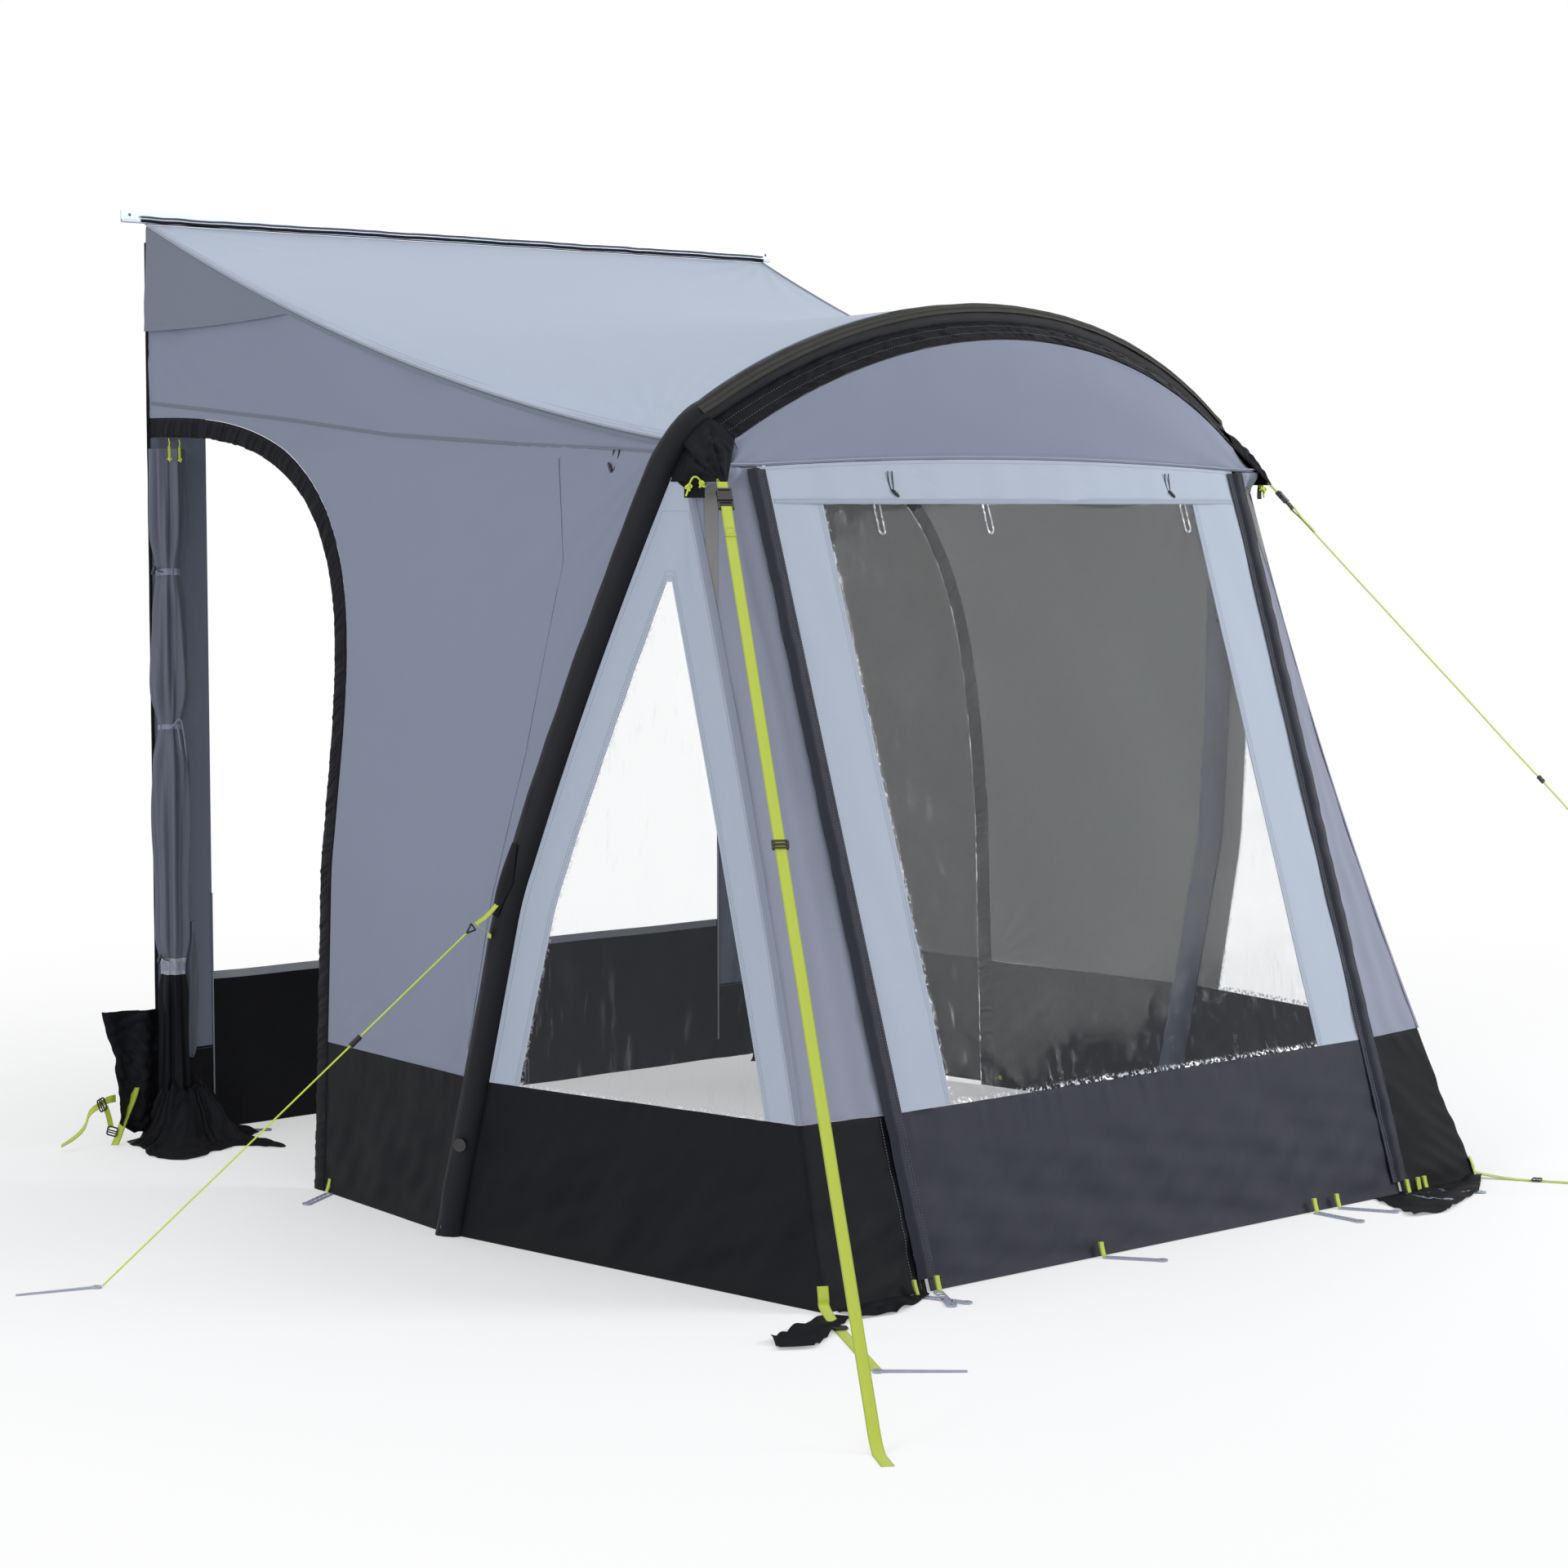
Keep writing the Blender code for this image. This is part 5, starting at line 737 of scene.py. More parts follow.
def roof_front(count=181):
    """Front edge of the roof, just behind and above the sleeve."""
    line, out = top_part(ROOF_SIDE_Z, count)
    share = np.abs(line[:, :1] / line[-1, 0]) ** 6
    lift = math.radians(45.0) * (1.0 - share)
    away = np.cos(lift) * ARCH_NORMAL + np.sin(lift) * out
    return line + (SLEEVE_RADIUS + CLOTH + 2.0 * GAP) * away


ROOF_FRONT = roof_front()
ROOF_START = np.array([0.0, -0.00766, 2.48795])
TOP_HALF, TOP_Y, TOP_Z = ROOF_FRONT[-1]


def roof_sag(across, along):
    return 4.0 * along * (1.0 - along) * (ROOF_EDGE_SAG + ROOF_MIDDLE_SAG * (1.0 - across ** 2))


def roof_edge(share):
    """Side edge of the roof over the right wall, from the rail (0) to the arch (1)."""
    share = np.asarray(share, float)
    y = lerp(ROOF_START[1], TOP_Y, share)
    z = lerp(ROOF_START[2], TOP_Z, share) - roof_sag(1.0, share)
    return np.stack([wall_half(y, z - 0.0075), y, z], axis=-1)


def front_edge(z):
    z = np.asarray(z, float)
    share = z / EDGE_TOP_Z
    bow = 4.0 * share * (1.0 - share)
    x = lerp(FRONT_HALF, EDGE_TOP_HALF, share) - EDGE_BOW_X * bow
    y = lerp(-FRONT_DEPTH, EDGE_TOP_Y, share) + EDGE_BOW_Y * bow
    return np.stack([x, y, z], axis=-1)


def on_front(x, z, proud=0.0):
    x, z = np.broadcast_arrays(np.asarray(x, float), np.asarray(z, float))
    flat = np.stack([x, -FRONT_DEPTH + FRONT_SLOPE * z, z], axis=-1)
    return flat + np.asarray(proud, float)[..., None] * FRONT_NORMAL


def header_z(x):
    """Height of the header seam, which rises a little towards the middle."""
    return HEADER_Z + HEADER_RISE * np.clip(1.0 - (np.asarray(x, float) / 0.83) ** 2, 0.0, 1.0)


def door_path(inset, rear, foot, turns=90, down=70):
    """Outline of a door in (depth, height): a squared-off quarter arch from the rear end of its top
    down to the spring line, then upright to the foot."""
    power = 2.0 / DOOR_SQUARENESS
    rise = DOOR_TOP - DOOR_SPRING
    turn = np.radians(90.0 * (1.0 - np.linspace(0.0, 1.0, turns) ** 0.9))
    c, t = np.maximum(np.cos(turn), 0.0), np.maximum(np.sin(turn), 0.0)
    spot = np.stack([DOOR_FRONT * c ** power, rise * t ** power], axis=1)
    slope = unit(np.stack([np.maximum(c, 1e-9) ** (2.0 - power) / DOOR_FRONT, t ** (2.0 - power) / rise], axis=1))
    spot = spot - slope * inset
    path = np.stack([-spot[:, 0], DOOR_SPRING + spot[:, 1]], axis=1)
    keep = path[:, 0] < -rear
    start = np.array([[-rear, np.interp(rear, -path[:, 0], path[:, 1])]])
    curve = resample(np.concatenate([start, path[keep]]), turns)
    legs = np.stack([np.full(down, -(DOOR_FRONT - inset)), np.linspace(DOOR_SPRING, foot, down + 1)[1:]], axis=1)
    return np.concatenate([curve, legs]), turns


make_camera()


# The stage

FLOOR_NEAR, FLOOR_FAR = 1.6, 6.5    # where the floor begins to fade into the white round it, and ends
FLOOR_GLOW = 0.35


def make_stage():
    """Pale floor and an even studio: white for the camera, soft light for the object."""
    f = Finish("studio_floor")
    spot = f.noise(f.place(), 0.6, 2.0)
    path = f.node("ShaderNodeLightPath")
    plain = f.node("ShaderNodeBsdfDiffuse", None, Color=f.mix(spot, (0.80, 0.80, 0.81), (0.82, 0.82, 0.83)))
    pale = f.node("ShaderNodeBsdfDiffuse", None, Color=f.mix(spot, (0.97, 0.97, 0.97), (0.99, 0.99, 0.99)))
    parts = f.node("ShaderNodeSeparateXYZ", None, Vector=f.place())
    x, y = f.value(parts.outputs[0]), f.value(parts.outputs[1])
    far = (((x * x + y * y) ** 0.5 - FLOOR_NEAR) * (1.0 / (FLOOR_FAR - FLOOR_NEAR))).clip()
    white = f.node("ShaderNodeEmission", None, Color=(1.0, 1.0, 1.0, 1.0), Strength=1.0)
    both = f.node("ShaderNodeMixShader", None, Fac=far * (2.0 - far) * (1.0 - FLOOR_GLOW) + FLOOR_GLOW)
    f.tree.links.new(pale.outputs[0], both.inputs[1])
    f.tree.links.new(white.outputs[0], both.inputs[2])
    seen = f.value(path.outputs["Is Camera Ray"]) + f.value(path.outputs["Is Glossy Ray"])
    seen = (seen + f.value(path.outputs["Is Transmission Ray"])).clip()
    share = f.node("ShaderNodeMixShader", None, Fac=seen)
    f.tree.links.new(plain.outputs[0], share.inputs[1])
    f.tree.links.new(both.outputs[0], share.inputs[2])
    finish = f.end(share.outputs[0])
    mesh = bpy.data.meshes.new("studio_floor")
    mesh.from_pydata([(-60, -60, 0), (60, -60, 0), (60, 60, 0), (-60, 60, 0)], [], [(0, 1, 2, 3)])
    mesh.materials.append(finish)
    floor = bpy.data.objects.new("studio_floor", mesh)
    bpy.context.scene.collection.objects.link(floor)
    world = bpy.data.worlds.new("studio")
    bpy.context.scene.world = world
    world.use_nodes = True
    tree = world.node_tree
    tree.nodes.clear()
    rays = tree.nodes.new("ShaderNodeLightPath")
    seen = Value(tree, rays.outputs["Is Camera Ray"]) + Value(tree, rays.outputs["Is Glossy Ray"])
    seen = (seen + Value(tree, rays.outputs["Is Transmission Ray"])).clip()
    soft, white = tree.nodes.new("ShaderNodeBackground"), tree.nodes.new("ShaderNodeBackground")
    soft.inputs[0].default_value, soft.inputs[1].default_value = (0.95, 0.97, 1.0, 1.0), 0.62
    white.inputs[0].default_value, white.inputs[1].default_value = (1.0, 1.0, 1.0, 1.0), 1.0
    share, out = tree.nodes.new("ShaderNodeMixShader"), tree.nodes.new("ShaderNodeOutputWorld")
    tree.links.new(seen.socket, share.inputs[0])
    tree.links.new(soft.outputs[0], share.inputs[1])
    tree.links.new(white.outputs[0], share.inputs[2])
    tree.links.new(share.outputs[0], out.inputs[0])


def area_light(name, place, aim, size, power, colour=(1.0, 1.0, 1.0)):
    lamp = bpy.data.lights.new(name, "AREA")
    lamp.shape, lamp.size, lamp.size_y = "RECTANGLE", size[0], size[1]
    lamp.energy, lamp.color = power, colour
    made = bpy.data.objects.new(name, lamp)
    bpy.context.scene.collection.objects.link(made)
    made.location = place
    made.rotation_euler = (Vector(aim) - Vector(place)).to_track_quat("-Z", "Y").to_euler()


def make_lights():
    area_light("key_light", (4.4, -4.4, 3.4), (0.2, -0.6, 1.0), (2.6, 2.4), 215.0)
    area_light("top_light", (-1.0, 0.5, 7.5), (0.0, 0.5, 0.0), (6.0, 6.0), 70.0)
    area_light("side_light", (-8.0, -1.0, 2.4), (0.0, 0.0, 0.9), (3.0, 3.0), 140.0)


make_stage()
make_lights()


# Guy line first, because its place is fixed by the solids

def make_guy_line():
    """The cord keeps a straight pull from the ring to the ground, with a sag of half a millimetre:
    start + run * span * s - 4 sag s (1 - s) in height."""
    half = float(leg_half(0.850))
    centre = np.array([-half, float(arch_y(0.850)), 0.850])
    end = np.array([-2.174, -1.537, 0.003])
    run = unit(end - centre)
    low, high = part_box("guy_line_left")
    start_along = (np.array(high)[2] - 0.850) / run[2]
    radius, sag, steps = 0.0020, 0.0006, 24
    start_along = (high[2] - radius * math.sqrt(1.0 - run[2] ** 2) - 0.850) / run[2]
    total = np.linalg.norm(end - centre)
    span = total - start_along - 0.0012
    s = np.linspace(0.0, 1.0, steps + 1)
    path = centre + run * (start_along + span * s)[:, None]
    path[:, 2] = np.maximum(path[:, 2] - 4.0 * sag * s * (1.0 - s), radius)
    path = path + SHIFT
    curve = bpy.data.curves.new("guy_line", "CURVE")
    curve.dimensions, curve.bevel_depth, curve.bevel_resolution, curve.use_fill_caps = "3D", radius, 4, True
    line = curve.splines.new("POLY")
    line.points.add(steps)
    for point, place in zip(line.points, path):
        point.co = (*place, 1.0)
    curve.materials.append(FINISH["cord"])
    made = bpy.data.objects.new("guy_line", curve)
    bpy.context.scene.collection.objects.link(made)
    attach(made, "awning")
    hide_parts("guy_line_left")
    return path


GUY_PATH = make_guy_line()


# Roof

def roof_points(rows=130, columns=181):
    """Saddle: straight lines from the rail to the arch, hung down by the two sags, then drawn out
    to the walls' edges row by row."""
    along = np.linspace(0.0, 1.0, rows)[:, None]
    across = (ROOF_FRONT[:, 0] / ROOF_FRONT[-1, 0])[None, :]
    rear = np.stack([across[0] * (REAR_HALF + 0.0033), np.full(columns, ROOF_START[1]),
                     np.full(columns, ROOF_START[2])], axis=1)
    points = lerp(rear[None], ROOF_FRONT[None], along[..., None])
    points[..., 2] -= roof_sag(across, along)
    edge = roof_edge(along[:, 0])[:, 0] + 0.0033
    points[..., 0] *= (edge / points[:, -1, 0])[:, None]
    return points


def make_roof():
    points = roof_points()
    rows, columns = points.shape[:2]
    u, v = spans(points)
    width, length = u[:, -1:], v[-1:, :]
    side = np.minimum(u, width - u)
    rear, front = v, v.max(axis=0, keepdims=True) - v
    normal = normals_of(points, (0, 0, 1))
    share_u = u / width
    relief = 0.0016 * puckers(u, rear, 3, 0.045, 0.10)
    relief += 0.0013 * puckers(u, front, 7, 0.050, 0.09)
    relief += 0.0012 * puckers(v, side, 11, 0.060, 0.05)
    relief += 0.0016 * waves(share_u * 1.8, v, 17, 0.75, 7, 2.0)
    for corner, seed in ((0.0, 23), (1.0, 29)):
        away_u, away_v = (share_u - corner) * width, front
        turn = np.arctan2(away_v, np.abs(away_u) + 1e-6)
        reach = np.hypot(away_u, away_v)
        relief += 0.0030 * np.sin(turn * 26.0 + seed) * smooth(reach / 0.12) * np.exp(-reach / 0.38)
        away_v = rear
        turn = np.arctan2(away_v, np.abs(away_u) + 1e-6)
        reach = np.hypot(away_u, away_v)
        relief += 0.0030 * np.sin(turn * 20.0 + seed) * smooth(reach / 0.12) * np.exp(-reach / 0.45)
    hem = smooth(np.minimum(side, np.minimum(rear, front)) / 0.012)
    moved = points + normal * (relief * hem)[..., None]
    roof = cloth("roof", moved, (0, 0, 1), "roof", "inside", "awning", sheet="stretched")
    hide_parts("roof_panel")
    return points


ROOF = make_roof()


def make_roof_edges():
    """Turned-down hem and corner flap of each side, the welt along the fold, and its stitches. The
    flap hangs from the edge by a fall that runs out over its length, and stands off the wall by
    a small share of that fall."""
    along = np.linspace(0.0, 1.0, 150)
    edge = roof_edge(along)
    share = np.clip(1.0 - np.abs(edge[:, 1]) / FLAP_LENGTH, 0.0, 1.0)
    drop = HEM_DROP + (FLAP_DROP - HEM_DROP) * share
    fall = np.linspace(0.0, 1.0, 26)[None, :]
    z = edge[:, 2:] - drop[:, None] * fall
    y = np.repeat(edge[:, 1:2], 26, axis=1)
    limit = arch_y(z) + (SLEEVE_RADIUS + 0.0034) / ARCH_NORMAL[1]
    y = np.maximum(y, limit)
    loose = 0.0028 * waves(y * 1.0, z, 5, 0.16, 7) * share[:, None] * fall
    out = np.maximum(wall_half(y, z), edge[:, :1]) + 0.0036 + 0.010 * share[:, None] * fall ** 1.5 + np.abs(loose)
    roll = 0.0035 * smooth(1.0 - fall * drop[:, None] / 0.006)
    for side, sign in (("left", -1.0), ("right", 1.0)):
        points = mirror(np.stack([out - roll, y, z + 0.0], axis=-1), sign)
        # the flap's finish carries painted shade in its colour
        flap = cloth("roof_flap_" + side, points, (sign, 0, 0), "flap", "inside", "awning",
                     0.0016, sheet="hung")
        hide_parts("roof_panel")
        welt = mirror(edge + np.array([0.0042, 0.0, 0.0022]), sign)
        tube("roof_welt_" + side, soften(welt, 3), 0.0024, 8, "hem", "awning")
        low = mirror(np.stack([out[:, -3] + 0.0004, y[:, -3], z[:, -3]], axis=-1)[:100], sign)
        stitches("flap_stitches_" + side, low, (sign, 0, 0), "thread", "awning")
    for k, inset in enumerate((0.012, 0.020)):
        for side, sign, column in (("left", -1.0, 0), ("right", 1.0, -1)):
            start = ROOF[:, column]
            inward = unit(ROOF[:, 3 if sign < 0 else -4] - start)
            up = normals_of(ROOF, (0, 0, 1))[:, column]
            stitches("roof_stitches_%s_%d" % (side, k), start + inward * inset + up * 0.0008, up, "thread", "awning")


make_roof_edges()


# Rail

def make_rail_finish():
    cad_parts["awning_rail"].data.materials.clear()
    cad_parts["awning_rail"].data.materials.append(FINISH["rail"])


def screw(name, place, body="rail"):
    """Pan head of a screw: a turned profile (radius, rise) carried round its axis, with a crossed
    recess let into the dome."""
    turns = np.linspace(0.0, 2.0 * math.pi, 24, endpoint=False)
    profile = np.array([(0.0, 0.0034), (0.0012, 0.0034), (0.0024, 0.0031), (0.0036, 0.0025), (0.0046, 0.0014),
                        (0.0050, 0.0004), (0.0050, 0.0)])
    rings = np.stack([profile[:, :1] * np.cos(turns), np.broadcast_to(-profile[:, 1:], (7, 24)),
                      profile[:, :1] * np.sin(turns)], axis=-1)
    recess = (np.abs(np.cos(turns)) < 0.26) | (np.abs(np.sin(turns)) < 0.26)
    rings[1:3, recess, 1] += 0.0012
    points = rings + np.asarray(place)
    points[0] = points[0].mean(axis=0)
    faces = quads(7, 24, 0, True)
    made = piece(name, points, faces[:, ::-1].tolist() + [list(range(144, 168))[::-1]], "steel", body,
                 sharp=30.0)
    tidy = bmesh.new()
    tidy.from_mesh(made.data)
    bmesh.ops.remove_doubles(tidy, verts=tidy.verts, dist=1e-5)
    bmesh.ops.recalc_face_normals(tidy, faces=tidy.faces)
    tidy.to_mesh(made.data)
    tidy.free()
    return made


make_rail_finish()
for end, x in (("left", -1.150), ("right", 1.122)):
    screw("rail_screw_" + end, (x, -0.0030, 2.512))


# Arch: sleeve, its zip, the gathered band and the gable

def make_sleeve():
    """Round sleeve on the arch's line. Its radius is the tube's plus wrinkles that run round it:
    many and deep on the inner side of the bends, faint elsewhere, and loose below the knee."""
    line, sides = arch_line(900), 56
    turns = np.linspace(0.0, 2.0 * math.pi, sides, endpoint=False)
    steps = np.concatenate([[0.0], np.cumsum(np.linalg.norm(np.diff(line, axis=0), axis=1))])
    bend = np.linalg.norm(np.gradient(unit(np.gradient(line, axis=0)), axis=0), axis=1)
    bend = np.convolve(bend / bend.max(), np.ones(25) / 25.0, "same")
    inner = np.clip(-np.cos(turns), 0.0, 1.0)[None, :] ** 1.2
    s = steps[:, None]
    wrinkle = noise1(s + 0.010 * np.sin(turns * 2.0), 41, 0.014) * (0.25 + 1.5 * bend[:, None])
    foot = np.exp(-line[:, 2:] / 0.22)
    radius = SLEEVE_RADIUS - 0.0010 + 0.0011 * wrinkle * (0.25 + inner) + \
        0.0028 * foot * noise1(s * 0.7 + turns[None, :] * 0.02, 43, 0.05) + 0.0006 * waves(s, turns * 0.04, 45, 0.12)
    radius = np.minimum(radius, SLEEVE_RADIUS + 0.0022)
    out = radial_of(line)
    rings = line[:, None] + radius[..., None] * (np.cos(turns)[None, :, None] * out[:, None]
                                                 + np.sin(turns)[None, :, None] * -ARCH_NORMAL)
    for end, other in ((0, 1), (-1, -2)):
        run = line[other] - line[end]
        rings[end] += ((0.0006 - rings[end][:, 2]) / run[2])[:, None] * run
    faces = quads(len(line), sides, 0, True)
    centre_out = rings[5, 0] - line[5]
    a, b, c = rings.reshape(-1, 3)[faces[5 * sides]][:3]
    if np.dot(np.cross(b - a, c - a), centre_out) < 0.0:
        faces = faces[:, ::-1]
        ends = [list(range(sides)), list(range((len(line) - 1) * sides, len(line) * sides))[::-1]]
    else:
        ends = [list(range(sides))[::-1], list(range((len(line) - 1) * sides, len(line) * sides))]
    uv = np.stack([np.broadcast_to(s, (len(line), sides)), np.broadcast_to(turns * SLEEVE_RADIUS, (len(line), sides))],
                  axis=-1)
    made = piece("sleeve", rings, faces.tolist() + ends, "leg", "awning", None, uv, 60.0)
    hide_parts("arch_sleeve")
    return line, out


def make_sleeve_zip(line, out):
    """Zip tape along the sleeve, between its top and its front, with a row of teeth and a stitched
    welt on each side."""
    low = np.argmax(line[:, 2] > 1.93), len(line) - np.argmax(line[::-1, 2] > 1.93)
    part, outward = line[low[0]:low[1]], out[low[0]:low[1]]
    front = -ARCH_NORMAL
    tilt = math.radians(38.0)
    up = math.cos(tilt) * outward + math.sin(tilt) * front
    side = -math.sin(tilt) * outward + math.cos(tilt) * front
    half = 0.0115
    shares = np.linspace(-1.0, 1.0, 9)
    lift = SLEEVE_RADIUS + 0.0026 - (shares * half) ** 2 / (2.0 * SLEEVE_RADIUS) + 0.0008 * (np.abs(shares) > 0.8)
    grid = part[:, None] + lift[None, :, None] * up[:, None] + (shares * half)[None, :, None] * side[:, None]
    wob = 0.0006 * noise1(np.arange(len(part)) * 0.0075, 51, 0.03)
    grid = grid + wob[:, None, None] * up[:, None]
    cloth("sleeve_zip_tape", grid, np.repeat(up[:, None], 9, axis=1), "tape", "tape", "awning", 0.0012)
    teeth = part + up * (SLEEVE_RADIUS + 0.0034)
    stitches("sleeve_zip_teeth", teeth, up, "dark_thread", "awning", 0.0022, 0.0010, 0.0042, 0.0007)
    for k, share in enumerate((-0.86, 0.86)):
        row = part + up * (SLEEVE_RADIUS + 0.0030 - 0.0013) + side * half * share
        stitches("sleeve_zip_stitches_%d" % k, row, up, "dark_thread", "awning")


LINE, OUTWARD = make_sleeve()
make_sleeve_zip(LINE, OUTWARD)


def gable_curves(count):
    """Rear and front edges of the gathered band, above its lowest height."""
    line, out = top_part(1.872, count)
    rear = line - ARCH_NORMAL * (SLEEVE_RADIUS + 0.0010)
    front = line - ARCH_NORMAL * (SLEEVE_RADIUS + GABLE_BAND_FORWARD) - out * GABLE_BAND_DROP
    return rear, front, out


def make_gable_band():
    """Elastic band gathered along its length: a swell across it, and ruffles that are deepest
    between its two sewn channels."""
    count, columns = 900, 20
    rear, front, out = gable_curves(count)
    t = np.linspace(0.0, 1.0, columns)[None, :]
    grid = lerp(rear[:, None], front[:, None], t[..., None])
    length = np.linalg.norm(np.diff(rear, axis=0), axis=1).sum()
    s = np.linspace(0.0, length, count)[:, None]
    normal = normals_of(grid, (0.0, -0.6, 1.0))
    hold = 1.0 - 0.75 * np.exp(-((t - 0.30) / 0.05) ** 2) - 0.75 * np.exp(-((t - 0.68) / 0.05) ** 2)
    ends = np.sin(math.pi * np.clip(t, 0.0, 1.0)) ** 0.5
    slant = s + 0.012 * np.sin(4.0 * math.pi * t + 3.0 * noise1(s, 63, 0.2))
    ruffle = noise1(slant, 61, 0.0095) + 0.6 * noise1(slant + 0.004 * t, 62, 0.021)
    lift = 0.0035 * ends + 0.0034 * ruffle * hold * (0.25 + 0.75 * ends) - 0.0012 * (1 - hold)
    grid = grid + normal * lift[..., None]
    made = cloth("gable_ruffle", grid, (0.0, -0.6, 1.0), "dark", "dark_inside", "awning", 0.0016,
                 sheet="gathered", sharp=80.0)
    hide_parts("gable_band")
    for k, column in enumerate((6, 13)):
        stitches("gable_ruffle_stitches_%d" % k, grid[:, column] + normal[:, column] * 0.0012, normal[:, column],
                 "thread", "awning", 0.0030, 0.0050, 0.0010)


def gable_grid(count=161, columns=34):
    """Grid from the band's front edge down to the header seam."""
    rear, front, out = gable_curves(count)
    top = front - out * 0.0032
    low = on_front(top[:, 0], header_z(top[:, 0]) + 0.0012, np.zeros(count))
    t = np.linspace(0.0, 1.0, columns)[None, :]
    grid = lerp(top[:, None], low[:, None], t[..., None])
    ends = abs(top[0, 0])
    swell = GABLE_SWELL * 4.0 * t * (1.0 - t) * (1.0 - (top[:, :1] / ends) ** 2)
    return grid + FRONT_NORMAL * swell[..., None]


WELT_RISE = 0.0048          # welt above the header seam, clear of the front panel as it swings out


def make_gable():
    """Gable cloth: a swelled panel with gathers below the band and above the seam, and long soft
    pulls that fan out from its two lower corners."""
    grid = gable_grid(260, 44)
    u, v = spans(grid)
    total = v.max(axis=0, keepdims=True)
    away_top, away_low = u, u.max(axis=1, keepdims=True) - u
    along = v
    normal = normals_of(grid, (0, -1, 0))
    relief = 0.0014 * puckers(along, away_top, 71, 0.030, 0.040) + 0.0010 * puckers(along, away_low, 73, 0.035, 0.035)
    relief += 0.0012 * waves(u, along, 75, 0.35, 8, 0.6)
    for corner, seed in ((0, 1.0), (1, 2.3)):
        d = np.abs(along - corner * total)
        turn = np.arctan2(away_low + 0.02, d + 0.02)
        relief += 0.0022 * np.sin(turn * 22.0 + seed) * np.exp(-np.hypot(away_low, d) / 0.30)
    hold = smooth(np.minimum(away_top, away_low) / 0.010)
    grid = grid + normal * (relief * hold)[..., None]
    made = cloth("gable", grid, (0, -1, 0), "grey", "inside", "awning", sheet="stretched")
    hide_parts("gable_panel")
    low = grid[:, -1]
    stitches("gable_stitches", grid[:, -3] + normal[:, -3] * 0.0006, normal[:, -3], "thread", "awning")
    welt = low + FRONT_NORMAL * 0.0012 + np.array([0.0, 0.0, WELT_RISE])
    tube("header_welt", soften(welt, 2), 0.0022, 8, "grey_welt", "awning")


make_gable_band()
make_gable()


# Side walls

SEAM_Y = np.array([-0.02, -0.6, -1.02, -1.5, -1.87, -2.005])
SEAM_Z = np.array([2.008, 1.955, 1.909, 1.880, 1.862, 1.854])
UPRIGHT_Z = np.array([1.845, 1.60, 1.15, 0.85, 0.45])
UPRIGHT_Y = arch_y(UPRIGHT_Z) + SLEEVE_RADIUS + np.array([0.34, 0.19, 0.087, 0.050, 0.035])

def wall_grid(columns=60):
    """Grid from the door's cut-out to the roof's edge and the leg: straight lines in depth and
    height, set on the wall's ruled surface."""
    path, turn = door_path(-GAP, 0.004, BAND_TOP + SEAM)
    share = np.linspace(0.0, 1.0, turn)
    edge = roof_edge(share)
    z = edge[:, 2] - 0.0075
    y = np.maximum(edge[:, 1], leg_side(z, -1.0)[:, 1])
    y[0] = -0.004
    top = np.stack([y, z], axis=1)
    heights = np.linspace(z[-1], BAND_TOP + SEAM, len(path) - turn + 1)[1:]
    leg = leg_side(heights, -1.0)[:, 1:]
    outer = np.concatenate([top, leg])
    t = np.linspace(0.0, 1.0, columns)[None, :, None]
    flat = lerp(path[:, None], outer[:, None], t)
    return on_wall(flat[..., 0], flat[..., 1]), turn


def make_wall(side, sign):
    """Wall cloth: gathers beside the door's trim, soft pulls from the shoulder and from the foot of
    the leg, and broad unevenness."""
    grid, turn = wall_grid()
    u, v = spans(grid)
    width = u.max(axis=1, keepdims=True)
    normal = normals_of(grid, (1, 0, 0))
    y, z = grid[..., 1], grid[..., 2]
    seed = 81 if sign < 0 else 91
    relief = 0.0015 * puckers(v, u, seed, 0.040, 0.035) + 0.0009 * puckers(v, width - u, seed + 3, 0.05, 0.05)
    relief += 0.0015 * waves(y, z, seed + 5, 0.55, 8, 0.6)
    for cy, cz, turns, reach, size in ((-2.02, 1.86, 26.0, 0.55, 0.0030), (-1.66, 0.38, 24.0, 0.40, 0.0026),
                                       (-0.96, 0.38, 20.0, 0.30, 0.0022), (-0.03, 2.20, 18.0, 0.45, 0.0022)):
        d = np.hypot(y - cy, z - cz)
        fan = np.sin(np.arctan2(z - cz, y - cy) * turns + seed)
        relief += size * fan * smooth(d / 0.10) * np.exp(-d / reach)
    seam = np.abs(z - np.interp(-y, -SEAM_Y, SEAM_Z)) * smooth((y + 2.3) / 0.1) + 1.0 - smooth((y + 2.3) / 0.1)
    upright = np.abs(y - np.interp(z, UPRIGHT_Z[::-1], UPRIGHT_Y[::-1]))
    hold = smooth(np.minimum(u, width - u) / 0.012) * smooth((z - BAND_TOP) / 0.012)
    hold = hold * (0.10 + 0.90 * smooth((seam - 0.006) / 0.05)) * (0.10 + 0.90 * smooth((upright - 0.004) / 0.04))
    grid = mirror(grid + normal * (relief * hold)[..., None], sign)
    made = cloth("wall_" + side, grid, (sign, 0, 0), "grey", "inside", "awning", sheet="stretched")
    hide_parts("side_wall_" + side)


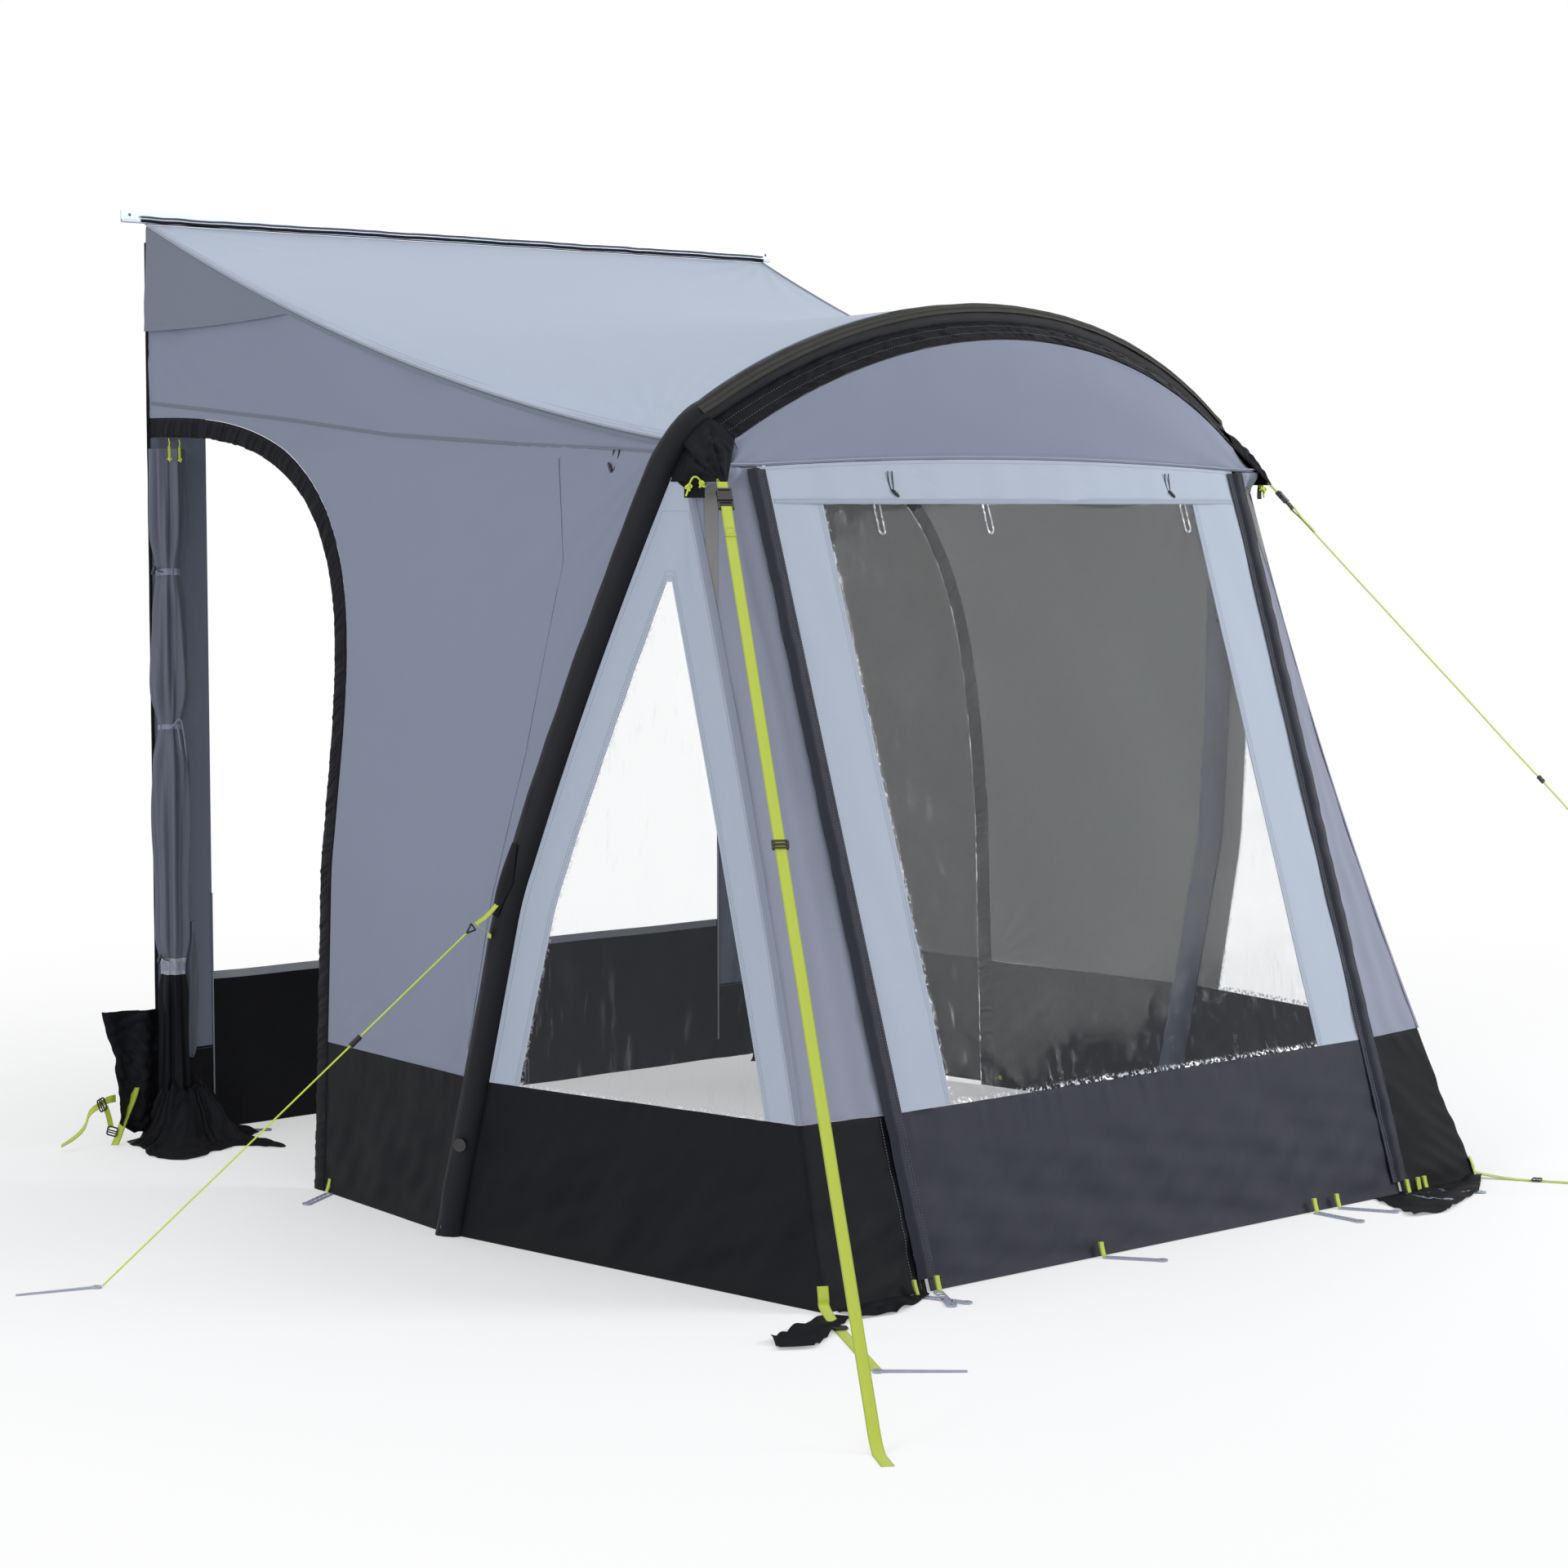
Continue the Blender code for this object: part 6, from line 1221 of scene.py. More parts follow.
def wall_strip(name, y, z, width, sign, finish, body="awning", proud=0.0012, stitched=True):
    """Tape sewn on the wall along a line of depths and heights, with a row of stitches near each
    edge."""
    y, z = resample(np.stack([y, z], axis=1), 160).T
    path = on_wall(y, z, proud)
    ahead = unit(np.gradient(path, axis=0))
    across = unit(np.cross(ahead, (1.0, 0.0, 0.0)))
    grid = ribbon_grid(path, across, width, 7)
    grid[..., 0] += 0.0006 * (1.0 - np.linspace(-1.0, 1.0, 7) ** 4) + 0.0004 * noise1(np.arange(160) * 0.012, 7, 0.05)[:, None]
    grid = mirror(grid, sign)
    cloth(name, grid, (sign, 0, 0), finish, finish, body, 0.0012)
    if stitched:
        for k, share in enumerate((-0.36, 0.36)):
            row = mirror(path + across * width * share, sign) + np.array([sign * 0.0006, 0.0, 0.0])
            stitches("%s_stitches_%d" % (name, k), row, (sign, 0, 0), "thread", body)


def door_edge(inset, count, rear=0.006, foot=0.0):
    path, turn = door_path(inset, rear, foot)
    return resample(path, count)


def make_trim(side, sign):
    """Elastic trim: a swelled band round the cut-out whose gathers deepen from the sewn edge to
    the free edge, which wavers in and out."""
    count, columns = 820, 14
    outer, inner = door_edge(GAP, count), door_edge(TRIM_WIDTH, count)
    seed = 101 if sign < 0 else 111
    s = np.linspace(0.0, np.linalg.norm(np.diff(outer, axis=0), axis=1).sum(), count)
    t = np.linspace(0.0, 1.0, columns)[None, :]
    inward = unit(inner - outer)
    waver = 0.0020 * noise1(s, seed, 0.014) + 0.0015 * noise1(s, seed + 1, 0.05)
    inner = inner + inward * np.minimum(waver, 0.0)[:, None]
    flat = lerp(outer[:, None], inner[:, None], t[..., None])
    slant = s[:, None] + 0.006 * np.sin(3.0 * t + 2.0 * noise1(s, seed + 2, 0.1)[:, None])
    gather = noise1(slant, seed + 3, 0.0085) + 0.5 * noise1(slant, seed + 4, 0.019)
    lift = 0.0010 + 0.0042 * np.sin(math.pi * t) ** 0.6 + 0.0026 * gather * smooth(t / 0.25) * smooth((1.03 - t) / 0.12)
    grid = on_wall(flat[..., 0], flat[..., 1])
    grid[..., 0] += np.maximum(lift, 0.0006)
    grid = mirror(grid, sign)
    made = cloth("door_trim_cloth_" + side, grid, (sign, 0, 0), "dark", "dark_inside", "awning", 0.0026,
                 floor=0.0, sheet="gathered", sharp=80.0)
    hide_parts("door_trim_" + side)
    row = mirror(on_wall(lerp(outer, inner, 0.13)[:, 0], lerp(outer, inner, 0.13)[:, 1], 0.0046), sign)
    stitches("door_trim_stitches_" + side, soften(row, 3), (sign, 0, 0), "dark_thread", "awning")


def make_band_rear(side, sign):
    """Lower band between the door and the leg, pleated under its seam, slack towards the ground."""
    z = np.linspace(0.0, BAND_TOP, 60)
    door = on_wall(np.full(60, -(DOOR_FRONT + GAP)), z)
    leg = leg_side(z, -1.0)
    t = np.linspace(0.0, 1.0, 110)[None, :, None]
    grid = lerp(door[:, None], leg[:, None], t)
    finish_band("band_rear_cloth_" + side, grid, (1, 0, 0), sign, "band_rear_" + side, 121 if sign < 0 else 127)


def finish_band(name, grid, hint, sign, node, seed, body="awning"):
    """Relief of a lower band: short pleats that hang from the seam, slanted slack folds, and a
    lower edge that wavers along the ground."""
    u, v = spans(grid)
    z = grid[..., 2]
    normal = normals_of(grid, hint)
    down = BAND_TOP - z
    relief = 0.0026 * puckers(u, down, seed, 0.022, 0.055) + 0.0030 * puckers(u, down, seed + 1, 0.075, 0.16)
    slack = smooth(down / 0.20) * smooth(z / 0.05)
    relief += 0.0028 * slack * waves(u + 0.5 * z, z, seed + 2, 0.24, 8, 0.8)
    relief += 0.0012 * slack * waves(u - 0.8 * z, z, seed + 3, 0.09, 8, 1.2)
    ends = np.minimum(u, u.max(axis=1, keepdims=True) - u)
    hold = smooth(down / 0.008) * smooth(ends / 0.014)
    grid = grid + normal * (relief * hold)[..., None]
    grid[..., 2] = np.clip(grid[..., 2], 0.0008, BAND_TOP)
    hem = smooth(1.0 - z / 0.020) * 0.0015
    grid = grid + normal * (hem * hold)[..., None]
    grid = mirror(grid, sign)
    hint = np.asarray(hint, float) * np.array([sign, 1.0, 1.0])
    # the front band takes the painted-lit copy of the dark cloth
    made = cloth(name, grid, hint, "lit" if body == "front" else "dark", "dark_inside", body, floor=0.0006,
                 sheet="stretched")
    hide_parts(node)
    return made


for SIDE, SIGN in (("left", -1.0), ("right", 1.0)):
    make_wall(SIDE, SIGN)
    wall_strip("wall_tape_" + SIDE, SEAM_Y, SEAM_Z, 0.009, SIGN, "grey_tape", stitched=False)
    wall_strip("wall_seam_" + SIDE, UPRIGHT_Y, UPRIGHT_Z, 0.005, SIGN, "grey", stitched=False)
    make_trim(SIDE, SIGN)
    make_band_rear(SIDE, SIGN)


# Bays, corners and the front

def bay_apex():
    z = np.linspace(BAND_TOP, EDGE_TOP_Z, 400)
    width = np.linalg.norm(front_edge(z) - leg_side(z, 1.0), axis=1)
    return float(np.interp(-(2.0 * BAY_FRAME + BAY_APEX), -width, z))


def make_bay(side, sign):
    """Frame of pale cloth: outline of the bay ruled to the outline of its triangular window, with
    puckers along both, and a film pane that crinkles along its seams."""
    apex, half = bay_apex(), 90
    low = BAND_TOP + SEAM
    inner_z, outer_z = np.linspace(low, apex, half), np.linspace(low, EDGE_TOP_Z - 0.02, half)

    def inset(z, from_leg):
        leg, corner = leg_side(z, 1.0), front_edge(z)
        width = np.linalg.norm(corner - leg, axis=1, keepdims=True)
        share = BAY_FRAME / width if from_leg else 1.0 - BAY_FRAME / width
        return lerp(leg, corner, share)

    inner = np.concatenate([inset(inner_z, True), inset(inner_z[::-1], False)])
    leg, corner = leg_side(outer_z, 1.0), front_edge(outer_z)
    corner = corner + unit(leg - corner) * 0.0024
    outer = np.concatenate([leg, corner[::-1]])
    t = np.linspace(0.0, 1.0, 16)[None, :, None]
    frame_grid = lerp(inner[:, None], outer[:, None], t)
    u, v = spans(frame_grid)
    width = u.max(axis=1, keepdims=True)
    normal = normals_of(frame_grid, (1.0, -0.2, 0.0))
    seed = 131 if sign < 0 else 137
    relief = 0.0016 * puckers(v, u, seed, 0.030, 0.030) + 0.0013 * puckers(v, width - u, seed + 1, 0.035, 0.035)
    relief += 0.0010 * waves(u, v, seed + 2, 0.22, 8, 0.4)
    hold = smooth(np.minimum(u, width - u) / 0.006) * smooth((frame_grid[..., 2] - low) / 0.012)
    points = mirror(frame_grid + normal * (relief * hold)[..., None], sign)
    hint = np.array([sign, -0.2, 0.0])
    made = cloth("bay_frame_" + side, points, hint, "pale", "inside", "awning", sheet="stretched")
    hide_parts("bay_panel_" + side)
    for k, column in enumerate((1, 2)):
        stitches("bay_stitches_%s_%d" % (side, k), points[:, column] + hint * 0.0006, hint, "thread", "awning")
    for k, column in enumerate((13,)):
        stitches("bay_edge_stitches_%s_%d" % (side, k), points[:, column] + hint * 0.0006, hint, "thread", "awning")
    z = np.linspace(low, apex, 110)
    a, b = inset(z, True), inset(z, False)
    s = np.linspace(0.0, 1.0, 90)[None, :, None]
    run = unit(b - a)
    pane = lerp((a + run * GAP)[:, None], (b - run * GAP)[:, None], s)
    make_film("bay_pane_" + side, pane, (1.0, -0.2, 0.0), sign, "bay_window_" + side, 141 if sign < 0 else 149,
              "awning")


def make_film(name, pane, hint, sign, node, seed, body):
    """Film: shallow creases that fade away from its seams, and straight crease lines across it,
    each a ridge that falls off with the distance to a random line."""
    u, v = spans(pane)
    width, length = u.max(axis=1, keepdims=True), v.max(axis=0, keepdims=True)
    normal = normals_of(pane, hint)
    sides, low = np.minimum(u, width - u), v
    top = length - v
    relief = 0.0012 * puckers(v, sides, seed, 0.022, 0.030) + 0.0030 * puckers(u, low, seed + 1, 0.022, 0.050)
    relief += 0.0012 * puckers(u, top, seed + 2, 0.020, 0.030) + 0.0010 * waves(u, v, seed + 3, 0.50, 8)
    rng = np.random.default_rng(seed)
    for _ in range(26):
        turn, place = rng.uniform(0, math.pi), rng.uniform(0, 1, 2)
        mid = (place[0] * float(width.max()), place[1] * float(length.max()))
        across = (u - mid[0]) * math.sin(turn) - (v - mid[1]) * math.cos(turn)
        along = (u - mid[0]) * math.cos(turn) + (v - mid[1]) * math.sin(turn)
        reach = rng.uniform(0.06, 0.24)
        fade = np.exp(-np.maximum(low, 0.0) / 0.35)
        relief += rng.uniform(0.0006, 0.0016) * fade * np.exp(-np.abs(across) / 0.010) * np.exp(-(along / reach) ** 2)
    hold = smooth(np.minimum(np.minimum(sides, low), top) / 0.008)
    grid = mirror(pane + normal * (relief * hold)[..., None], sign)
    hint = np.asarray(hint, float) * np.array([sign, 1.0, 1.0])
    made = cloth(name, grid, hint, "film", "film", body, 0.0006, sheet="stretched", sharp=70.0)
    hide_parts(node)
    return grid


GABLE_END = 0.925        # half width of the gable at the header seam


def make_corner(side, sign):
    """Corner cloth from the folded edge to the zip, with upright pleats that die out towards its middle, a thin darker
    wedge on it that is painted shade where the cloth is doubled inside, and a welt over the folded edge."""
    z_zip = np.linspace(BAND_TOP + SEAM, HEADER_Z - 0.002, 150)
    edge, zips = front_edge(z_zip), on_front(np.full(150, ZIP_HALF + ZIP_SLOT / 2.0 + 0.0014), z_zip, np.zeros(150))
    head = smooth((z_zip - EDGE_TOP_Z + 0.004) / (HEADER_Z - EDGE_TOP_Z))[:, None]
    edge = lerp(edge, on_front(np.full(150, GABLE_END), z_zip, np.zeros(150)), head)
    edge = edge + unit(zips - edge) * 0.0024
    t = np.linspace(0.0, 1.0, 34)[None, :, None]
    grid = lerp(edge[:, None], zips[:, None], t)
    u, v = spans(grid)
    width = u.max(axis=1, keepdims=True)
    normal = normals_of(grid, (0.3, -1.0, 0.0))
    seed = 151 if sign < 0 else 157
    relief = 0.0013 * puckers(v, u, seed, 0.05, 0.03) + 0.0013 * puckers(v, width - u, seed + 1, 0.05, 0.03)
    relief += 0.0022 * np.sin(2 * math.pi * (u / width) * 2.6 + 0.8 * noise1(v, seed + 2, 0.5))
    relief += 0.0010 * waves(u, v, seed + 3, 0.30, 8, 0.3)
    hold = smooth(np.minimum(u, width - u) / 0.010) * smooth((grid[..., 2] - BAND_TOP) / 0.012)
    points = mirror(grid + normal * (relief * hold)[..., None], sign)
    hint = np.array([0.3 * sign, -1.0, 0.0])
    made = cloth("corner_cloth_" + side, points, hint, "grey_light", "inside", "awning",
                 sheet="stretched")
    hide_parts("corner_panel_" + side)
    # painted shade: a thin darker sheet laid on the corner's cloth where the doubled cloth inside shows darker
    rows = (z_zip > WEDGE_FOOT) & (z_zip < EDGE_TOP_Z + 0.016)
    drop = EDGE_TOP_Z - z_zip[rows, None]
    share = lerp(np.clip(0.19 - 1.15 * drop, 0.012, 1.0), np.clip(0.40 - 1.33 * drop, 0.020, 1.0), np.linspace(0, 1, 7)[None])
    place = np.clip(share * 33.0, 0.0, 32.999)
    whole = np.floor(place).astype(int)
    lifted = grid + normal * (relief * hold)[..., None]
    near = np.take_along_axis(lifted[rows], whole[..., None], axis=1)
    far = np.take_along_axis(lifted[rows], whole[..., None] + 1, axis=1)
    wedge = lerp(near, far, (place - whole)[..., None]) + normal[rows][:, :1] * 0.0014
    cloth("corner_facing_" + side, mirror(wedge, sign), hint, "painted_shade_wedge", "painted_shade_wedge", "awning", 0.0010)
    heights = np.linspace(BAND_TOP + SEAM, EDGE_TOP_Z, 170)
    fold, leg = front_edge(heights), leg_side(heights, 1.0)
    zip_line = on_front(np.full(170, ZIP_HALF), heights, np.zeros(170))
    rear, ahead = unit(leg - fold), unit(zip_line - fold)
    out = -unit(rear + ahead)
    columns = [fold + rear * 0.010 + out * 0.0030, fold + rear * 0.003 + out * 0.0034, fold + out * 0.0032,
               fold + ahead * 0.003 + out * 0.0034, fold + ahead * 0.010 + out * 0.0038]
    welt = mirror(np.stack(columns, axis=1), sign)
    cloth("corner_welt_" + side, welt, np.broadcast_to(mirror(out, sign)[:, None], welt.shape), "grey_light", "grey_light",
          "awning", 0.0012, sharp=80.0)
    for k, reach in enumerate((0.009, 0.018)):
        row = mirror(fold + ahead * reach + out * (0.0042 if k == 0 else 0.0030), sign)
        stitches("corner_stitches_%s_%d" % (side, k), row, hint, "thread", "awning")


WEDGE_FOOT = 1.462       # lower end of the doubled cloth inside the corner


def make_band_side(side, sign):
    """Lower band from the leg round the folded corner to the zip."""
    z = np.linspace(0.0, BAND_TOP, 60)
    leg, edge = leg_side(z, 1.0), front_edge(z)
    zips = on_front(np.full(60, ZIP_HALF + ZIP_SLOT / 2.0), z, np.zeros(60))
    t = np.linspace(0.0, 1.0, 150)[None, :, None]
    first = lerp(leg[:, None], edge[:, None], t)
    s = np.linspace(0.0, 1.0, 44)[None, :, None]
    second = lerp(edge[:, None], zips[:, None], s)[:, 1:]
    grid = np.concatenate([first, second], axis=1)
    for _ in range(3):
        part = grid[:, 140:160]
        part[:, 1:-1] = part[:, 1:-1] * 0.5 + (part[:, :-2] + part[:, 2:]) * 0.25
    hint = np.zeros_like(grid)
    hint[:, :150, 0], hint[:, 150:, 1] = 1.0, -1.0
    u, v = spans(grid)
    normal = normals_of(grid, hint)
    seed = 161 if sign < 0 else 167
    down = BAND_TOP - grid[..., 2]
    relief = 0.0026 * puckers(u, down, seed, 0.022, 0.055) + 0.0030 * puckers(u, down, seed + 1, 0.075, 0.16)
    slack = smooth(down / 0.20) * smooth(grid[..., 2] / 0.05)
    relief += 0.0030 * slack * waves(u + 0.5 * grid[..., 2], grid[..., 2], seed + 2, 0.26, 8, 0.8)
    relief += 0.0012 * slack * waves(u - 0.8 * grid[..., 2], grid[..., 2], seed + 3, 0.09, 8, 1.2)
    ends = np.minimum(u, u.max(axis=1, keepdims=True) - u)
    hold = smooth(down / 0.008) * smooth(ends / 0.014)
    grid = grid + normal * (relief * hold)[..., None]
    grid[..., 2] = np.clip(grid[..., 2], 0.0008, BAND_TOP)
    points = mirror(grid, sign)
    hint = hint * np.array([sign, 1.0, 1.0])
    made = cloth("band_side_cloth_" + side, points, hint, "dark", "dark_inside", "awning", floor=0.0006,
                 sheet="stretched")
    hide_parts("band_side_" + side)
    for k, column in enumerate((-3, -6)):
        stitches("band_side_stitches_%s_%d" % (side, k), points[:, column] + FRONT_NORMAL * 0.0006, FRONT_NORMAL,
                 "thread", "awning")


PANEL_HALF = ZIP_HALF - ZIP_SLOT / 2.0


def make_front():
    """Front panel: a grid in width and height on the front plane with the window left out, its top
    edge on the curved header seam, gathered under that seam and above the window."""
    low = BAND_TOP + SEAM
    count = 60
    side_z = np.linspace(low, WINDOW_TOP, count)
    inner = [(-WINDOW_HALF, z) for z in side_z] + [(x, WINDOW_TOP) for x in np.linspace(-WINDOW_HALF, WINDOW_HALF, 122)[1:-1]]
    inner += [(WINDOW_HALF, z) for z in side_z[::-1]]
    inner = np.array(inner)
    top_z = float(header_z(PANEL_HALF)) - GAP
    outer = [(-PANEL_HALF, z) for z in np.linspace(low, top_z, count)]
    outer += [(x, float(header_z(x)) - GAP) for x in np.linspace(-PANEL_HALF, PANEL_HALF, 122)[1:-1]]
    outer += [(PANEL_HALF, z) for z in np.linspace(low, top_z, count)[::-1]]
    outer = np.array(outer)
    t = np.linspace(0.0, 1.0, 26)[None, :, None]
    flat = lerp(inner[:, None], outer[:, None], t)
    grid = on_front(flat[..., 0], flat[..., 1], np.zeros(flat.shape[:2]))
    u, v = spans(grid)
    width = u.max(axis=1, keepdims=True)
    relief = 0.0022 * puckers(v, width - u, 171, 0.028, 0.035) + 0.0016 * puckers(v, u, 173, 0.026, 0.022)
    relief += 0.0011 * waves(flat[..., 0], flat[..., 1], 175, 0.30, 8, 0.5)
    hold = smooth(np.minimum(u, width - u) / 0.006) * smooth((flat[..., 1] - low) / 0.010)
    grid = grid + FRONT_NORMAL * (relief * hold)[..., None]
    hint = np.broadcast_to(FRONT_NORMAL, grid.shape)
    made = cloth("front_cloth", grid, hint, "pale", "inside", "front", sheet="stretched")
    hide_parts("front_panel")
    for k, column in enumerate((1, 2, 23)):
        stitches("front_stitches_%d" % k, grid[:, column] + FRONT_NORMAL * 0.0007, FRONT_NORMAL, "thread", "front")
    z = np.linspace(low, WINDOW_TOP - GAP, 170)[:, None]
    x = np.linspace(-(WINDOW_HALF - GAP), WINDOW_HALF - GAP, 150)[None, :]
    pane = on_front(x + 0.0 * z, z + 0.0 * x, np.zeros((170, 150)))
    make_film("front_pane", pane, FRONT_NORMAL, 1.0, "front_window", 179, "front")
    z = np.linspace(0.0, BAND_TOP, 60)[:, None]
    x = np.linspace(-PANEL_HALF, PANEL_HALF, 240)[None, :]
    band = on_front(x + 0.0 * z, z + 0.0 * x, np.zeros((60, 240)))
    finish_band("band_front_cloth", band, FRONT_NORMAL, 1.0, "band_front", 181, "front")


def make_zip_cover(side, sign):
    """Zip cover: a strip sewn on the front panel that arches over the zip; its profile across is
    the solid's, softened, and it ripples along its free edge."""
    rows, columns = 220, 14
    z = np.linspace(0.028, HEADER_Z - 0.006, rows)[:, None]
    share = np.linspace(0.0, 1.0, columns)[None, :]
    proud = np.interp(share, (0.0, 0.27, 0.36, 0.5, 0.64, 0.80, 1.0), (0.0004, 0.0006, 0.0060, 0.0098, 0.0098, 0.0055, 0.0014))
    seed = 191 if sign < 0 else 197
    x = sign * (PANEL_HALF - 0.0215 + 0.055 * share) + 0.0 * z
    ripple = 0.0016 * noise1(z + 0.02 * share, seed, 0.030) * smooth(share / 0.3) + \
        0.0010 * waves(z + 0.0 * share, share * 0.05, seed + 1, 0.09, 7)
    grid = on_front(x, z + 0.0 * share, np.maximum(proud + 0.0030 + ripple * smooth(share / 0.2), 0.0030))
    hint = np.broadcast_to(FRONT_NORMAL, grid.shape)
    made = cloth("zip_cover_cloth_" + side, grid, hint, "cover", "dark_inside", "front", 0.0014,
                 sheet="stretched")
    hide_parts("zip_cover_" + side)
    for k, column in enumerate((1, 3)):
        stitches("zip_cover_stitches_%s_%d" % (side, k), grid[:, column] + FRONT_NORMAL * 0.0006, FRONT_NORMAL,
                 "thread", "front")
    zip_z = np.linspace(0.03, HEADER_Z - 0.02, 90)
    for k, (edge, body) in enumerate(((-1.0, "front"), (1.0, "awning"))):
        base = on_front(np.full(90, sign * (ZIP_HALF + edge * (ZIP_SLOT / 2.0 - 0.0012))), zip_z, np.full(90, -0.0010))
        stitches("zip_teeth_%s_%d" % (side, k), base, FRONT_NORMAL, "dark_thread", body, 0.0020, 0.0010,
                 0.0022, 0.0008)


for SIDE, SIGN in (("left", -1.0), ("right", 1.0)):
    make_bay(SIDE, SIGN)
    make_corner(SIDE, SIGN)
    make_band_side(SIDE, SIGN)
    make_zip_cover(SIDE, SIGN)
make_front()


# Rear: pillars, leaf, curtain, skirt and loose flaps

def make_pillar(side, sign):
    """Pad at the caravan's wall: its back is flat, its front swells by a sine across and carries
    faint upright folds. A dark cuff covers its foot, and a pale piping runs down its inner edge."""
    for part, low, high, finish, slot, rows in (("pad", CUFF_TOP, PILLAR_TOP, "grey", "grey_cloth", 190),
                                                ("cuff", 0.0, CUFF_TOP, "dark", "dark_cloth", 40)):
        z = np.linspace(low, high, rows)[:, None]
        s = np.linspace(0.0, 1.0, 26)[None, :]
        x = REAR_HALF - CLOTH - 0.0010 - PILLAR_WIDTH * s + 0.0 * z
        fold = 0.0016 * waves(s * PILLAR_WIDTH, z, 301, 0.16, 8, 0.35) + 0.0010 * waves(s * 0.2, z, 303, 0.05, 6, 0.2)
        swell = np.maximum(0.0075 * np.sin(math.pi * s) ** 0.8 + fold * np.sin(math.pi * s), 0.0)
        y = -(0.0016 + CLOTH + swell)
        front = mirror(np.stack([x, y, z + 0.0 * s], axis=-1), sign)
        back = mirror(np.stack([x, np.full_like(x, -0.0016), z + 0.0 * s], axis=-1), sign)
        made = cloth("pillar_%s_%s" % (part, side), front, (0, -1, 0), finish, finish, "awning", back=back)
        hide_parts("rear_pillar_" + side)
        if part == "cuff":
            row = mirror(np.stack([x[-1], y[-1] - 0.0006, np.full(26, CUFF_TOP - 0.006)], axis=-1), sign)
            stitches("pillar_stitches_" + side, row, (0, -1, 0), "thread", "awning")
    inner = REAR_HALF - CLOTH - 0.0010 - PILLAR_WIDTH
    path = np.stack([np.full(60, sign * (inner + 0.0012)), np.full(60, -0.0066), np.linspace(0.06, 0.66, 60)], axis=1)
    tube("pillar_piping_" + side, path, 0.0024, 8, "hem", "awning")
    heights = np.linspace(0.31, 2.44, 120)
    edge = np.stack([wall_half(0.0, heights) + 0.0022, np.full(120, -0.0046), heights], axis=1)
    edge[:, 0] += 0.0006 * noise1(heights, 307, 0.09)
    tube("wall_binding_" + side, mirror(edge, sign), 0.0043, 10, "dark", "awning")


CUFF_TOP = 0.235


def make_leaf():
    """Closed leaf on the wall's surface, ruled from its hinge line to the edge of the cut-out, with
    soft upright pulls. Its lower part is dark."""
    path, _ = door_path(TRIM_WIDTH + SEAM, LEAF_HINGE + 0.010, LEAF_FOOT)
    path = path[::-1]
    rear = np.stack([np.full(len(path), -LEAF_HINGE), np.linspace(LEAF_FOOT, path[-1, 1], len(path))], axis=1)
    t = np.linspace(0.0, 1.0, 60)[None, :, None]
    flat = lerp(rear[:, None], path[:, None], t)
    grid = on_wall(flat[..., 0], flat[..., 1])
    u, v = spans(grid)
    width = u.max(axis=1, keepdims=True)
    hold = smooth(np.minimum(u, width - u) / 0.05) * smooth((grid[..., 2] - LEAF_FOOT) / 0.04)
    relief = 0.0022 * waves(grid[..., 1], grid[..., 2], 311, 0.40, 8, 0.4) - 0.0022
    grid = grid + normals_of(grid, (1, 0, 0)) * (relief * hold)[..., None]
    made = cloth("leaf_cloth", grid, (1, 0, 0), "leaf", "leaf_inside", "door_leaf", sheet="stretched")
    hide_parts("door_panel_right")
    edge, _ = door_path(TRIM_WIDTH + SEAM + 0.0016, LEAF_HINGE + 0.012, LEAF_FOOT + 0.004)
    teeth = on_wall(edge[:, 0], edge[:, 1], 0.0004)
    stitches("leaf_zip_teeth", teeth, (1, 0, 0), "dark_thread", "door_leaf", 0.0022, 0.0010, 0.0034, 0.0006)
    y = np.linspace(-0.045, -0.895, 60)
    wall_strip("leaf_seam", y, np.full(60, 0.385), 0.010, 1.0, "dark", "door_leaf", 0.0010)


def curtain_radius(z):
    """Column's radius: less where a tie draws it in, a little more just above and below a tie."""
    drawn = sum(np.exp(-((z - tie) / 0.060) ** 2) for tie in (1.55, 1.13, 0.47))
    loose = 0.06 * np.sin(z * 7.0 + 0.6) + 0.05 * np.sin(z * 16.0)
    size = 0.0455 - 0.0085 * smooth((0.47 - z) / 0.10)
    return size * (1.0 - 0.30 * drawn * smooth((z - 0.35) / 0.10) + loose * (1.0 - np.clip(drawn, 0.0, 1.0))), \
        np.clip(drawn, 0.0, 1.0)


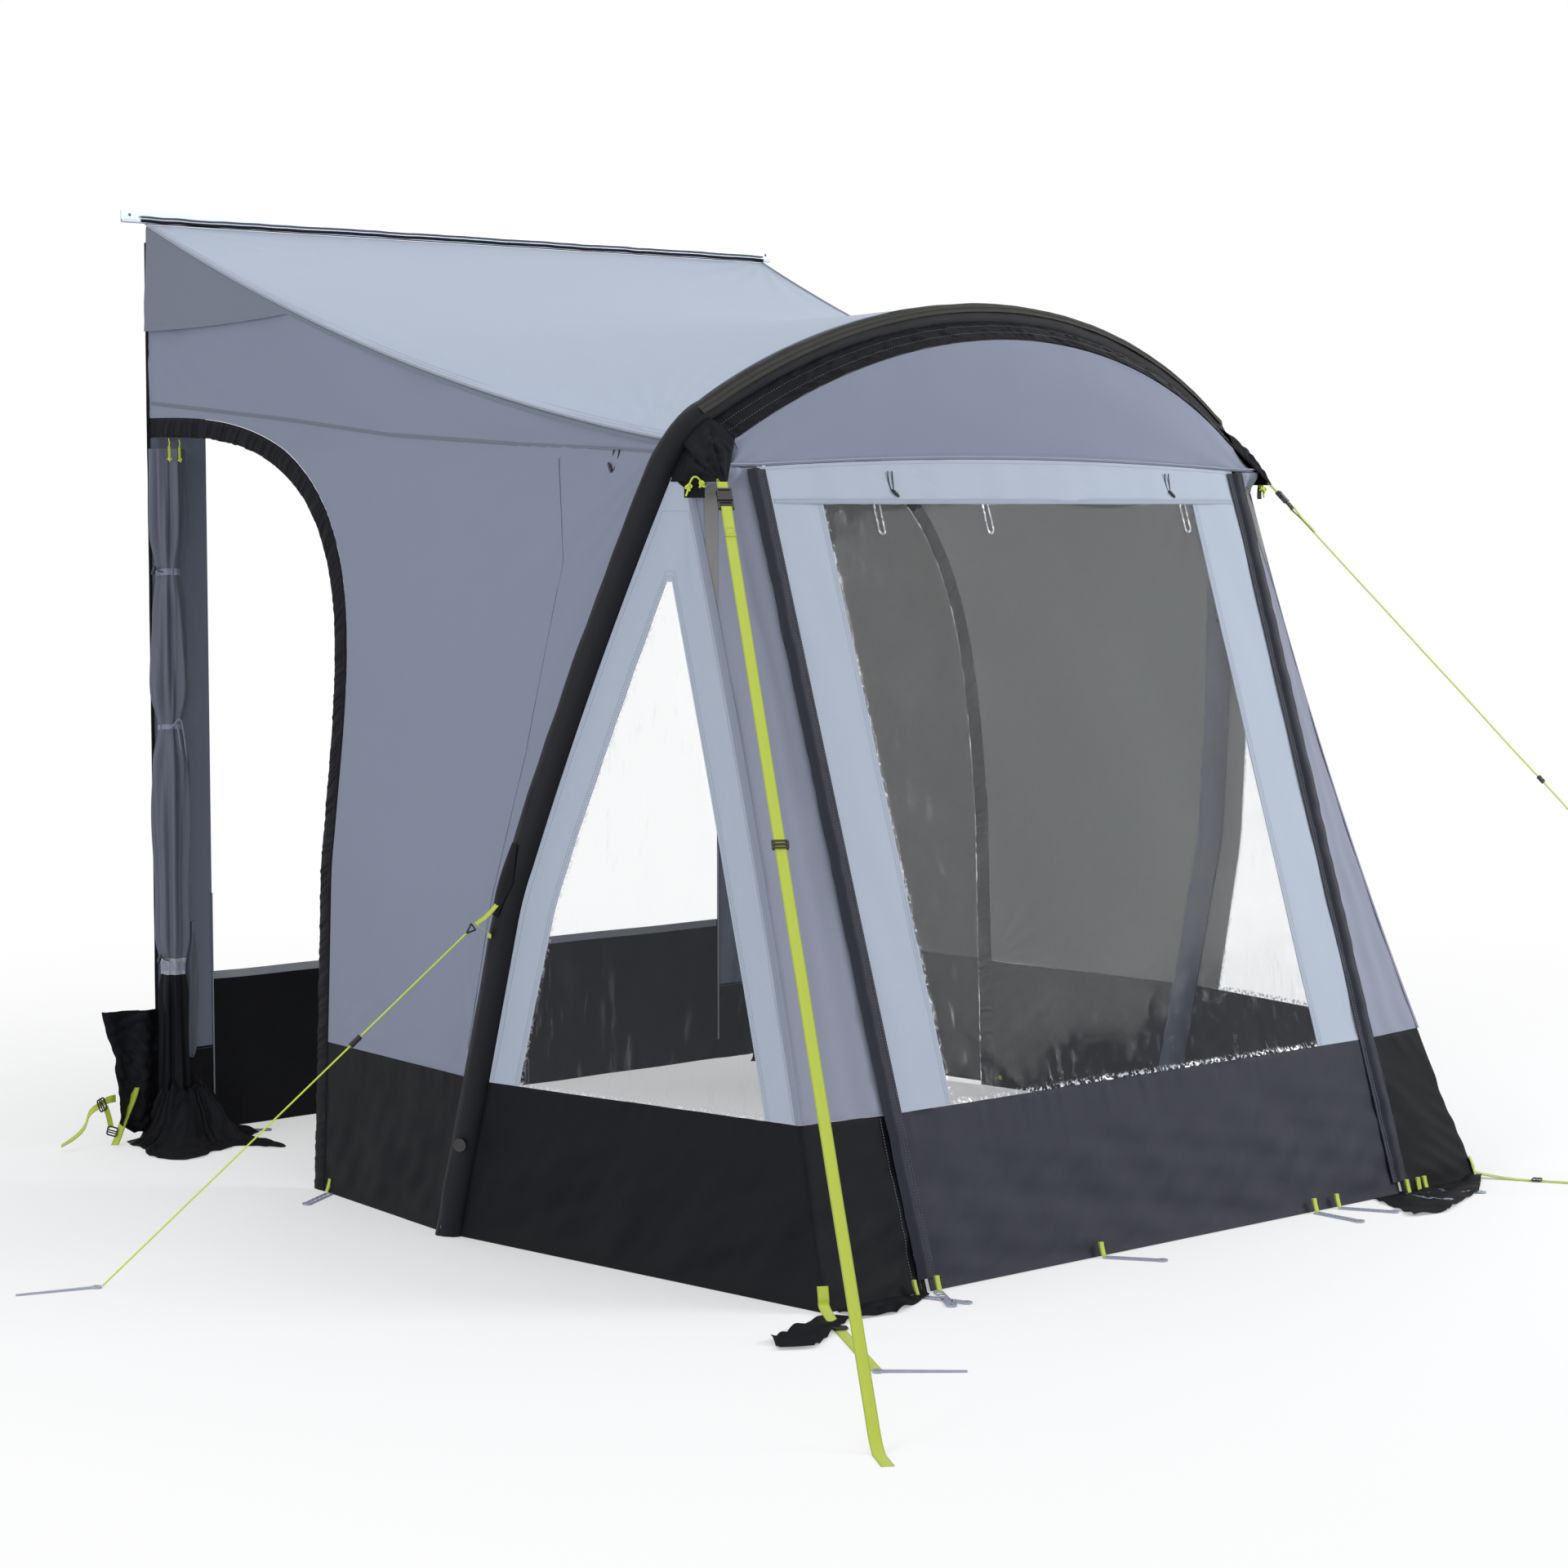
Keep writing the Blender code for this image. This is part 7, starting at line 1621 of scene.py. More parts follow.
def make_curtain():
    """Gathered leaf: an open ring whose radius swings with the turn in seven deep folds and finer
    ones between them. The folds drift round with height and are shallow where a tie draws the
    column in. The lowest part is dark, below a pale cuff."""
    turns = np.linspace(0.06, 2.0 * math.pi - 0.06, 150)[None, :] + 0.5 * math.pi
    for part, low, high, finish, rows in (("cloth", 0.500, CURTAIN_HEAD, "curtain", 190), ("cuff", 0.455, 0.500, "hem", 10),
                                          ("foot", 0.010, 0.455, "dark", 60)):
        z = np.linspace(low, high, rows)[:, None]
        radius, drawn = curtain_radius(z)
        drift = 1.1 * z + 0.5 * noise1(z, 321, 0.45)
        deep = np.cos(7.0 * turns + drift * 2.0) + 0.45 * np.cos(12.0 * turns - drift * 3.0 + 1.0)
        fine = 0.25 * np.cos(23.0 * turns + 5.0 * z) + 0.30 * noise1(z * 0.12 + turns * 0.09, 323, 0.022)
        swing = 1.0 + 0.17 * (1.0 - 0.55 * drawn) * deep + 0.05 * fine
        x = CURTAIN_X + radius * swing * np.cos(turns) * 0.95
        y = CURTAIN_Y + radius * swing * np.sin(turns)
        y = np.minimum(y, -0.0145)
        grid = np.stack([x, y, z + 0.0 * turns], axis=-1)
        hint = np.stack([np.cos(turns) + 0.0 * z, np.sin(turns) + 0.0 * z, 0.0 * z + 0.0 * turns], axis=-1)
        made = cloth("curtain_" + part, grid, hint, finish, finish, "awning",
                     0.0014, sheet="gathered", sharp=80.0)
        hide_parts("door_curtain_left")
    for name, z, wide, finish in (("upper", 1.55, 0.018, "grey"), ("middle", 1.13, 0.014, "grey"),
                                  ("lower", 0.475, 0.022, "grey_light")):
        turn = np.linspace(0.03, 2.0 * math.pi - 0.03, 90) + 0.5 * math.pi
        radius = float(curtain_radius(np.array([z]))[0][0]) * (1.06 + 0.07 * np.cos(7.0 * turn + 2.2 * z))
        path = np.stack([CURTAIN_X + radius * np.cos(turn) * 0.95, np.minimum(CURTAIN_Y + radius * np.sin(turn), -0.013),
                         z + 0.004 * np.cos(turn + 2.0)], axis=1)
        grid = ribbon_grid(path, (0.0, 0.0, 1.0), wide, 6)
        hint = np.repeat(np.stack([np.cos(turn), np.sin(turn), 0.0 * turn], axis=1)[:, None], 6, axis=1)
        cloth("curtain_tie_" + name, grid, hint, finish, finish, "awning", 0.0012)
    for name, z in (("upper", 1.557), ("lower", 0.500)):
        at = np.array([CURTAIN_X - 0.050, CURTAIN_Y - 0.010, z])
        barrel("curtain_toggle_" + name, at, (0.15, -0.35, 1.0), 0.026, 0.0055)
        loop = np.array([at + (0.0, -0.002, 0.012), at + (0.004, -0.008, 0.004), at + (0.010, -0.012, -0.002),
                         at + (0.020, -0.014, -0.004)])
        tube("curtain_cord_" + name, curve_through(loop, 20), 0.0016, 8, "black_cord", "awning")
    ends = np.array([(-1.098, -0.108, 1.140), (-1.086, -0.118, 1.155), (-1.074, -0.114, 1.130), (-1.062, -0.106, 1.080),
                     (-1.056, -0.103, 1.040)])
    tube("curtain_tie_end_a", curve_through(ends, 30), 0.0024, 8, "grey", "awning")
    tube("curtain_tie_end_b", curve_through(ends + (-0.012, 0.002, -0.012), 30), 0.0022, 8, "grey", "awning")


CURTAIN_X, CURTAIN_Y, CURTAIN_HEAD = -1.083, -0.0640, 1.885


def make_skirt():
    """Draught skirt: five upright folds that are flat at its ends, crossed by slanted slack
    creases, with a pale hem along its top."""
    half = REAR_HALF - CLOTH - 0.0010 - PILLAR_WIDTH - GAP
    x = np.linspace(-half, half, 320)[None, :]
    z = np.linspace(0.0, SKIRT_TOP, 60)[:, None]
    ends = np.minimum(1.0, (half - np.abs(x)) / 0.08)
    fold = 0.006 * ends * (1.0 + np.sin(10.0 * math.pi * (x + half) / (2.0 * half))) / 2.0
    crease = 0.0035 * ends * (1.0 + waves(x + 1.6 * z, z, 331, 0.34, 8, 1.0)) * 0.5
    grid = np.stack([x + 0.0 * z, -(0.0016 + CLOTH + fold + crease), z + 0.0 * x], axis=-1)
    made = cloth("skirt_cloth", grid, (0, -1, 0), "dark", "dark_inside", "awning", 0.0014, floor=0.0,
                 sheet="hung")
    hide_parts("draught_skirt")
    hem = grid[-1] + np.array([0.0, -0.0012, -0.010])
    strip = ribbon_grid(hem[::2], (0.0, 0.0, 1.0), 0.022, 5)
    cloth("skirt_hem", strip, (0, -1, 0), "hem", "hem", "awning", 0.0012)


def make_bunch(side, sign):
    """Spare length of mud flap, bunched on the ground round the foot of the pillar: a fan whose
    radius has two long points, falling from the pillar to the ground, with ridges that spread
    from its middle and crumples across them."""
    first, last = (180.0, 352.0) if sign < 0 else (200.0, 322.0)
    phi = np.radians(np.linspace(first, last, 230))[:, None]
    t = np.linspace(0.0, 1.0, 64)[None, :]
    turn = np.degrees(phi)
    size = 1.0 if sign < 0 else 0.62
    reach = 0.195 + 0.185 * np.exp(-((turn - 234.0) / 17.0) ** 2) + 0.140 * np.exp(-((turn - 288.0) / 9.0) ** 2)
    reach = reach + 0.060 * np.exp(-((turn - 262.0) / 16.0) ** 2)
    reach = size * (reach + 0.016 * noise1(phi, 341, 0.12))
    top = size * (0.135 + 0.012 * noise1(phi, 343, 0.16))
    radius = 0.052 + (reach - 0.052) * t ** 1.15
    ridge = np.abs(np.sin(9.0 * phi + 2.2 * noise1(phi, 345, 0.30) + 1.4 * t)) ** 0.7
    fall = (1.0 - smooth(t / 0.72)) * top
    crumple = 0.016 * ridge * np.sin(math.pi * np.clip(t, 0.0, 1.0)) ** 0.6
    crumple += 0.008 * np.abs(waves(radius * np.cos(phi), radius * np.sin(phi), 347, 0.085, 9))
    crumple += 0.006 * np.abs(noise1(phi + 0.6 * t, 349, 0.05)) * (1.0 - t)
    z = 0.0032 + fall + size * crumple * (0.25 + 0.75 * (1.0 - t ** 3))
    radius = radius + 0.010 * size * waves(phi, t * 0.6, 351, 0.35, 8) * t * (1.0 - 0.4 * t)
    x = sign * (1.052 - radius * np.cos(phi))
    y = np.minimum(-0.050 + radius * np.sin(phi), -0.0190 + 0.004 * (1.0 - t))
    grid = np.stack([x, y, np.maximum(z, 0.0032)], axis=-1)
    made = cloth("mud_flap_" + side, grid, (0, -0.2, 1), "dark", "dark_inside", "awning", 0.0022, floor=0.0006,
                 sheet="laid", sharp=60.0)
    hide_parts("rear_flap_" + side)


def make_loose_flap():
    """Pointed end of the left mud flap, standing out from the wall's rear edge: straight lines from
    that edge to a jagged outer edge, waved along its length."""
    z = np.linspace(0.030, 0.366, 90)
    heights = np.array([0.030, 0.060, 0.200, 0.236, 0.262, 0.320, 0.366])
    reach = np.array([1.215, 1.262, 1.262, 1.252, 1.262, 1.284, 1.302])
    outer = np.stack([-np.interp(z, heights, reach), -0.052 - 0.022 * np.sin(z * 17.0), z], axis=1)
    inner = np.stack([np.full(90, -1.1045), np.full(90, -0.030), 0.020 + (z - 0.030) * 1.0], axis=1)
    s = np.linspace(0.0, 1.0, 40)[None, :]
    grid = lerp(inner[:, None], outer[:, None], s[..., None])
    fold = 0.014 * np.sin(2.0 * math.pi * (s * 1.5 + 0.9 * z[:, None])) * np.sin(math.pi * s) ** 0.5
    grid[..., 1] += fold * s ** 0.3 - 0.004 * np.abs(waves(s * 0.2, z[:, None], 361, 0.07, 7))
    grid[..., 1] = np.minimum(grid[..., 1], -0.006)
    made = cloth("mud_flap_end_left", grid, (0, -1, 0), "dark", "dark_inside", "awning", 0.0022,
                 sheet="hung", sharp=60.0)
    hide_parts("rear_flap_left")


def curve_through(points, count):
    """Smooth path through a few points: cubic Hermite pieces with slopes from each point's
    neighbours, then equal steps."""
    points = np.asarray(points, float)
    slope = np.gradient(points, axis=0)
    s = np.linspace(0.0, 1.0, 16, endpoint=False)[None, :, None]
    a, b, p, q = points[:-1, None], points[1:, None], slope[:-1, None], slope[1:, None]
    fine = (2 * s ** 3 - 3 * s ** 2 + 1) * a + (s ** 3 - 2 * s ** 2 + s) * p + (3 * s ** 2 - 2 * s ** 3) * b + \
        (s ** 3 - s ** 2) * q
    return resample(np.concatenate([fine.reshape(-1, points.shape[1]), points[-1:]]), count)


def barrel(name, centre, axis, length, radius, body="awning", finish="plastic"):
    """Toggle: a barrel whose radius rises and falls along its length, with a groove at its middle."""
    s = np.linspace(0.0, 1.0, 25)
    shape = np.sin(math.pi * np.clip(s, 0.03, 0.97)) ** 0.35 - 0.25 * np.exp(-((s - 0.5) / 0.06) ** 2)
    path = np.asarray(centre) + unit(axis) * ((s - 0.5) * length)[:, None]
    return tube(name, path, radius * shape, 14, finish, body)


def knot(name, centre, size, radius, turned=0.0, finish="cord", body="awning"):
    """Overhand knot: the closed path (sin t + 2 sin 2t, cos t - 2 cos 2t, - sin 3t), scaled."""
    t = np.linspace(0.0, 2.0 * math.pi, 90)
    flat = np.stack([np.sin(t) + 2.0 * np.sin(2.0 * t), -1.4 * np.sin(3.0 * t), np.cos(t) - 2.0 * np.cos(2.0 * t)], axis=1)
    c, s = math.cos(turned), math.sin(turned)
    flat = flat @ np.array([(c, 0.0, s), (0.0, 1.0, 0.0), (-s, 0.0, c)])
    return tube(name, np.asarray(centre) + flat * size / 3.0, radius, 8, finish, body)


def webbing(name, path, across, hint, body="awning", width=STRAP_WIDTH, thick=STRAP_THICK, finish="lime", node=None,
            floor=None):
    """Flat webbing: columns across its width, half its thickness on each side of the path, with the
    map's first direction along it."""
    grid = ribbon_grid(path, across, width, 7)
    grid = grid + normals_of(grid, hint) * thick / 2.0
    made = cloth(name, grid.swapaxes(0, 1), hint, finish, finish, body, thick, floor=floor, sharp=40.0)
    if node:
        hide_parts(node)
    return made


# Shoulder: gap closed beside the gable, patch, tongue and buckle's webbing

def shoulder_points():
    """Ends of the gathered band and of the header seam on the right side."""
    rear, front, out = gable_curves(400)
    rear, front = mirror(rear[0], -1.0 if rear[0][0] < 0 else 1.0), mirror(front[0], -1.0 if front[0][0] < 0 else 1.0)
    seam = on_front(front[0], float(header_z(front[0])), 0.0)
    return rear, front, seam


def make_shoulder(side, sign):
    """Cloth between the sleeve, the corner and the gable: pale up to the patch, dark above it. Both
    are ruled from the sleeve's front side to the outline of the corner and the gable."""
    rear, front, seam = shoulder_points()
    t = np.linspace(0.0, 1.0, 14)[None, :, None]
    low = EDGE_TOP_Z - 0.020
    split = 1.796
    z = np.linspace(low, split, 24)
    first = leg_side(z, 1.0)
    last = lerp(front_edge(low), front_edge(EDGE_TOP_Z - 0.004), np.linspace(0.0, 1.0, 24)[:, None])
    last = last + unit(first - last) * 0.0024
    grid = lerp(first[:, None], last[:, None], t)
    cloth("bay_head_" + side, mirror(grid, sign), (sign, -0.3, 0), "pale", "inside", "awning")
    z = np.linspace(split + 0.0005, 1.872, 30)
    first = np.concatenate([leg_side(z, 1.0), lerp(leg_side(1.872, 1.0), rear, np.linspace(0.2, 1.0, 5)[:, None])])
    corner = front_edge(EDGE_TOP_Z - 0.003)
    last = resample(np.array([corner, seam + FRONT_NORMAL * 0.001, front - np.array([0.0, 0.0, 0.001])]), len(first))
    grid = lerp(first[:, None], last[:, None], t)
    u, v = spans(grid)
    normal = normals_of(grid, (1, -0.6, 0.6))
    relief = (0.0016 * waves(u, v, 371, 0.05, 7) + 0.0014) * np.sin(math.pi * t[..., 0]) ** 0.5
    grid = mirror(grid + normal * relief[..., None], sign)
    cloth("shoulder_" + side, grid, (sign, -0.6, 0.6), "dark", "dark_inside", "awning", 0.0016, sharp=70.0)


def strap_frame(sign):
    """Tip of the patch, end on the ground, level direction, width direction and run of the strap."""
    tip, end = TIP * np.array([sign, 1.0, 1.0]), STRAP_END * np.array([sign, 1.0, 1.0])
    level = unit((end - tip) * np.array([1.0, 1.0, 0.0]))
    across = np.array([-level[1], level[0], 0.0])
    return tip, end, level, across, unit(end - tip)


def make_patch(side, sign):
    """Shoulder patch: ruled from a line on the sleeve and round the end of the gathered band to the
    short line at its tip, bowed outwards, with folds that run to the tip."""
    tip, end, level, across, run = strap_frame(sign)
    rear, front, out = gable_curves(1200)
    sleeve = leg_side(np.linspace(1.786, 1.872, 40), 1.0)
    sleeve[:, 1] -= 0.002
    line, radial = top_part(1.872, 1200)
    take = 1200 - 1 - np.arange(0, 150)
    along = line[take] - ARCH_NORMAL * (SLEEVE_RADIUS - 0.006) + radial[take] * 0.012
    edge_at = take[-1]
    share = np.linspace(0.0, 1.0, 40)[1:, None]
    over = lerp(along[-1], front[edge_at] - radial[edge_at] * 0.002 - ARCH_NORMAL * 0.004, share)
    over = over + radial[edge_at] * 0.010 * np.sin(math.pi * share)
    first = mirror(resample(np.concatenate([sleeve, along, over]), 70), sign)
    ends = [tip + across * STRAP_WIDTH / 2.0 * s for s in (1.0, -1.0)]
    if ends[0][0] * sign < ends[1][0] * sign:
        ends = ends[::-1]
    shares = np.linspace(0.0, 1.0, 70)[:, None]
    last = lerp(ends[0], ends[1], shares)
    t = np.linspace(0.0, 1.0, 44)[None, :]
    grid = lerp(first[:, None], last[:, None], t[..., None])
    hint = np.array([0.3 * sign, -0.8, 0.6])
    normal = normals_of(grid, hint)
    fan = np.linspace(0.0, 1.0, 70)[:, None]
    bow = 0.014 * np.sin(math.pi * t) ** 0.8 * np.sin(math.pi * np.clip(fan, 0.0, 1.0)) ** 0.5
    fold = 0.0030 * np.sin(2 * math.pi * (fan * 5.0 + 0.3 * noise1(t * 0.1, 383, 0.05))) * np.sin(math.pi * t) ** 0.7
    fold += 0.0016 * waves(fan * 0.12, t * 0.15, 381, 0.030, 8)  * np.sin(math.pi * t) ** 0.5
    grid = grid + normal * (bow + fold * np.sin(math.pi * fan) ** 0.4)[..., None]
    made = cloth("patch_" + side, grid, hint, "dark", "dark_inside", "awning", 0.0022, sheet="stretched",
                 sharp=70.0)
    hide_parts("strap_patch_" + side)
    through = unit(np.cross(across, run))
    outward = -through if through @ hint > 0.0 else through
    steps = np.linspace(-0.010, 0.0268, 24)[:, None]
    tongue = tip + run * steps + through * 0.0015
    webbing("patch_webbing_" + side, tongue, across, -through if through @ (0, 0, 1) < 0 else through, thick=0.0030,
            node="strap_patch_" + side)
    return outward


def make_storm_strap(side, sign):
    """Storm strap in its upright plane: its tail, the turn round the plug's bar, and the straight
    run to the ground with a faint slack wave, ending flat on the ground."""
    tip, end, level, across, run = strap_frame(sign)
    flat_span = np.linalg.norm((end - tip)[:2])
    slope = unit(np.array([flat_span, -tip[2]]))
    up = np.array([-slope[1], slope[0]])
    bar, turn = 0.0826, 0.0048
    total = math.hypot(flat_span, tip[2])

    def at(along, off):
        return np.array([0.0, tip[2]]) + slope * np.reshape(along, (-1, 1)) + up * np.reshape(off, (-1, 1))

    s = np.linspace(1.0, 0.06, 60)
    tail = at(bar + 0.085 * s, STRAP_THICK * 0.5 + 0.0004 + (turn - 0.0012) * np.maximum(0.0, 1.0 - 2.5 * s) ** 1.2)
    a = np.radians(np.linspace(90.0, -90.0, 24))
    loop = at(bar - turn * np.cos(a), turn * np.sin(a))
    d = np.linspace(0.004, 0.30, 60)
    below = at(bar + d, -STRAP_THICK * 0.5 - 0.0004 - (turn - 0.0012) * np.maximum(0.0, 1.0 - d / 0.045) ** 1.2)
    ground = STRAP_THICK / 2.0
    reach = (tip[2] - ground) / -slope[1]
    far = min(total, reach) + 8.0 * STRAP_THICK / slope[1] * -1.0 * 0.0
    d = np.linspace(bar + 0.32, far - 0.02, 260)
    wave = 0.0007 * np.sin(d * 19.0) * np.sin(math.pi * (d - bar - 0.32) / (far - bar - 0.34)) - 0.0008
    long = at(d, wave)
    last = at(far, 0.0)[0]
    foot = np.stack([last[0] + np.linspace(0.012, 0.030 + 0.060, 30), np.full(30, ground)], axis=1)
    path = np.concatenate([tail, loop, below, long, foot])
    path[:, 1] = np.maximum(path[:, 1], ground)
    path[-40:] = soften(path[-40:], 3)
    points = tip * np.array([1.0, 1.0, 0.0]) + path[:, :1] * level + path[:, 1:] * np.array([0.0, 0.0, 1.0])
    webbing("strap_" + side, points, across, (0, 0, 1), node="storm_strap_" + side, floor=0.0)
    mark = tip + run * (bar + 0.085 * 0.86)
    box = np.array([(-0.009, 0.0), (0.009, 0.0), (0.009, 0.018), (-0.009, 0.018), (-0.009, 0.0)])
    normal = unit(np.cross(across, run))
    normal = normal if normal[2] > 0.0 else -normal
    row = mark - run * 0.012 + box[:, :1] * across + box[:, 1:] * run + normal * 0.0024
    stitches("strap_stitches_" + side, resample(row, 60), normal, "thread", "awning")


def make_corner_strap(side, sign):
    """Corner's pegging strap: down the folded edge, then out along the ground to its peg, with a black three-bar
    adjuster."""
    foot = np.array([sign * FRONT_HALF, -FRONT_DEPTH, 0.0])
    level = unit(np.array([sign * 0.50, -0.86, 0.0]))
    across = np.array([-level[1], level[0], 0.0])
    heights = np.array([0.055, 0.030, 0.014])
    corner = front_edge(heights) * np.array([sign, 1.0, 1.0])
    down = np.stack([(corner - foot) @ level + STRAP_THICK / 2.0 + 2.0 * GAP, heights], axis=1)
    out = np.array([(0.050, 0.0055), (0.085, 0.0024), (0.12, STRAP_THICK / 2.0), (0.30, STRAP_THICK / 2.0),
                    (0.50, STRAP_THICK / 2.0)])
    path = curve_through(np.concatenate([down, out]), 160)
    path[:, 1] = np.maximum(path[:, 1], STRAP_THICK / 2.0)
    points = foot + path[:, :1] * level + path[:, 1:] * np.array([0.0, 0.0, 1.0])
    webbing("corner_webbing_" + side, points, across, level * 0.3 + (0, 0, 1), node="corner_strap_" + side, floor=0.0)
    centre = foot + level * 0.150 + np.array([0.0, 0.0, 0.0048])
    adjuster("corner_adjuster_" + side, centre, level, across, (0, 0, 1))


def adjuster(name, centre, run, across, up, body="awning"):
    """Three-bar adjuster: a rounded frame with two upright bars, each a bent or straight round rod
    whose path is a rounded rectangle or a line across it."""
    run, across, up = unit(run), unit(across), unit(up)
    half, length, radius = 0.0165, 0.0115, 0.0022
    turn = np.linspace(0.0, 2.0 * math.pi, 72)
    ring = np.stack([np.sign(np.cos(turn)) * np.abs(np.cos(turn)) ** 0.35 * half,
                     np.sign(np.sin(turn)) * np.abs(np.sin(turn)) ** 0.35 * length], axis=1)
    path = np.asarray(centre) + ring[:, :1] * across + ring[:, 1:] * run
    tube(name, path, radius, 10, "plastic", body)
    for k, share in enumerate((-0.15, 0.35)):
        bar = np.asarray(centre) + run * length * share + np.linspace(-half, half, 12)[:, None] * across
        tube("%s_bar_%d" % (name, k), bar, radius * 0.85, 10, "plastic", body)


def make_guy_loop():
    """V of webbing on the sleeve: from its upper sewn end out to the ring and back to its lower end,
    in the plane of the leg and the pull."""
    centre = np.array([-float(leg_half(0.850)), float(arch_y(0.850)), 0.850])
    end = np.array([-2.174, -1.537, 0.003])
    run = unit(end - centre)
    above, below = (np.array([-float(leg_half(z)), float(arch_y(z)), z]) for z in (0.880, 0.780))
    leg = unit(above - below)
    out = unit(run - leg * (run @ leg))
    flat = np.cross(leg, out)
    foot, reach = SLEEVE_RADIUS - 0.0002, 0.046
    tip = (run @ leg) * (foot + reach) / (run @ out)
    rows = np.array([(tip + 0.062, foot + 0.0006), (tip + 0.050, foot + 0.0022), (tip + 0.022, foot + 0.022),
                     (tip + 0.005, foot + reach - 0.006), (tip + 0.001, foot + reach - 0.001),
                     (tip - 0.004, foot + reach - 0.006), (tip - 0.012, foot + 0.022), (tip - 0.020, foot + 0.0030),
                     (tip - 0.030, foot + 0.0008)])
    path = curve_through(rows, 90)
    points = centre + path[:, :1] * leg + path[:, 1:] * out
    webbing("guy_webbing", points, flat, out, width=0.0155, thick=0.0014, node="guy_loop_left")
    patch_z = np.linspace(0.775, 0.945, 40)
    line = np.stack([-leg_half(patch_z), arch_y(patch_z), patch_z], axis=1)
    spread = np.radians(np.linspace(-42.0, 42.0, 16))
    shape = np.clip(1.0 - np.abs(patch_z - 0.86) / 0.13, 0.15, 1.0)
    around = np.cos(spread[None, :] * shape[:, None])[..., None] * out + np.sin(spread[None, :] * shape[:, None])[..., None] * flat
    grid = line[:, None] + around * (SLEEVE_RADIUS + 0.0032)
    cloth("guy_patch", grid, np.broadcast_to(out, grid.shape), "dark", "dark", "awning", 0.0014)


# Small pieces

def hang_loop(name, top, width, drop, out, radius, finish, body, toggle=False):
    """Cord loop that hangs from two points of a seam: an ellipse's lower half, drawn forward."""
    t = np.linspace(0.0, math.pi, 40)
    path = np.asarray(top) + np.stack([-np.cos(t) * width / 2.0, -out * np.sin(t) - 0.003, -drop * np.sin(t) ** 0.7], axis=1)
    tube(name, path, radius, 8, finish, body)
    if toggle:
        low = path[20] + np.array([0.006, -0.004, -0.004])
        barrel(name + "_toggle", low, (0.75, -0.1, -0.62), 0.026, 0.0046, body)


def make_wall_loop():
    """Cord loop with its toggle on the left wall, under the roof's edge: an ellipse's lower half in
    depth and height, that stands off the wall a little at its lowest point."""
    y, z, width, drop = -1.860, 1.862, 0.020, 0.052
    t = np.linspace(0.0, math.pi, 40)
    top = on_wall(y, z, 0.004) * (-1.0, 1.0, 1.0)
    path = top + np.stack([-0.014 * np.sin(t), -np.cos(t) * width / 2.0, -drop * np.sin(t) ** 0.7], axis=1)
    tube("wall_loop", path, 0.0016, 8, "black_cord", "awning")
    barrel("wall_loop_toggle", path[20] + (-0.002, 0.004, 0.010), (-0.1, 0.35, 0.93), 0.026, 0.0046)


def film_loop(name, x, z, drop=0.060, width=0.019):
    """Tie loop of clear tape: a narrow flat band that hangs in a U before the window."""
    t = np.linspace(0.0, 1.0, 60)
    side = np.where(t < 0.5, -1.0, 1.0)
    turn = np.clip((t - 0.40) / 0.20, 0.0, 1.0) * math.pi
    xs = x - np.cos(turn) * width / 2.0
    zs = z - drop * np.minimum(np.minimum(t, 1.0 - t) / 0.40, 1.0) - np.sin(turn) * width / 2.0
    path = on_front(xs + 0.0 * side, zs, np.full(60, 0.0050))
    ahead = unit(np.gradient(path, axis=0))
    across = unit(np.cross(ahead, FRONT_NORMAL))
    grid = ribbon_grid(path, across, 0.0060, 4)
    cloth(name, grid, FRONT_NORMAL, "clear_tape", "clear_tape", "front", 0.0006)


def peg_loop(name, x, y, outward, body, width=0.013):
    """Lime loop sewn under the lower edge: webbing that comes down, turns and goes back up."""
    outward = unit(np.array([*outward, 0.0]))
    across = np.array([-outward[1], outward[0], 0.0])
    t = np.linspace(0.0, 1.0, 40)
    height = 0.036 - 0.032 * np.sin(math.pi * t) ** 0.7
    off = 0.0035 + 0.011 * np.sin(math.pi * t) + 0.004 * t
    points = np.array([x, y, 0.0]) + off[:, None] * outward + height[:, None] * np.array([0.0, 0.0, 1.0])
    webbing(name, points, across, outward + (0, 0, 0.2), body, width, 0.0013, floor=0.0004)


def ladder_copy(name, place, turn, body="awning"):
    """Another pegging ladder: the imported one's shape, merged, turned about the upright and set
    down with its hook at the place."""
    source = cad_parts["ladder_front_left"].data
    points = np.zeros(len(source.vertices) * 3, np.float32)
    source.vertices.foreach_get("co", points)
    points = points.reshape(-1, 3) - SHIFT
    triangles = np.array([tuple(p.vertices) for p in source.polygons])
    key = np.round(points * 1e5).astype(np.int64)
    _, index, back = np.unique(key, axis=0, return_index=True, return_inverse=True)
    points, triangles = points[index], back.reshape(-1)[triangles]
    triangles = triangles[(triangles[:, 0] != triangles[:, 1]) & (triangles[:, 1] != triangles[:, 2])
                          & (triangles[:, 2] != triangles[:, 0])]
    hook = np.array([-0.8815, -2.784, 0.0])
    c, s = math.cos(turn), math.sin(turn)
    points = (points - hook) @ np.array([(c, s, 0.0), (-s, c, 0.0), (0.0, 0.0, 1.0)]) + np.asarray(place)
    piece(name, points, triangles, "clear", body, sharp=30.0)


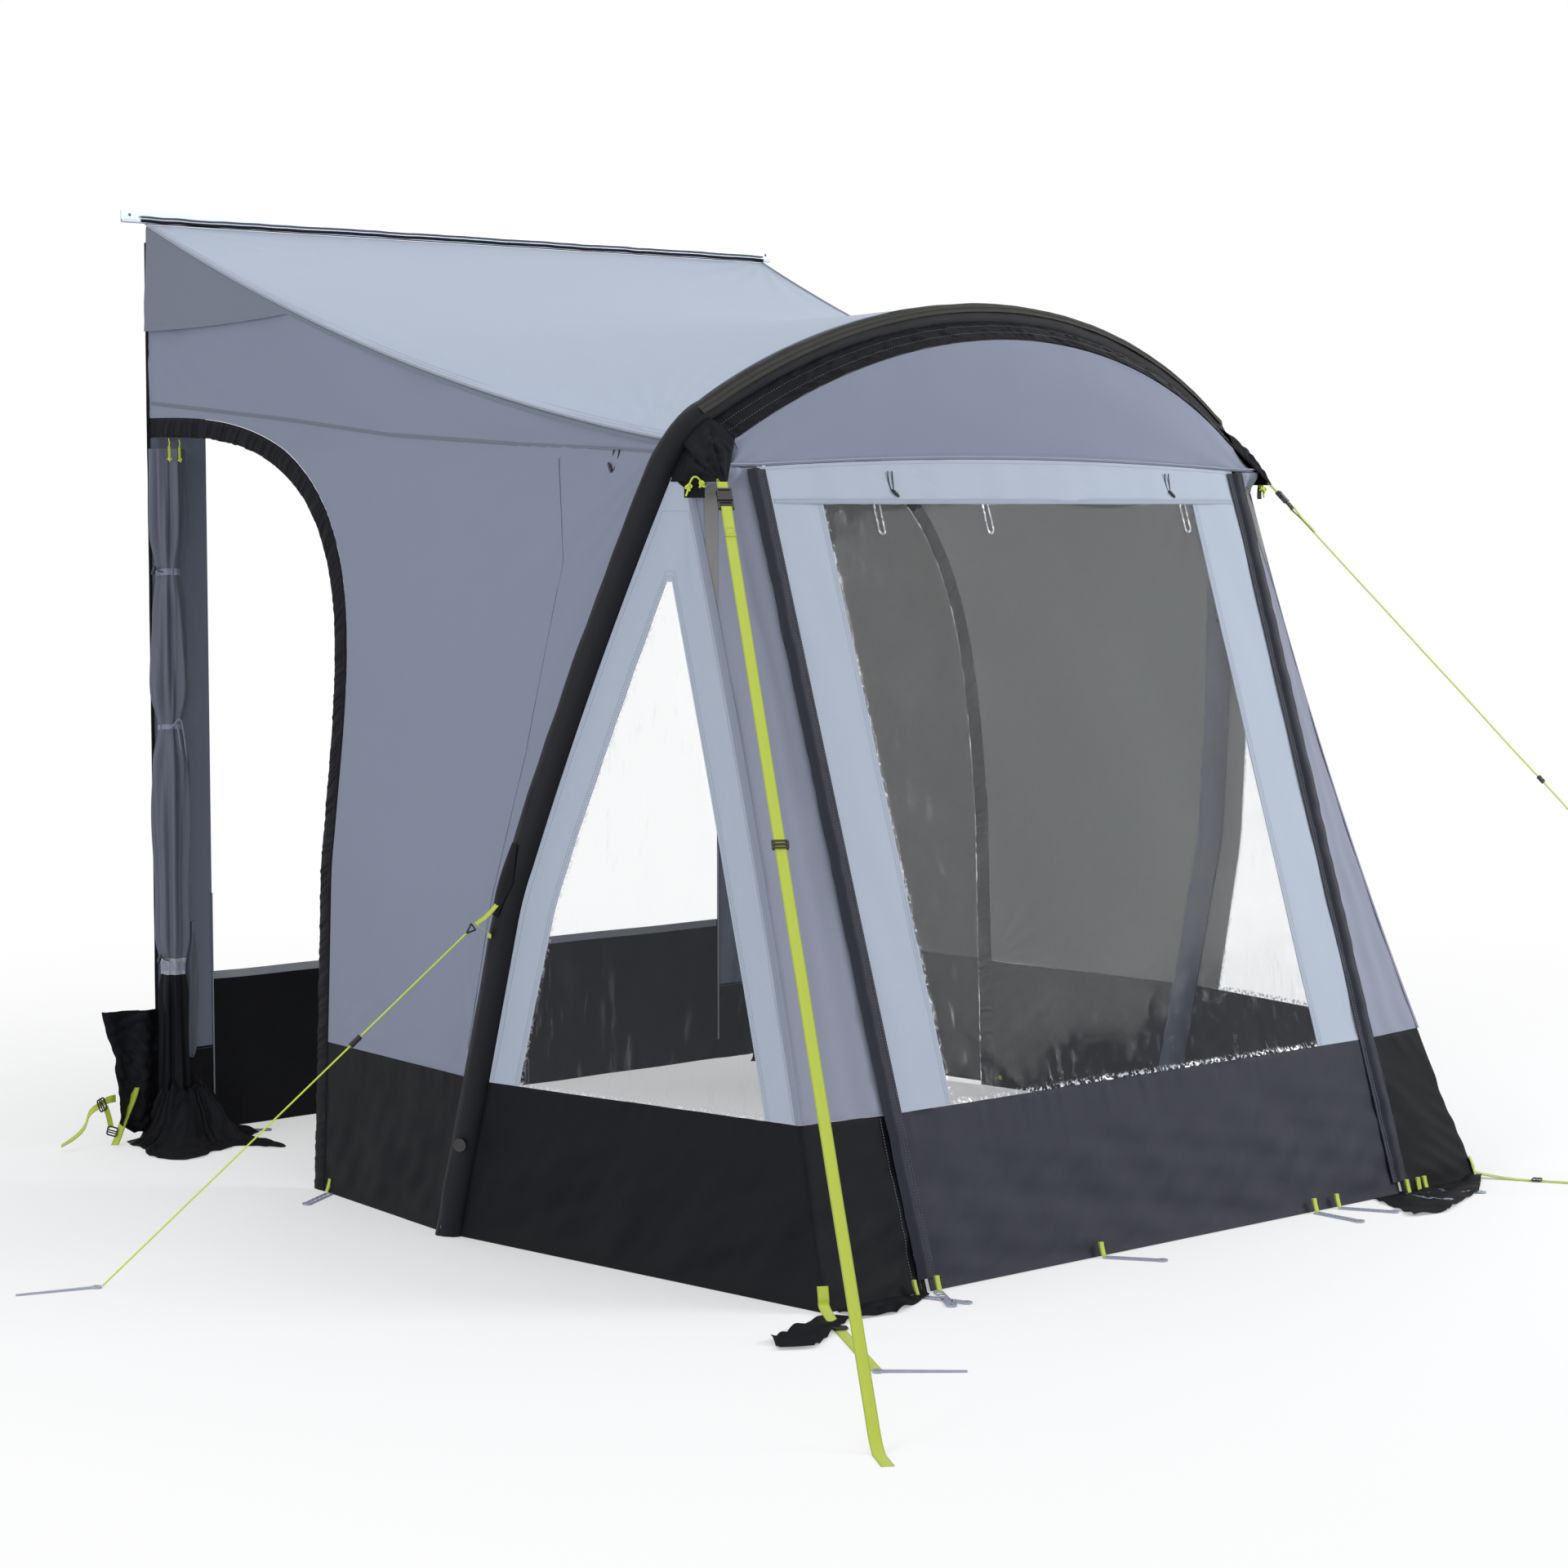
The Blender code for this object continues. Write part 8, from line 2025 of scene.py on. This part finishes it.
def make_pulls():
    """Two lime pulls of the door's zips: a short cord, a flat tab and a knot."""
    for k, (x, z) in enumerate(((-1.108, 1.912), (-1.076, 1.910))):
        top = np.array([x, -0.118, z])
        path = curve_through(np.array([top, top + (0.001, -0.002, -0.012), top + (-0.001, -0.003, -0.022)]), 12)
        tube("zip_pull_cord_%d" % k, path, 0.0014, 8, "cord", "awning")
        low = path[-1]
        rows = low + np.stack([0.0 * np.linspace(0, 1, 14), -0.001 * np.linspace(0, 1, 14),
                               -0.030 * np.linspace(0.0, 1.0, 14)], axis=1)
        webbing("zip_pull_%d" % k, rows, (1.0, 0.0, 0.0), (0, -1, 0), "awning", 0.0062, 0.0018, "cord")
        knot("zip_pull_knot_%d" % k, low + (0.001, -0.001, -0.034), 0.0046, 0.0018, 0.5 * k)


def make_shoulder_cords(side, sign):
    """Square tab over the top of the corner's folded edge, and a lime cord on it with two knots
    and a loop between them."""
    across, up = unit(np.array([0.86, -0.46, 0.0])), np.array([0.0, 0.0, 1.0])
    face = np.cross(across, up)
    middle = np.array([-0.9755, -2.1600, 1.7790])
    a, b = np.linspace(-0.024, 0.024, 14)[None, :, None], np.linspace(-0.030, 0.026, 16)[:, None, None]
    bend = 0.0040 - 4.0 * a ** 2 + 0.0012 * np.sin(90.0 * b)
    grid = middle + across * (a + 0.0 * b) + up * (b + 0.0 * a) + face * bend
    to_side = np.array([-sign, 1.0, 1.0])
    cloth("corner_tab_" + side, grid * to_side, face * to_side, "dark", "dark", "awning", 0.0014)
    rows = np.array([(-0.0215, -0.026), (-0.0165, -0.012), (-0.0145, -0.003), (-0.0100, 0.008), (-0.0045, 0.0160),
                     (0.0025, 0.0175), (0.0090, 0.0130), (0.0150, 0.0050), (0.0160, -0.004)])
    path = curve_through(rows, 60)
    path = middle + path[:, :1] * across + path[:, 1:] * up + face * 0.0075
    tube("shoulder_cord_" + side, path * to_side, 0.0021, 8, "cord", "awning")
    for k, (right, high, turned) in enumerate(((-0.0150, -0.006, 0.3), (0.0155, 0.000, 1.2))):
        centre = middle + across * right + up * high + face * 0.0085
        knot("shoulder_knot_%s_%d" % (side, k), centre * to_side, 0.0074, 0.0024, turned)


def make_front_seams():
    """Doubled seam across the front panel above its window, and its two rows of stitches."""
    x = np.linspace(-PANEL_HALF + 0.030, PANEL_HALF - 0.030, 240)
    path = on_front(x, np.full(240, WINDOW_TOP + 0.006), np.full(240, 0.0022))
    path = path + FRONT_NORMAL * (0.0004 * noise1(x, 395, 0.02))[:, None]
    grid = ribbon_grid(path, FRONT_UP, 0.012, 5)
    cloth("window_hem", grid, FRONT_NORMAL, "pale_shade", "pale_shade", "front", 0.0010)
    for k, up in enumerate((-0.0035, 0.0035)):
        stitches("window_hem_stitches_%d" % k, path + FRONT_UP * up + FRONT_NORMAL * 0.0002, FRONT_NORMAL, "thread",
                 "front")


def make_rail_lip():
    """Dark bead cover under the rail: a round cord that wavers along the rail's lower lip, with a thinner one above it.
    """
    x = np.linspace(-1.118, 1.106, 260)
    path = np.stack([x, np.full(260, -0.0105), 2.4975 + 0.0011 * noise1(x, 397, 0.05) + 0.0016 * noise1(x, 399, 0.31)],
                    axis=1)
    tube("rail_lip", path, 0.0044, 10, "dark", "awning")
    path = path + np.array([0.0, 0.0005, 0.0105])
    tube("rail_lip_upper", path, 0.0026, 8, "hem_dark", "awning")


def make_sash():
    """Spare end of the curtain's cloth: a limp strip that hangs beside the column from its tie,
    rounded at its foot, rolled along both edges."""
    t = np.linspace(0.0, 1.0, 70)[:, None]
    s = np.linspace(-1.0, 1.0, 16)[None, :]
    z = 0.600 - 0.380 * t
    wide = 0.0235 * (0.35 + 0.65 * smooth(t / 0.30)) * np.sqrt(np.clip(1.0 - ((t - 0.90) / 0.10).clip(0.0) ** 2, 0.05, 1.0))
    x = -1.046 + 0.018 * smooth(t / 0.5) - 0.010 * t + s * wide
    y = -0.094 + 0.026 * smooth(t / 0.4) - 0.013 * (1.0 - s ** 2) - 0.004 * np.cos(5.0 * s + 4.0 * t)
    made = cloth("curtain_sash", np.stack([x, y, z + 0.0 * s], axis=-1), (0, -1, 0), "curtain", "curtain", "awning",
                 0.0016, sheet="hung", sharp=70.0)
    return made


def make_rear_straps():
    """Pegging straps at the left rear corner: lime webbing from the foot of the wall to the
    ground, and a curling one beside it, each with its black adjuster."""
    steep = curve_through(np.array([(-1.200, -0.052, 0.150), (-1.216, -0.060, 0.121), (-1.243, -0.062, 0.070),
                                    (-1.262, -0.062, 0.026), (-1.276, -0.066, 0.0030)]), 50)
    webbing("rear_strap_a", steep, (0.30, -1.0, 0.1), (-1, 0, 0.6), floor=0.0)
    curl = curve_through(np.array([(-1.262, -0.050, 0.128), (-1.290, -0.055, 0.126), (-1.317, -0.060, 0.116),
                                   (-1.348, -0.060, 0.098), (-1.363, -0.058, 0.062), (-1.388, -0.050, 0.036),
                                   (-1.424, -0.040, 0.0145)]), 70)
    turn = np.linspace(0.0, 1.2, 70)[:, None]
    across = unit(np.array([0.1, 0.2, 1.0]) * np.cos(turn) + np.array([0.5, 0.9, -0.2]) * np.sin(turn))
    webbing("rear_strap_b", curl, across, (0, -1, 0.4), width=0.020)
    adjuster("rear_adjuster_a", (-1.311, -0.062, 0.117), (-1.0, -0.1, -0.35), (-0.3, 0.1, 1.0), (0, -1, 0))
    adjuster("rear_adjuster_b", (-1.281, -0.062, 0.041), (-0.35, -0.1, -1.0), (1.0, 0.1, -0.35), (0, -1, 0))
    drop = curve_through(np.array([(-1.300, -0.060, 0.112), (-1.292, -0.062, 0.086), (-1.284, -0.062, 0.052)]), 24)
    webbing("rear_strap_c", drop, (1.0, 0.1, 0.2), (0, -1, 0), width=0.016)


def make_pocket(side, sign):
    """Inner half of the sleeve's pocket, in grey cloth: arcs round the tube on the side that faces
    the room, from the ground to the shoulder, with slack pulls along it."""
    z = np.linspace(0.035, 1.785, 260)[:, None]
    turn = np.radians(np.linspace(-78.0, 78.0, 26))[None, :]
    centre = np.stack([leg_half(z) + 0.0 * turn, arch_y(z) + 0.0 * turn, z + 0.0 * turn], axis=-1)
    pull = 0.0012 * waves(z, turn * SLEEVE_RADIUS, 411, 0.12, 8, 0.4) * np.cos(turn) + 0.0012
    radius = SLEEVE_RADIUS + 0.0024 + pull
    out = np.stack([-np.cos(turn) + 0.0 * z, -np.sin(turn) + 0.0 * z, 0.0 * z + 0.0 * turn], axis=-1)
    to_side = np.array([sign, 1.0, 1.0])
    grid = (centre + out * radius[..., None]) * to_side
    cloth("inner_pocket_" + side, grid, out * to_side, "pocket", "pocket", "awning", 0.0012, sharp=70.0)


def ground_flap(name, inner, outer, seed, lift=0.005):
    """Loose end of the mud flap on the ground: straight lines from the wall's foot to its outer edge,
    which curls up a little and ripples."""
    inner, outer = resample(np.array(inner, float), 40), resample(np.array(outer, float), 40)
    t = np.linspace(0.0, 1.0, 22)[None, :]
    flat = lerp(inner[:, None], outer[:, None], t[..., None])
    u = np.linspace(0.0, 1.0, 40)[:, None]
    z = 0.0022 + lift * np.abs(waves(flat[..., 0], flat[..., 1], seed, 0.11, 8)) * smooth(t / 0.25)
    z = z + 0.5 * lift * t ** 3 * (0.5 + 0.5 * np.sin(9.0 * u + seed))
    grid = np.stack([flat[..., 0], flat[..., 1], z], axis=-1)
    cloth(name, grid, (0, 0, 1), "dark", "dark_inside", "awning", 0.0016, floor=0.0004, sheet="laid", sharp=70.0)


for SIDE, SIGN in (("left", -1.0), ("right", 1.0)):
    make_pocket(SIDE, SIGN)
    make_pillar(SIDE, SIGN)
    make_bunch(SIDE, SIGN)
    make_shoulder(SIDE, SIGN)
    make_patch(SIDE, SIGN)
    make_storm_strap(SIDE, SIGN)
    make_corner_strap(SIDE, SIGN)
    make_shoulder_cords(SIDE, SIGN)
    peg_loop("door_loop_" + SIDE, SIGN * 1.190, -0.985, (SIGN, 0.1), "awning")
    peg_loop("corner_loop_" + SIDE, SIGN * 0.8821, -2.786, (-SIGN * 0.2873, -0.9578), "awning", 0.0115)
make_leaf()
make_curtain()
make_sash()
make_skirt()
make_loose_flap()
make_guy_loop()
make_wall_loop()
make_pulls()
make_front_seams()
make_rail_lip()
make_rear_straps()
for NUMBER, X in enumerate((-0.41, 0.56)):
    hang_loop("header_loop_%d" % NUMBER, on_front(X, 1.812, 0.003), 0.014, 0.048, 0.010, 0.0014, "black_cord", "front", True)
for NUMBER, X in enumerate((-0.475, -0.115, 0.595)):
    film_loop("window_loop_%d" % NUMBER, X, WINDOW_TOP - 0.002)
for NUMBER, (X, TURN) in enumerate(((-0.812, -0.84), (-0.285, 0.30), (0.475, -0.30), (0.560, 0.20), (0.835, -0.40),
                                    (0.905, 0.30))):
    BODY = "front" if abs(X) < 0.8 else "awning"
    ladder_copy("peg_ladder_%d" % NUMBER, (X, -2.797, 0.0), TURN, BODY)
    peg_loop("front_loop_%d" % NUMBER, X, -2.786, (0.0, -1.0), BODY)
ladder_copy("peg_ladder_rear", (-0.935, -0.040, 0.0), 0.50)
peg_loop("rear_loop", -0.935, -0.012, (0.0, -1.0), "awning")
ground_flap("ground_flap_corner", [(-1.105, -2.775), (-0.98, -2.772), (-0.862, -2.768)],
            [(-1.125, -2.872), (-1.025, -2.888), (-0.93, -2.850), (-0.852, -2.812)], 5)
ground_flap("ground_flap_tail", [(-1.139, -2.792), (-1.112, -2.850)], [(-1.385, -2.890), (-1.425, -2.962), (-1.363, -3.000)], 8)
ground_flap("ground_flap_end", [(0.72, -2.772), (0.93, -2.770), (1.125, -2.768)], [(0.62, -2.985), (0.72, -3.005), (0.99, -2.900),
            (1.132, -2.800)], 11)


# Every solid that still shows gets a finish

SHOWN = {"corner_peg": "clear", "guy_peg": "clear", "ladder": "clear", "buckle": "plastic", "strap_slider": "plastic",
         "guy_r": "plastic", "front_zip": "plastic", "door_zip": "plastic", "valve": "plastic", "roof_bead": "dark",
         "air_tube": "tube"}
for name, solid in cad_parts.items():
    for start, finish in SHOWN.items():
        if name.startswith(start):
            solid.data.materials.clear()
            solid.data.materials.append(FINISH[finish])

scene = bpy.context.scene
scene.view_settings.view_transform = "Standard"
print("SHEETS", AREAS)
